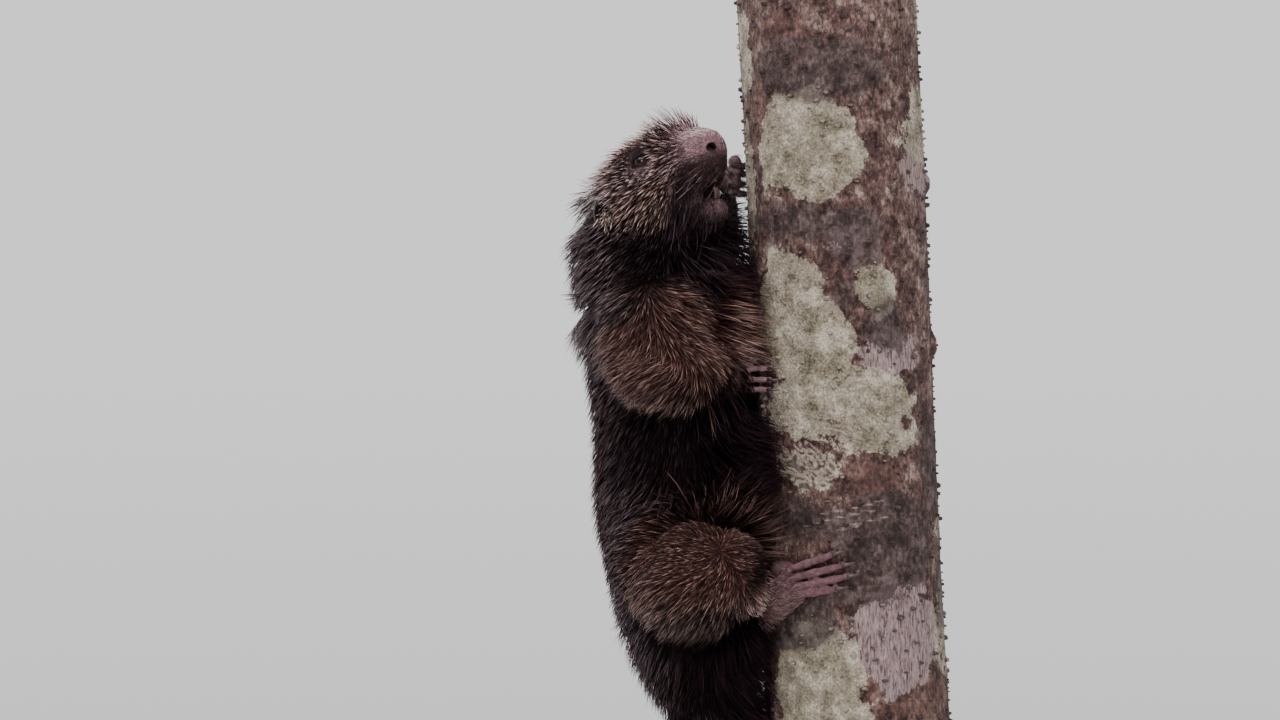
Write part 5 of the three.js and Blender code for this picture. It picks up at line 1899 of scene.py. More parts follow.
    def lids(self, points: Array, side: Side) -> Array:
        """Opens the eye, lays both lids on the ball, and folds the skin round them.

        Args:
            points: places, in millimetres.
            side: which side.

        Returns:
            The moved places.
        """
        radius = self.anatomy.eye_radius
        centre, axes = self.anatomy.eye_centre(side), eye_axes(self.anatomy.head, side)
        q = (points - centre) @ axes
        x, y, z = q[:, 0], q[:, 1], q[:, 2]
        near = (np.hypot(x, y) < 13.0) & (z > 0.0)
        wide = np.clip(1.0 - (np.abs(x - 0.2) / 5.6) ** 2, 0.0, 1.0) ** 0.6
        upper = 4.4 * wide + 0.05 * x * wide
        lower = -4.9 * wide
        middle, half = (upper + lower) / 2, np.maximum((upper - lower) / 2, 0.05)
        past = np.abs(y - middle) - half
        past = np.where(np.abs(x - 0.2) > 5.6, np.maximum(past, np.abs(x - 0.2) - 5.6), past)
        ball = np.sqrt(np.clip(radius**2 - x**2 - y**2, 0.0, None))
        over = np.sqrt(np.clip((radius + 0.8) ** 2 - x**2 - y**2, 0.0, None))
        cover = smooth(4.2, 0.3, past) * smooth(8.0, 6.2, np.hypot(x, y))
        lid = z + (over - z) * cover
        lid = lid + 0.35 * np.exp(-(((past - 0.5) / 0.6) ** 2))
        lid = lid - 0.7 * np.exp(-(((past - 2.4) / 0.7) ** 2)) + 0.35 * np.exp(-(((past - 3.9) / 0.8) ** 2))
        opened = ball - 0.3 - 1.6 * smooth(0.0, -0.7, past)
        target = np.where(past > 0.0, lid, np.minimum(z, opened))
        share = near * smooth(13.0, 9.0, np.hypot(x, y))
        q[:, 2] = z + (target - z) * share
        return centre + q @ axes.T

    def build(self) -> BVHTree:
        """Makes the skin and colours it.

        Returns:
            The skin's surface, in millimetres, for the coat to grow from.
        """
        anatomy = self.anatomy
        shells = [form.shell(90, 56) for form in anatomy.body_forms()]
        shells.append(anatomy.nape.shell(30, 24))
        body = fused("body_skin", shells, self.body_voxel)
        soften(body, 0.9, 8)
        head = self.head_mesh()
        self.sculpt(head)
        paws = [fused(name, paw.shells(anatomy.tree), self.paw_voxel) for name, paw in anatomy.paws.items()]
        for paw in paws:
            soften(paw, 0.8, 4)
        whole = united("skin", [body, head, *paws])
        points, edges = points_of(whole), edges_of(whole)
        forward = anatomy.head.local(points)[:, 0]
        hidden = np.where(points[:, 2] > 560, smooth(30.0, 10.0, forward), 1.0)
        for shape in anatomy.paws.values():
            for index in range(len(shape.digits)):
                hidden *= smooth(0.5, 6.0, shape.digit(anatomy.tree, index).outside(points))
        points = relax(points, edges, hidden, 10)
        points = anatomy.tree.kept_clear(points, 0.3)
        set_points(whole, points)
        corners = [tuple(face.vertices) for face in whole.polygons]
        surface = BVHTree.FromPolygons([tuple(point) for point in points], corners)
        add_colours(whole, "skin_tint", self.markings.skin(points))
        set_points(whole, points * MM)
        whole.polygons.foreach_set("use_smooth", np.ones(len(whole.polygons), bool))
        finish_piece("skin", whole, LivingSkin(), self.nodes)
        return surface


@dataclass(frozen=True)
class Pelt:
    """One kind of hair or spine, in millimetres and degrees.

    It leaves the skin at lift and ends at end_lift. It is drawn as a three-sided taper with a ring of
    points at each of its steps, and hairs within gather_size of each other lean together at the tips.
    It turns paler from pale on, and takes on tip_share of the tip's colour.
    """

    length: float
    radius: float
    spacing: float
    lift: float = 26.0
    end_lift: float = 10.0
    sway: float = 0.16
    gather: float = 0.35
    gather_size: float = 5.0
    steps: tuple[float, ...] = (-0.1, 0.35, 0.72)
    widths: tuple[float, ...] = (1.0, 1.0, 0.72)
    pale: float = 0.4
    tip_share: float = 1.0
    # How much the hairs differ from each other in lightness.
    spread: float = 1.0

    @property
    def faces_each(self) -> int:
        """Triangles in one hair."""
        return 6 * (len(self.steps) - 1) + 3


FINE = {"steps": (-0.12, 0.5), "widths": (1.0, 0.8), "pale": 0.2}
LONG_STEPS = (-0.02, 0.2, 0.4, 0.6, 0.8)
BACK_SPINE = Pelt(20.0, 0.28, 2.25, lift=36, end_lift=22, sway=0.15, gather=0.0, pale=0.5)
NECK_SPINE = Pelt(18.5, 0.28, 2.1, lift=42, end_lift=28, sway=0.15, gather=0.0, pale=0.45)
HEAD_SPINE = Pelt(14.5, 0.22, 1.8, lift=42, end_lift=28, sway=0.13, gather=0.0, pale=0.35)
LIMB_HAIR = Pelt(13.0, 0.2, 1.5, lift=26, end_lift=10, sway=0.18, gather=0.0, tip_share=0.3, pale=0.35)
LIMB_SPINE = Pelt(19.0, 0.25, 2.1, lift=32, end_lift=13, sway=0.18, gather=0.0, pale=0.45)
LIMB_UNDER = Pelt(9.0, 0.26, 1.5, lift=24, end_lift=8, tip_share=0.25, **FINE)
UNDER_HAIR = Pelt(10.0, 0.32, 1.95, lift=26, end_lift=8, tip_share=0.05, **FINE)
JOWL_HAIR = Pelt(19.0, 0.17, 1.3, lift=20, end_lift=5, sway=0.1, gather=0.15, pale=0.2, spread=0.45)
BELLY_HAIR = Pelt(15.0, 0.3, 1.95, lift=30, end_lift=8, gather=0.3, gather_size=6.0)
FRONT_HAIR = Pelt(15.0, 0.3, 1.8, lift=66, end_lift=44, gather=0.2, gather_size=6.0)
HEAD_UNDER = Pelt(6.5, 0.26, 1.32, lift=28, end_lift=14, tip_share=0.3, **FINE)
FACE_FUZZ = Pelt(2.8, 0.15, 0.95, lift=22, end_lift=10, gather=0.2, **FINE)
CHIN_HAIR = Pelt(5.0, 0.12, 1.2, lift=20, end_lift=5, spread=0.5, **FINE)
PAW_FUZZ = Pelt(5.0, 0.1, 1.0, lift=22, end_lift=8, spread=0.5, **FINE)
TAIL_BRISTLE = Pelt(9.0, 0.2, 2.1, lift=16, end_lift=6, **FINE)


@dataclass
class Patch:
    """Where one kind of hair grows.

    The form it grows on, its flow (the way it lies at each root), its cover (the share of hairs kept
    there) and its growth (the length there against the pelt's own). Tints, when given, are the root
    and tip colours, and otherwise the markings'. Stand is how many degrees more it stands up there.
    """

    form: Form
    pelt: Pelt
    flow: Way
    cover: Cover | None = None
    growth: Growth | None = None
    tints: tuple[str, str] | None = None
    stand: Growth | None = None


@dataclass
class Strands:
    """Many hairs of one pelt: their curves, tints and places on the unwrapped skin."""

    pelt: Pelt
    centres: Array
    side: Array
    over: Array
    radius: Array
    root_tint: Array
    tip_tint: Array
    chance: Array
    place_uv: Array
    rows: ClassVar[tuple[str, ...]] = (
        *("centres", "side", "over", "radius"),
        *("root_tint", "tip_tint", "chance", "place_uv"),
    )

    def cut(self, part: Any) -> "Strands":
        """Some of them."""
        return Strands(self.pelt, *(getattr(self, key)[part] for key in self.rows))

    @classmethod
    def joined(cls, parts: Sequence["Strands"]) -> "Strands":
        """Several lots as one."""
        rows = (np.concatenate([getattr(part, key) for part in parts]) for key in cls.rows)
        return cls(parts[0].pelt, *rows)


def strands_along(
    pelt: Pelt, roots: Array, start: Array, end: Array, normals: Array, length: Array, chance: Array
) -> tuple[Array, Array, Array]:
    """Curves for many hairs.

    Args:
        pelt: what they are.
        roots: where they leave the skin.
        start: the way each leaves.
        end: the way each points at its tip.
        normals: the ways out of the skin.
        length: how long each is.
        chance: one number from 0 to 1 for each.

    Returns:
        Centre points with one more step than the pelt, for the tip, and the two ways across.
    """
    shares = np.array([*pelt.steps, 1.0])
    bend = 0.5 * shares**2 * (shares > 0)
    reach = shares[None, :, None] * start[:, None] + bend[None, :, None] * (end - start)[:, None]
    centres = roots[:, None] + length[:, None, None] * reach
    side = unit(np.cross(start, normals) + 1e-6)
    over = unit(np.cross(start, side))
    wave = np.sin(shares * 5.0 + 6.28 * chance[:, None]) * shares.clip(0) * (length * 0.02)[:, None]
    return centres + side[:, None] * wave[..., None], side, over


@dataclass
class Coat:
    """The whole coat: spines, hair and fuzz as joined meshes that follow the lie."""

    anatomy: Anatomy
    markings: Markings
    surface: BVHTree
    limit: int = 190_000
    samples: int = 110
    # Rays start this far under a form, and find the skin up to this far over it.
    ray_below: float = 5.0
    ray_above: float = 16.0
    # How deep in another form hair still grows: between the lengths of limbs, and elsewhere.
    limb_overlap: float = 9.0
    overlap: float = 3.5
    # Places on the sides, forward and up, and the hair's slope there: 0 to the trunk, -90 straight down.
    combed: tuple[Place, ...] = (
        # The arm: down and back behind its middle, and to the trunk before it.
        *((-139, 554, -130), (-139, 534, -146), (-139, 510, -132), (-136, 485, -124), (-126, 554, -120)),
        *((-123, 534, -140), (-114, 532, -130), (-114, 519, -160), (-108, 506, -160), (-89, 503, -170)),
        *((-114, 488, -135), (-95, 488, -120), (-76, 488, -110), (-62, 491, -95), (-105, 530, -60)),
        *((-94, 545, -24), (-80, 548, -16), (-82, 529, -36), (-67, 541, -8), (-67, 523, -18)),
        *((-76, 516, -36), (-61, 504, -60), (-54, 536, -6), (-54, 520, -12)),
        # The flank: down and back, and to the trunk on the belly.
        *((-139, 459, -128), (-127, 440, -128), (-108, 459, -112), (-108, 434, -125), (-95, 466, -95)),
        *((-82, 434, -105), (-133, 415, -132), (-108, 418, -150)),
        *((-54, 472, -12), (-51, 440, -16), (-57, 424, 30)),
        # The leg: out on all sides from above the ankle.
        *((-77, 411, 125), (-89, 411, 150), (-64, 414, 108), (-49, 414, 50), (-43, 398, 15), (-43, 383, 0)),
        *((-102, 398, 172), (-114, 386, -172), (-114, 367, -155), (-102, 355, -140), (-83, 355, -122)),
        *((-67, 354, -108), (-52, 358, -80), (-40, 364, -30), (-83, 386, 180)),
        *((-77, 367, -145), (-64, 370, -132)),
        *((-126, 398, -150), (-132, 374, -140), (-123, 349, -140), (-114, 336, -125), (-83, 336, -110)),
        *((-114, 308, -120), (-89, 301, -110)),
    )

    def __post_init__(self) -> None:
        """Gives each form its cell on the unwrapped skin."""
        names = ["skull", "jaw", "muzzle", "neck", "tail", *self.anatomy.limbs, *self.anatomy.paws]
        cells = [(column, row) for row in range(5) for column in range(5) if column > 1 or row > 1]
        self.cells = {name: (cell[0] / 5, cell[1] / 5, 0.2) for name, cell in zip(names, cells)}
        self.cells["torso"] = (0.0, 0.0, 0.4)
        self.forms = self.anatomy.all_forms()

    def uv_at(self, name: str, polar: Array, around: Array) -> Array:
        """A root's place on the unwrapped skin."""
        left, low, size = self.cells.get(name, self.cells["muzzle"])
        share = np.stack([around / (2 * math.pi) % 1.0, polar / math.pi], axis=1)
        return np.array([left, low]) + size * (0.04 + 0.92 * share)

    def roots(self, form: Form, spacing: float, seed: int) -> tuple[Array, Array, np.random.Generator]:
        """Spreads roots evenly over a form.

        Args:
            form: what they grow on.
            spacing: how far apart they are.
            seed: which draw.

        Returns:
            Their polar and round angles, and the source of chance.
        """
        chance = np.random.default_rng(seed * 7919 + len(form.name) * 31 + ord(form.name[0]))
        rows = columns = self.samples
        edge = np.arange(rows + 1) / rows * math.pi
        turn = np.arange(columns + 1) / columns * 2 * math.pi
        grid = form.surface(*pairs(edge, turn)).reshape(rows + 1, columns + 1, 3)
        across = grid[:-1, 1:] - grid[:-1, :-1]
        down = grid[1:, :-1] - grid[:-1, :-1]
        area = np.linalg.norm(np.cross(across, down), axis=2).ravel()
        total = np.cumsum(area)
        count = int(total[-1] / spacing**2 * QUICK_SHARE)
        picks = (np.arange(count) + chance.random(count)) / count * total[-1]
        cell = np.minimum(np.searchsorted(total, picks), len(area) - 1)
        polar = (cell // columns + chance.random(count)) / rows * math.pi
        around = (cell % columns + chance.random(count)) / columns * 2 * math.pi
        return polar, around, chance

    def on_skin(self, points: Array, normals: Array) -> tuple[Array, Array, Array]:
        """Moves places along their own way out to the skin.

        Args:
            points: places near it.
            normals: the ways out of the form they are on.

        Returns:
            The places, the ways out of the skin, and which places found it.
        """
        rays = zip(points - self.ray_below * normals, normals)
        far = self.ray_below + self.ray_above
        found = [self.surface.ray_cast(Vector(start), Vector(way), far) for start, way in rays]
        hit = np.array([place is not None for place, *_ in found], bool)
        moved, ways = points.copy(), normals.copy()
        if hit.any():
            moved[hit] = np.array([place for place, *_ in found if place is not None])
            ways[hit] = unit(normals[hit] + np.array([way for place, way, *_ in found if place is not None]))
        return moved, ways, hit

    def grow(self, patch: Patch, seed: int) -> Strands:
        """Grows one patch.

        Args:
            patch: what grows where.
            seed: which draw.

        Returns:
            Its hairs.
        """
        form, pelt, tree = patch.form, patch.pelt, self.anatomy.tree
        polar, around, chance = self.roots(form, pelt.spacing, seed + int(pelt.length * 10))
        points, normals = form.surface(polar, around), form.normals(polar, around)
        kept = tree.height_above(points) > 0.8
        if patch.cover:
            kept &= chance.random(len(points)) < patch.cover(points, normals)
        limbs = self.anatomy.limbs
        for other in self.forms:
            if other is not form:
                both = form.name in limbs and other.name in limbs
                kept &= other.outside(points) > -(self.limb_overlap if both else self.overlap)
        polar, around, points, normals = polar[kept], around[kept], points[kept], normals[kept]
        points, normals, hit = self.on_skin(points, normals)
        polar, around, points, normals = polar[hit], around[hit], points[hit], normals[hit]
        count = len(points)
        luck = chance.random(count)
        lie = patch.flow(points)
        lie = unit(lie - normals * dot(lie, normals)[:, None])
        drift = 0.14 * noise(points, 16.0, 61) + 0.05 * noise(points, 6.0, 62)
        drift = drift + pelt.sway * chance.normal(0, 1, count)
        lie = unit(lie + np.cross(normals, lie) * drift[:, None])
        more = patch.stand(points) if patch.stand else 0.0
        lift = pelt.lift * (0.65 + 0.7 * chance.random(count)) + 3.0 * noise(points, 9.0, 63)
        lift = np.radians(lift + more)
        end = np.radians(pelt.end_lift * (0.5 + chance.random(count)) + more)
        start_way = lie * np.cos(lift)[:, None] + normals * np.sin(lift)[:, None]
        end_way = unit(lie * np.cos(end)[:, None] + normals * np.sin(end)[:, None] - 0.12 * Z_AXIS)
        grown = patch.growth(points) if patch.growth else 1.0
        length = pelt.length * grown * (0.72 + 0.45 * chance.random(count))
        centres, side, over = strands_along(pelt, points, start_way, end_way, normals, length, luck)
        centres = self.gathered(centres, points, pelt)
        centres[:, 1:] = tree.kept_clear(centres[:, 1:].reshape(-1, 3), 0.6).reshape(centres[:, 1:].shape)
        if patch.tints:
            root_tint, tip_tint = tint_rows(patch.tints, count)
        else:
            root_tint, tip_tint = self.markings.coat(form.name, points)
            tip_tint = mix(root_tint, tip_tint, np.full(count, pelt.tip_share))
        radius = pelt.radius * (0.75 + 0.5 * chance.random(count))
        where = self.uv_at(form.name, polar, around)
        shade = 0.5 + (luck - 0.5) * pelt.spread
        return Strands(pelt, centres, side, over, radius, root_tint, tip_tint, shade, where)

    @staticmethod
    def gathered(centres: Array, roots: Array, pelt: Pelt) -> Array:
        """Leans neighbouring hairs together towards their tips.

        Args:
            centres: the hairs' points.
            roots: where they leave the skin.
            pelt: what they are.

        Returns:
            The moved points.
        """
        jitter = np.stack([noise(roots, pelt.gather_size * 1.7, 71 + axis) for axis in range(3)], axis=1)
        cell = np.floor(roots / pelt.gather_size + 0.6 * jitter).astype(np.int64)
        _, group = np.unique(cell @ np.array([1_000_003, 1_009, 1]), return_inverse=True)
        group = group.ravel()
        size = np.bincount(group)[group]
        tips = centres[:, -1]
        mean_tip, mean_root = (
            np.stack([np.bincount(group, ends[:, axis])[group] / size for axis in range(3)], axis=1)
            for ends in (tips, roots)
        )
        wanted = mean_tip + 0.3 * (roots - mean_root)
        shift = (wanted - tips) * pelt.gather * (size > 1)[:, None]
        shares = np.clip(np.array([*pelt.steps, 1.0]), 0.0, 1.0) ** 1.4
        return centres + shares[None, :, None] * shift[:, None]

    def woven(self, name: str, strands: Strands) -> None:
        """Joins hairs into as few pieces as their limit of faces allows.

        Args:
            name: its name.
            strands: the hairs.
        """
        total = len(strands.centres)
        parts = max(1, math.ceil(total * strands.pelt.faces_each / self.limit))
        order = np.argsort(-strands.centres[:, 0, 2], kind="stable")
        for index in range(parts):
            part = order[index * total // parts : (index + 1) * total // parts]
            self.piece(name if parts == 1 else f"{name}_{index + 1}", strands.cut(part))

    @staticmethod
    def piece(name: str, strands: Strands) -> None:
        """One joined mesh of hairs, with its tints and its map.

        Args:
            name: its name.
            strands: the hairs.
        """
        pelt = strands.pelt
        count, rings = len(strands.centres), len(pelt.steps)
        turn = full_turn(3)[:, None]
        spoke = strands.side[:, None] * np.cos(turn) + strands.over[:, None] * np.sin(turn)
        width = strands.radius[:, None] * np.array(pelt.widths)
        ring_points = strands.centres[:, :rings, None] + spoke[:, None] * width[:, :, None, None]
        points = np.concatenate([ring_points.reshape(count, rings * 3, 3), strands.centres[:, -1:]], axis=1)
        each, last = rings * 3 + 1, (rings - 1) * 3
        faces = []
        for ring, corner in itertools.product(range(rings - 1), range(3)):
            a, b = ring * 3 + corner, ring * 3 + (corner + 1) % 3
            faces += [(a, b, b + 3), (a, b + 3, a + 3)]
        faces += [(last + corner, last + (corner + 1) % 3, each - 1) for corner in range(3)]
        all_faces = repeated(np.array(faces), count, each)
        mesh = mesh_of(name, points.reshape(-1, 3), all_faces)
        along = np.clip([*np.repeat(pelt.steps, 3), 1.0], 0.0, 1.0)
        paled = np.clip((along - pelt.pale) / (1.0 - pelt.pale), 0.0, 1.0)
        add_numbers(mesh, "along", np.tile(paled, count))
        add_numbers(mesh, "chance", np.repeat(strands.chance, each))
        add_colours(mesh, "root_tint", np.repeat(strands.root_tint, each, axis=0))
        add_colours(mesh, "tip_tint", np.repeat(strands.tip_tint, each, axis=0))
        patch = np.stack([[*np.tile([-0.5, 0.0, 0.5], rings), 0.0], along - 0.5], axis=1)
        uv = (strands.place_uv[:, None] + patch[None] * TUFT_PATCH).reshape(-1, 2)
        layer = mesh.uv_layers.new(name=UV_NAME)
        layer.data.foreach_set("uv", uv[all_faces.ravel()].astype(np.float32).ravel())
        finish_piece(name, mesh, KeratinHair())

    # The lie of the coat

    def body_flow(self, points: Array) -> Array:
        """As combed on the sides, down the back, and to the trunk on the belly's side.

        Args:
            points: places, in millimetres.

        Returns:
            One way for each place.
        """
        belly = smooth(-100.0, -70.0, points[:, 0])
        plain = mix(np.array([[-0.55, 0.0, -0.83]]), np.array([[0.75, 0.0, -0.65]]), belly)
        rows = np.array(self.combed)
        slope = np.radians(rows[:, 2])
        ways = np.stack([np.cos(slope), 0.0 * slope, np.sin(slope)], axis=1)
        # The left side is the same, but its leg is lower.
        lower = 19.0 * smooth(-10.0, 10.0, points[:, 1]) * smooth(470.0, 440.0, points[:, 2])
        flat = points[:, [0, 2]] + np.stack([0.0 * lower, lower], axis=1)
        away = np.sum((flat[:, None] - rows[None, :, :2]) ** 2, axis=2)
        return np.exp(-away / (2.0 * 8.0**2)) @ ways + 0.03 * plain

    @staticmethod
    def neck_flow(points: Array) -> Array:
        """Back from the head and down."""
        belly = smooth(-112.0, -84.0, points[:, 0])
        return mix(np.array([[-0.75, 0.0, -0.6]]), np.array([[0.5, 0.0, -0.85]]), belly)

    def head_flow(self, points: Array) -> Array:
        """Away from the nose, and hanging on the cheeks.

        Args:
            points: places, in millimetres.

        Returns:
            One way for each place.
        """
        head = self.anatomy.head
        local = head.local(points)
        away = unit(points - head.place(94, 0, 8)) - 0.25 * Z_AXIS
        hanging = smooth(-4.0, -24.0, local[:, 2]) * smooth(20.0, 45.0, local[:, 0])
        return mix(away, np.array([[-0.25, 0.0, -1.0]]), 0.8 * hanging)

    @staticmethod
    def raised_flow(points: Array) -> Array:
        """Down and back, on the raised left arm."""
        return np.tile(np.array([[-0.35, 0.15, -1.0]]), (len(points), 1))

    def tail_flow(self, points: Array) -> Array:
        """Along the tail to its tip."""
        centre, along, *_ = self.anatomy.tail.rings
        nearest = [int(np.argmin(np.sum((centre - point) ** 2, axis=1))) for point in points]
        return along[np.array(nearest, int)]

    # Where each kind grows

    def ahead(self, points: Array) -> Array:
        """How far forward on the head places are."""
        return self.anatomy.head.local(points)[:, 0]

    def face_cover(self, low: float, high: float, clear: float) -> Cover:
        """Cover on the head between two distances forward, with clear millimetres round each eye.

        Args:
            low: where it starts.
            high: where it ends.
            clear: how much is bare round each eye.

        Returns:
            The cover.
        """

        def cover(points: Array, normals: Array) -> Array:
            """1 where hair grows and 0 elsewhere."""
            forward = self.ahead(points)
            share = smooth(low - 3.0, low + 3.0, forward) * smooth(high + 3.0, high - 3.0, forward)
            for side in Side:
                axes = eye_axes(self.anatomy.head, side)
                q = (points - self.anatomy.eye_centre(side)) @ axes
                # The hair before the eye lies back over it, so that it has to start farther off.
                away = np.hypot(q[:, 0] / np.where(q[:, 0] > 0, 1.35, 1.05), q[:, 1])
                share = share * np.where(q[:, 2] > 0, smooth(clear, clear + 1.0, away), 1.0)
            return share

        return cover

    def on_jowl(self, points: Array) -> Array:
        """How much of the hanging jowl is at places."""
        return self.markings.jowled(self.anatomy.head.local(points))

    @staticmethod
    def nearest(points: Array, places: Sequence[Array]) -> Array:
        """How far each point is from the nearest of some places."""
        return np.min([norms(points - place) for place in places], axis=0)

    def bare_mouth(self, points: Array) -> Array:
        """0 in the mouth and the nostrils, and 1 elsewhere."""
        head = self.anatomy.head
        local = head.local(points)
        lips = norms((local - np.array([77, 0, -13.6])) / np.array([13, 9.0, 6.2]))
        share = smooth(0.85, 1.1, lips)
        for side in Side:
            share = share * smooth(3.6, 5.0, norms(local - head.nostril(side)))
        return share

    def clear_of_ears(self, points: Array) -> Array:
        """0 in the hollows of the ears, and 1 elsewhere."""
        return smooth(7.5, 10.5, self.nearest(points, [Ear(self.anatomy, side).axes()[0] for side in Side]))

    @staticmethod
    def spiny(points: Array, normals: Array) -> Array:
        """The share of spines on the body: full on the back and sides, none on the belly."""
        return smooth(-66.0, -100.0, points[:, 0]) * smooth(0.75, 0.4, normals[:, 0])

    def soft(self, points: Array, normals: Array) -> Array:
        """Where the belly's soft hair takes over from the spines."""
        return np.clip(1.05 - self.spiny(points, normals), 0.0, 1.0)

    def to_trunk(self, points: Array) -> Array:
        """Longer belly hair where the gap to the trunk is wider."""
        return np.clip(self.anatomy.tree.height_above(points) / 8.5, 0.6, 2.8)

    def head_patches(self) -> list[tuple[str, Patch]]:
        """What grows on the head."""
        anatomy, flow = self.anatomy, self.head_flow

        def height(points: Array) -> Array:
            """How high on the head places are."""
            return anatomy.head.local(points)[:, 2]

        def spines(points: Array, normals: Array) -> Array:
            """Bristles everywhere behind the nose but on the throat."""
            limit = 72.0 + 9.0 * smooth(21.0, 28.0, height(points))
            cover = self.face_cover(-40, 90, 5.9)(points, normals) * smooth(-32.0, -16.0, height(points))
            cover = cover * smooth(limit + 3.0, limit - 3.0, self.ahead(points))
            return cover * self.clear_of_ears(points) * (1.0 - self.on_jowl(points))

        def length(points: Array) -> Array:
            """Short by the nose and the eyes, long at the back of the head."""
            forward = self.ahead(points)
            near = self.nearest(points, [anatomy.eye_centre(side) for side in Side])
            grown = 0.36 + 0.64 * smooth(78.0, 60.0, forward) + 0.35 * smooth(16.0, -12.0, forward)
            grown = grown + 0.6 * smooth(20.0, 28.0, height(points)) * smooth(52.0, 66.0, forward)
            low = smooth(10.0, -6.0, height(points)) * smooth(34.0, 56.0, forward)
            ahead = self.nearest(points, [anatomy.head.place(14, side.sign * 29, -2) for side in Side])
            grown = grown * (0.42 + 0.58 * smooth(8.0, 18.0, near)) * (1.0 - 0.35 * low)
            return grown * (0.45 + 0.55 * smooth(6.0, 14.0, ahead))

        def chin(points: Array, normals: Array) -> Array:
            """Longer hair on the lower cheek, and little on the chin."""
            cover = self.face_cover(36, 76, 8.0)(points, normals) * self.bare_mouth(points)
            bare = 0.75 * smooth(60.0, 66.0, self.ahead(points)) * smooth(-30.0, -26.0, height(points))
            return cover * smooth(-4.0, -12.0, height(points)) * (1.0 - bare)

        def erect(points: Array) -> Array:
            """The tuft behind the nose stands up, and so does the crown a little."""
            tuft = smooth(54.0, 66.0, self.ahead(points)) * smooth(14.0, 22.0, height(points))
            return 26.0 * tuft + 6.0 * smooth(16.0, 26.0, height(points))

        def under(points: Array, normals: Array) -> Array:
            """Under hair behind the bare nose."""
            return self.face_cover(-40, 72, 5.6)(points, normals) * self.clear_of_ears(points)

        def fuzz(points: Array, normals: Array) -> Array:
            """Fuzz on the face and the nose."""
            return self.face_cover(34, 120, 5.5)(points, normals) * self.bare_mouth(points)

        def jowl(points: Array, normals: Array) -> Array:
            """The hanging jowl."""
            return self.on_jowl(points) * self.face_cover(24, 60, 8.0)(points, normals)

        def jowl_length(points: Array) -> Array:
            """Longer low on the jowl, and shorter at its front."""
            grown = 0.55 + 0.45 * smooth(2.0, -10.0, height(points))
            return grown * (1.0 - 0.4 * smooth(48.0, 58.0, self.ahead(points)))

        def down(points: Array) -> Array:
            """Straight down and a little back."""
            return np.tile([[-0.15, 0.0, -1.0]], (len(points), 1))

        def finer(points: Array) -> Array:
            """Shorter fuzz towards the nose."""
            return 1.0 - 0.5 * smooth(74.0, 88.0, self.ahead(points))

        made = []
        for form in (anatomy.skull, anatomy.jaw, anatomy.muzzle):
            made.append(("spines_head", Patch(form, HEAD_SPINE, flow, spines, length, stand=erect)))
            made.append(("underhair_head", Patch(form, HEAD_UNDER, flow, under, lambda p: 0.85 * length(p))))
            made.append(("fuzz_face", Patch(form, FACE_FUZZ, flow, fuzz, finer)))
            made.append(("hair_chin", Patch(form, CHIN_HAIR, flow, chin)))
            made.append(("hair_jowl", Patch(form, JOWL_HAIR, down, jowl, jowl_length)))
        return made

    def body_patches(self) -> list[tuple[str, Patch]]:
        """What grows on the neck, the torso and the tail."""
        anatomy = self.anatomy

        def tail_spines(points: Array, normals: Array) -> Array:
            """Spines on the tail's root only."""
            return smooth(236.0, 262.0, points[:, 2]) * smooth(0.8, 0.5, normals[:, 0])

        def waist(points: Array) -> Array:
            """Shorter spines between the shoulders and the hips, and long ones over the shoulders."""
            z = points[:, 2]
            short = 0.22 * np.exp(-(((z - 468.0) / 30.0) ** 2)) + 0.35 * np.exp(-(((z - 384.0) / 26.0) ** 2))
            long = 0.65 * np.exp(-(((z - 548.0) / 18.0) ** 2)) + 0.25 * np.exp(-(((z - 340.0) / 16.0) ** 2))
            return 1.0 - short + long

        def nape(points: Array) -> Array:
            """Longer spines on the nape."""
            return 1.0 + 0.25 * smooth(575.0, 605.0, points[:, 2]) * smooth(-118.0, -136.0, points[:, 0])

        def facing(points: Array, normals: Array) -> Array:
            """The side that faces the trunk, down to the tail's root, but for where the hands are."""
            paws = [paw for name, paw in anatomy.paws.items() if "hand" in name]
            hands = [anatomy.tree.at(paw.turned(24), paw.heel[1] + 3, 10) for paw in paws]
            away = np.min([norms((points - hand) / [1.2, 1, 1]) for hand in hands], axis=0)
            low = smooth(240.0, 262.0, points[:, 2])
            return smooth(0.1, 0.6, normals[:, 0]) * low * smooth(20.0, 28.0, away)

        def bristly(points: Array, normals: Array) -> Array:
            """Thinner bristles towards the tail's tip."""
            return 0.35 + 0.65 * smooth(180.0, 240.0, points[:, 2])

        def rooted(points: Array) -> Array:
            """Shorter spines down the tail's root."""
            return 0.45 + 0.5 * smooth(236.0, 300.0, points[:, 2])

        def tapering(points: Array) -> Array:
            """Shorter bristles towards the tail's tip."""
            return 0.45 + 0.55 * smooth(120.0, 230.0, points[:, 2])

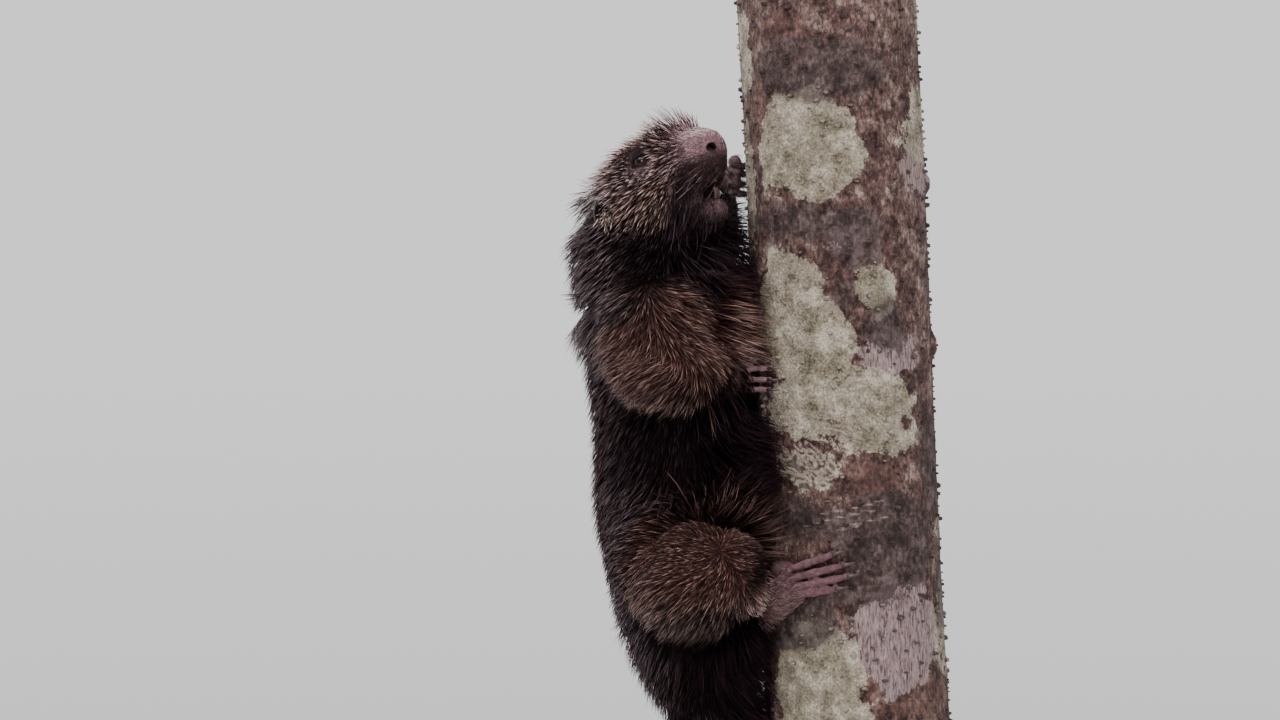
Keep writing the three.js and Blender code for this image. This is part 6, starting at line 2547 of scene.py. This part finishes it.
        return [
            ("spines_neck", Patch(anatomy.neck, NECK_SPINE, self.neck_flow, self.spiny, nape)),
            ("spines_neck", Patch(anatomy.nape, NECK_SPINE, self.neck_flow, self.spiny)),
            ("underhair_neck", Patch(anatomy.nape, UNDER_HAIR, self.neck_flow, self.spiny)),
            ("spines_back", Patch(anatomy.torso, BACK_SPINE, self.body_flow, self.spiny, waist)),
            ("hair_throat", Patch(anatomy.neck, BELLY_HAIR, self.neck_flow, self.soft)),
            ("hair_belly", Patch(anatomy.torso, BELLY_HAIR, self.body_flow, self.soft)),
            ("hair_front", Patch(anatomy.neck, FRONT_HAIR, self.neck_flow, facing, self.to_trunk)),
            ("hair_front", Patch(anatomy.torso, FRONT_HAIR, self.body_flow, facing, self.to_trunk)),
            ("hair_front", Patch(anatomy.tail, FRONT_HAIR, self.body_flow, facing, self.to_trunk)),
            ("underhair_neck", Patch(anatomy.neck, UNDER_HAIR, self.neck_flow, self.spiny)),
            ("underhair_back", Patch(anatomy.torso, UNDER_HAIR, self.body_flow, self.spiny)),
            ("spines_tail", Patch(anatomy.tail, BACK_SPINE, self.tail_flow, tail_spines, rooted)),
            ("bristles_tail", Patch(anatomy.tail, TAIL_BRISTLE, self.tail_flow, bristly, tapering)),
        ]

    def limb_patches(self) -> list[tuple[str, Patch]]:
        """What grows on the arms and legs."""
        made = []
        for name, form in self.anatomy.limbs.items():
            flow = self.raised_flow if "arm_left" in name else self.body_flow
            wrist = form.path[-1]
            lower = "forearm" in name or "shin" in name
            # The leg's hair fans out from here.
            fan = np.array([-57.0, -86.0, 384.0] if "right" in name else [-57.0, 86.0, 365.0])

            def reach(points: Array, wrist: Array = wrist, lower: bool = lower, fan: Array = fan) -> Array:
                """Shorter towards the hand or foot, and where the leg's hair fans out."""
                short = smooth(4.0, 38.0, norms(points - wrist)) if lower else 1.0
                top = 0.72 * smooth(-16.0, 4.0, points[:, 2] - fan[2]) * (points[:, 2] < 450.0)
                spread = 0.5 + 0.5 * smooth(12.0, 42.0, norms(points - fan))
                least = 0.16 if points[0, 2] > 450.0 else 0.4
                return (least + (1.0 - least) * short) * np.maximum(spread * (1.0 - top), 0.42)

            def outer(points: Array, normals: Array) -> Array:
                """None where the limb lies on the trunk."""
                return smooth(0.92, 0.75, normals[:, 0])

            made.append((f"hair_{name}", Patch(form, LIMB_HAIR, flow, outer, reach)))
            made.append((f"spines_{name}", Patch(form, LIMB_SPINE, flow, outer, reach)))
            under = Patch(form, LIMB_UNDER, flow, None, lambda p, r=reach: 0.9 * r(p))
            made.append((f"underhair_{name}", under))
        return made

    def paw_patches(self) -> list[tuple[str, Patch]]:
        """The short hair on the backs of the hands and feet."""
        made, tree = [], self.anatomy.tree
        for name, paw in self.anatomy.paws.items():
            # The left hand's fuzz is darker at the root: painted shade, as that hand lies in the shadow
            # behind the chin.
            tints = {"hand_right": ("#5a4148", "#957a81"), "hand_left": ("#46373c", "#a3929a")}.get(name)
            tints = tints or ("#6b4d52", "#c9adab")
            palm = paw.palm(tree)
            way = unit(paw.digit(tree, 1).path[-1] - palm.path[0])

            def flow(points: Array, way: Array = way) -> Array:
                """Towards the fingers, hanging a little."""
                return np.tile(way - 0.25 * Z_AXIS, (len(points), 1))

            def outer(points: Array, normals: Array) -> Array:
                """The side away from the trunk."""
                return smooth(-0.1, 0.4, dot(normals, tree.outwards(points)))

            def longer(points: Array, heel: Array = palm.path[0]) -> Array:
                """Long at the heel, short at the knuckles, and shorter on the hands."""
                grown = 0.7 + 1.5 * smooth(30.0, 6.0, norms(points - heel))
                return grown * (0.45 if heel[2] > 450.0 else 1.0)

            def sparse(points: Array, normals: Array, furred: bool = name == "hand_left") -> Array:
                """A little on the digits' backs, and all over the left hand's."""
                return np.maximum(0.4 * smooth(0.1, 0.6, dot(normals, tree.outwards(points))), 1.0 * furred)

            def short(points: Array, furred: bool = name == "hand_left") -> Array:
                """Full length on the left hand's digits only."""
                return np.full(len(points), 1.0 if furred else 0.35)

            made.append((f"fuzz_{name}", Patch(palm, PAW_FUZZ, flow, outer, longer, tints)))
            for index in range(len(paw.digits)):
                digit = paw.digit(tree, index)
                made.append((f"fuzz_{name}", Patch(digit, PAW_FUZZ, flow, sparse, short, tints)))
        return made

    def build(self) -> None:
        """Grows every patch and weaves them into pieces."""
        groups: dict[str, list[Strands]] = {}
        patches = [*self.head_patches(), *self.body_patches(), *self.limb_patches(), *self.paw_patches()]
        for seed, (name, patch) in enumerate(patches):
            grown = self.grow(patch, seed)
            if len(grown.centres):
                groups.setdefault(name, []).append(grown)
        for name, parts in groups.items():
            self.woven(name, Strands.joined(parts))


# The small parts


def swept(path: Array, radii: Array, sides: int, flat: float = 1.0) -> tuple[Array, Array, Array]:
    """A round section swept along a path, closed at both ends.

    Args:
        path: the middle line.
        radii: the radius at each of its points.
        sides: points round the section.
        flat: the section's height against its width.

    Returns:
        Points, four-cornered faces, and the share of the way along for each point.
    """
    along = unit(np.gradient(path, axis=0))
    hint = np.broadcast_to(Z_AXIS if abs(along[0] @ Z_AXIS) < 0.8 else X_AXIS, along.shape)
    across = unit(np.cross(along, hint))
    over = np.cross(along, across)
    turn = full_turn(sides)[:, None]
    ring = across[:, None] * np.cos(turn) + over[:, None] * np.sin(turn) * flat
    points = path[:, None] + ring * radii[:, None, None]
    ends = [np.broadcast_to(end, (1, sides, 3)) for end in (path[0], path[-1])]
    share = np.repeat([0.0, *np.linspace(0, 1, len(path)), 1.0], sides)
    return np.concatenate([ends[0], points, ends[1]]).reshape(-1, 3), grid_faces(len(path) + 2, sides), share


def finish_sweeps(name: str, sweeps: Sequence[tuple[Array, Array, Array]], finish: Finish) -> None:
    """Joins several swept forms into one piece that knows how far along each point is."""
    starts = np.cumsum([0] + [len(points) for points, _, _ in sweeps])
    faces = np.vstack([corners + start for (_, corners, _), start in zip(sweeps, starts)])
    mesh = mesh_of(name, np.vstack([points for points, _, _ in sweeps]), faces)
    add_numbers(mesh, "along", np.concatenate([share for _, _, share in sweeps]))
    finish_piece(name, mesh, finish)


@dataclass
class Claws:
    """The sixteen claws, each a curved, tapered piece of horn that holds the bark."""

    anatomy: Anatomy

    def build(self) -> None:
        """Makes one piece for each hand and foot."""
        for name, paw in self.anatomy.paws.items():
            paths = [paw.claw_path(self.anatomy.tree, index) for index in range(len(paw.digits))]
            sweeps = [swept(path, radii, 12, 1.25) for path, radii in paths]
            finish_sweeps(f"claws_{name}", sweeps, Horn())


@dataclass
class Eye:
    """An eyeball with a bulging cornea, set behind the lids."""

    anatomy: Anatomy
    side: Side
    cornea: float = 0.45
    rows: int = 48
    columns: int = 64

    def build(self) -> None:
        """Makes the eye."""
        away, around = pairs(np.linspace(0, math.pi, self.rows), full_turn(self.columns))
        radius = self.anatomy.eye_radius + self.cornea * smooth(0.85, 0.3, away)
        level = np.sin(away)
        ball = np.stack([level * np.cos(around), level * np.sin(around), np.cos(away)], axis=1)
        axes = eye_axes(self.anatomy.head, self.side)
        points = self.anatomy.eye_centre(self.side) + (ball * radius[:, None]) @ axes.T
        name = f"eye_{self.side.value}_ball"
        faces = grid_faces(self.rows, self.columns)
        mesh = mesh_of(name, points, faces if np.linalg.det(axes) < 0 else faces[:, ::-1])
        add_numbers(mesh, "radial", away / 1.05)
        finish_piece(name, mesh, WetEye(), [f"eye_{self.side.value}"])


@dataclass
class Ear:
    """A small round ear: a cup with a rolled rim, half buried in the coat."""

    anatomy: Anatomy
    side: Side
    root: Place = (7.0, 28.5, -3.5)
    back: str = "#4a3838"
    # The hollow's near black is painted shade inside the cup.
    hollow: str = "#1d1213"
    # Distance out and distance from the middle, from the outside round the rim into the hollow.
    profile: tuple[tuple[float, float], ...] = (
        *((-5.5, 0.5), (-5, 3.5), (-3, 5.8), (0, 7.2), (3, 8.0), (4.8, 8.3), (5.4, 8.0), (5.0, 7.4)),
        *((3, 6.6), (0.5, 5.2), (-1.2, 3.2), (-1.8, 0.3)),
    )

    def axes(self) -> tuple[Array, Array]:
        """Its root and its own ways as columns: out, across and up."""
        head, sign = self.anatomy.head, self.side.sign
        forward, aside, up = self.root
        out = head.way(0.62, sign * 0.75, 0.1)
        across = unit(np.cross(head.way(-0.1, sign * 0.15, 1.0), out))
        return head.place(forward, sign * aside, up), np.stack([out, across, np.cross(out, across)], axis=1)

    def build(self) -> None:
        """Makes the cup."""
        columns, rows = 56, 44
        line = smooth_curve(np.array([(*row, 0.0) for row in self.profile]), np.linspace(0, 1, rows))
        turn = full_turn(columns)[None]
        out, reach = line[:, :1], line[:, 1:2]
        lean = 1.0 + 0.14 * np.cos(turn) - 0.1 * np.cos(2 * turn + 0.6)
        notch = 1.0 - 0.35 * np.exp(-(((turn - 4.4) / 0.5) ** 2)) * smooth(3.0, 6.0, reach)
        across = reach * np.cos(turn) * 0.88 * notch
        up = reach * np.sin(turn) * 1.12 * lean * notch
        local = np.stack([out * notch + 0.25 * np.sin(3 * turn), across, up], axis=-1).reshape(-1, 3)
        root, ways = self.axes()
        points = root + local @ ways.T
        points += 0.12 * noise(points, 1.6, 81)[:, None]
        name = f"ear_{self.side.value}_cup"
        mesh = mesh_of(name, points, grid_faces(rows, columns))
        # Darker into the hollow of the cup: painted shade.
        inside = smooth(0.5, 0.75, np.repeat(np.linspace(0, 1, rows), columns))
        back, hollow = (np.array([linear(tint)]) for tint in (self.back, self.hollow))
        add_colours(mesh, "skin_tint", mix(back, hollow, inside))
        finish_piece(name, mesh, LivingSkin(), [f"ear_{self.side.value}"])


@dataclass
class Teeth:
    """Four incisors: curved, flat-faced and cut like chisels."""

    head: HeadFrame
    upper: tuple[float, float, float, float] = (78.0, 1.7, -5.0, -5.8)
    lower: tuple[float, float, float, float] = (71.6, 2.0, -21.0, 7.6)

    def build(self) -> None:
        """Makes the four teeth, each from its root's place forward, aside and up, and its height."""
        sweeps = []
        for (forward, left, up, height), side in itertools.product((self.upper, self.lower), Side):
            share = np.linspace(0, 1, 10)
            lean = 0.35 * height * share + 0.9 * np.sin(math.pi * share) * math.copysign(1, height)
            line = [forward + lean, side.sign * left * (1 - 0.12 * share), up + height * share]
            tooth, corners, along = swept(self.head.out(np.stack(line, axis=1)), 1.7 - 0.35 * share, 12, 0.85)
            bite = self.head.local(tooth)
            behind = forward + 0.35 * height > bite[:, 0]
            bite[:, 2] -= math.copysign(1.3, height) * smooth(0.75, 1.0, along) * behind
            sweeps.append((self.head.out(bite), corners, along))
        # Enamel is harder, smoother and glossier than horn, and stained brown to the root.
        enamel = Horn("tooth_enamel", roughness=0.35, ior=1.62, root="#24130f", tip="#523731", grain=0.8)
        finish_sweeps("incisors", sweeps, enamel)


@dataclass
class Whiskers:
    """Long face hairs, the cheek's hanging hairs, and the pale tufts of the ears."""

    anatomy: Anatomy
    coat: Coat
    seed: int = 5
    # How many whiskers, hanging hairs and tuft hairs there are on each side.
    counts: tuple[int, int, int] = (26, 76, 110)
    whisker: Pelt = Pelt(42, 0.15, 2.2, gather=0.0, steps=LONG_STEPS, widths=(1.2, 1.0, 0.85, 0.65, 0.45))
    hanging: Pelt = Pelt(36, 0.2, 2.2, gather=0.0, steps=LONG_STEPS, widths=(1.0, 1.0, 0.9, 0.75, 0.5))
    tuft: Pelt = Pelt(9, 0.3, 1.0, gather=0.0, steps=(-0.1, 0.35, 0.7), widths=(1.0, 0.9, 0.7))

    def sprung(
        self, pelt: Pelt, roots: Array, normals: Array, start: Array, end: Array, span: tuple[float, float],
        tints: tuple[str, str], chance: np.random.Generator,
    ) -> Strands:
        """Hairs with given roots and ways.

        Args:
            pelt: what they are.
            roots: where they leave the skin.
            normals: the ways out of the skin.
            start: the way each leaves.
            end: the way each points at its tip.
            span: the shortest and the longest.
            tints: the root and tip colours.
            chance: the source of chance.

        Returns:
            The hairs.
        """
        count = len(roots)
        luck = chance.random(count)
        length = chance.uniform(*span, count)
        centres, side, over = strands_along(pelt, roots, unit(start), unit(end), normals, length, luck)
        clear = self.anatomy.tree.kept_clear(centres[:, 1:].reshape(-1, 3), 0.8)
        centres[:, 1:] = clear.reshape(centres[:, 1:].shape)
        where = self.coat.uv_at("muzzle", np.linspace(0.4, 2.6, count), np.linspace(0.3, 5.9, count))
        radius = np.full(count, pelt.radius)
        return Strands(pelt, centres, side, over, radius, *tint_rows(tints, count), luck, where)

    def found(self, side: Side, low: Place, high: Place, count: int) -> tuple[Array, Array]:
        """Roots on one side of the face between two corners, in the head's frame, with their ways out.

        Args:
            side: which side.
            low: where it starts.
            high: where it ends.
            count: how many, at most.

        Returns:
            The roots, and the ways out of the skin there.
        """
        points, normals = [], []
        for form in (self.anatomy.muzzle, self.anatomy.skull, self.anatomy.jaw):
            polar, around, _ = self.coat.roots(form, 2.2, self.seed + side.sign)
            on_form, ways = form.surface(polar, around), form.normals(polar, around)
            local = self.anatomy.head.local(on_form) * np.array([1, side.sign, 1])
            near = np.all((local > low) & (local < high), axis=1)
            on_skin, ways, hit = self.coat.on_skin(on_form[near], ways[near])
            points.append(on_skin[hit])
            normals.append(ways[hit])
        points, normals = np.vstack(points), np.vstack(normals)
        keep = np.linspace(0, len(points) - 1, min(count, len(points))).astype(int)
        return points[keep], normals[keep]

    def build(self) -> None:
        """Makes the whiskers and the ear tufts."""
        chance = np.random.default_rng(self.seed)
        head = self.anatomy.head
        long, low, count = self.counts
        parts: dict[str, list[Strands]] = {"whiskers": [], "whiskers_cheek": [], "ear_tufts": []}
        for side in Side:
            roots, normals = self.found(side, (68, 5, -8), (86, 30, 4), long)
            back = unit(-head.way(0.55, 0, -0.25)[None] + 0.25 * chance.normal(0, 1, roots.shape))
            ways = normals * 0.9 + back * 0.5, back + np.array([[0, 0, -0.75]]) + normals * 0.3
            tints = ("#241816", "#8d7d82")
            whiskers = self.sprung(self.whisker, roots, normals, *ways, (18, 46), tints, chance)
            parts["whiskers"].append(whiskers)
            roots, normals = self.found(side, (44, 4, -22), (72, 30, -2), low)
            start = normals * 0.75 + head.way(0.1, 0, -0.6) + 0.15 * chance.normal(0, 1, roots.shape)
            end = np.array([[-0.4, 0.1 * side.sign, -0.9]]) + 0.13 * chance.normal(0, 1, roots.shape)
            tints = ("#140c0f", "#5f4f55")
            hanging = self.sprung(self.hanging, roots, normals, start, end, (16, 40), tints, chance)
            parts["whiskers_cheek"].append(hanging)
            root, ways = Ear(self.anatomy, side).axes()
            spread = chance.normal(0, 1, (count, 3)) * np.array([0.8, 2.2, 2.4]) + np.array([1.5, 0.5, -1.5])
            start = ways[:, 0] * 1.0 + 0.25 * chance.normal(0, 1, (count, 3)) - 0.1 * Z_AXIS
            end = np.array([[-0.35, 0.5 * side.sign, -0.7]]) + 0.25 * chance.normal(0, 1, (count, 3))
            outwards = np.tile(ways[:, 0], (count, 1))
            tints = ("#6d5850", "#c9b8ac")
            roots = root + spread @ ways.T
            tuft = self.sprung(self.tuft, roots, outwards, start, end, (7, 13), tints, chance)
            parts["ear_tufts"].append(tuft)
        for name, lots in parts.items():
            self.coat.woven(name, Strands.joined(lots))


@dataclass
class TailScales:
    """Small horny scales in rings round the tail, each overlapping the one below it."""

    anatomy: Anatomy
    size: float = 2.1
    thickness: float = 0.42
    sunk: float = 0.55
    # The share of the tail's curve where the scales start.
    first: float = 0.24
    overlap: float = 0.82
    seed: int = 9
    tint: str = "#3a2b28"
    # One scale's outline: along the tail and across it, against its size.
    outline: tuple[tuple[float, float], ...] = (
        *((-0.55, 0.0), (-0.45, 0.5), (0.15, 0.56), (0.62, 0.3)),
        *((0.72, 0.0), (0.62, -0.3), (0.15, -0.56), (-0.45, -0.5)),
    )

    def places(self) -> tuple[Array, Array]:
        """The polar and round angles of every scale."""
        tail = self.anatomy.tail
        polars = np.linspace(0.0, math.pi, 4000)
        steps = norms(np.diff(tail.surface(polars, np.zeros(4000)), axis=0))
        run = np.concatenate([[0], np.cumsum(steps)])
        start = np.interp(math.acos(1 - 2 * self.first), polars, run)
        polar, around = [], []
        for index, row in enumerate(np.arange(start, run[-1] - 3.0, self.size * self.overlap)):
            at = np.interp(row, run, polars)
            size = tail.frame_at(np.array([(1 - math.cos(at)) / 2]))[4][0].mean()
            count = max(8, int(2 * math.pi * size * math.sin(at) ** tail.bluntness / self.size))
            polar += [at] * count
            around += list((np.arange(count) + 0.5 * (index % 2)) / count * 2 * math.pi)
        return np.array(polar), np.array(around)

    def build(self) -> None:
        """Makes the scales."""
        tail, chance = self.anatomy.tail, np.random.default_rng(self.seed)
        polar, around = self.places()
        centres, normals = tail.surface(polar, around), tail.normals(polar, around)
        along = tail.frame_at((1 - np.cos(polar)) / 2)[1]
        along = unit(along - normals * dot(along, normals)[:, None])
        across = np.cross(normals, along)
        outline, sides = np.array(self.outline), len(self.outline)
        size = (self.size * (0.92 + 0.16 * chance.random(len(centres))))[:, None, None]
        flat = along[:, None] * outline[:, :1] + across[:, None] * outline[:, 1:]
        rise = 0.05 + self.thickness * smooth(-0.5, 0.72, outline[:, :1])
        ring = centres[:, None] + flat * size + normals[:, None] * rise
        top = centres[:, None] + normals[:, None] * self.thickness + along[:, None] * size * 0.1
        points = np.concatenate([ring - normals[:, None] * self.sunk, ring, top], axis=1)
        faces = []
        for low in range(sides):
            after = (low + 1) % sides
            faces += [(low, after, sides + after), (low, sides + after, sides + low)]
            faces.append((sides + low, sides + after, 2 * sides))
        each = 2 * sides + 1
        faces = repeated(np.array(faces), len(centres), each)
        mesh = mesh_of("tail_scales", self.anatomy.tree.kept_clear(points.reshape(-1, 3), 0.15), faces)
        light = np.repeat(chance.uniform(0.7, 1.3, len(centres)), each)[:, None]
        add_colours(mesh, "skin_tint", np.array(linear(self.tint)) * light)
        # Horny skin is drier and smoother than bare skin, so that each scale catches its own light.
        scaly = LivingSkin("scaly_skin", 0.5, 1.5, mottle_size=3.0, crease_size=0.7, crease_height=0.08)
        finish_piece("tail_scales", mesh, scaly)


@dataclass
class Stand:
    """The plain display stand, kept as the solids have it."""

    finishes: tuple[tuple[str, Finish], ...] = (
        ("stand_base", StainedWood()),
        ("stand_rod_left", BrushedSteel()),
        ("stand_rod_right", BrushedSteel()),
    )

    def build(self) -> None:
        """Gives its nodes their finishes."""
        for name, finish in self.finishes:
            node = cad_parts[name]
            node.data.materials.clear()
            node.data.materials.append(finish.material())
            log.info("%s: kept", name)


@dataclass
class Studio:
    """The camera, the soft lights and the pale floor."""

    eye: Place = (-0.1139, -1.960, 0.510)
    lens: float = 85.0
    sensor: float = 36.0
    aim: Place = (-0.05, 0.0, 0.5)
    floor_radius: float = 2.2
    sky: str = "#f2f3f3"
    # The sky's strength looking straight down, level and straight up.
    sky_strength: tuple[float, float, float] = (0.2, 1.2, 0.7)
    # Each lamp is its name, place, side in metres, watts and colour.
    lamps: tuple[tuple[str, Place, float, float, str], ...] = (
        ("key", (-0.2, -1.7, 2.3), 0.8, 40.0, "#fff8ee"),
        ("top", (-0.3, 0.1, 2.3), 1.4, 38.0, "#ffffff"),
        ("rim", (-1.6, 1.3, 1.5), 1.0, 14.0, "#ffffff"),
    )

    def lamp(self, name: str, place: Sequence[float], size: float, power: float, colour: str) -> None:
        """Adds one soft square lamp that points at the animal.

        Args:
            name: its name.
            place: where it stands.
            size: its side, in metres.
            power: in watts.
            colour: its hex colour.
        """
        light = bpy.data.lights.new(name, "AREA")
        light.size = size
        light.energy = power
        light.color = linear(colour)
        made = bpy.data.objects.new(name, light)
        made.location = place
        made.rotation_euler = (Vector(self.aim) - Vector(place)).to_track_quat("-Z", "Y").to_euler()
        bpy.context.scene.collection.objects.link(made)

    def build(self) -> None:
        """Makes all of it."""
        camera = bpy.data.cameras.new("camera")
        camera.lens = self.lens
        camera.sensor_width = self.sensor
        holder = bpy.data.objects.new("camera", camera)
        holder.location = self.eye
        holder.rotation_euler = (math.pi / 2, 0.0, 0.0)
        bpy.context.scene.collection.objects.link(holder)
        bpy.context.scene.camera = holder
        world = bpy.data.worlds.new("studio_sky")
        bpy.context.scene.world = world
        world.use_nodes = True
        tree = world.node_tree
        tree.nodes.clear()
        way = add_node(tree, "TexCoord", {}).outputs["Generated"]
        rise = add_node(tree, "SeparateXYZ", {0: way}).outputs["Z"]
        down, level, up = self.sky_strength
        span = {"Value": rise, "From Min": -0.6, "From Max": 0.0, "To Min": down, "To Max": level}
        below = add_node(tree, "MapRange", span)
        span = {"Value": rise, "From Min": 0.1, "From Max": 0.8, "To Min": 1.0, "To Max": up / level}
        above = add_node(tree, "MapRange", span)
        strength = add_node(tree, "Math", {0: below.outputs[0], 1: above.outputs[0]}, operation="MULTIPLY")
        sky = add_node(tree, "Background", {"Color": rgba(self.sky), "Strength": strength.outputs[0]})
        add_node(tree, "OutputWorld", {"Surface": sky.outputs[0]})
        for lamp in self.lamps:
            self.lamp(*lamp)
        columns, rows = 96, 12
        turn = full_turn(columns)
        reach = np.linspace(0.0, self.floor_radius, rows)
        flat = [np.outer(reach, np.cos(turn)), np.outer(reach, np.sin(turn)), np.zeros((rows, columns))]
        mesh = mesh_of("floor", np.stack(flat, axis=-1).reshape(-1, 3), grid_faces(rows, columns), scale=1.0)
        mesh.materials.append(StudioPaper().material())
        loose_object("floor", mesh)


def main() -> None:
    """Builds the animal, its trunk and its stand."""
    logging.basicConfig(level=logging.INFO, format="%(name)s %(message)s")
    Studio().build()
    Stand().build()
    tree = Tree()
    tree.build()
    anatomy = Anatomy(tree)
    markings = Markings(anatomy)
    coat = Coat(anatomy, markings, Skin(anatomy, markings).build())
    coat.build()
    Whiskers(anatomy, coat).build()
    for side in Side:
        Eye(anatomy, side).build()
        Ear(anatomy, side).build()
    Teeth(anatomy.head).build()
    Claws(anatomy).build()
    TailScales(anatomy).build()


if __name__ == "__main__":
    main()
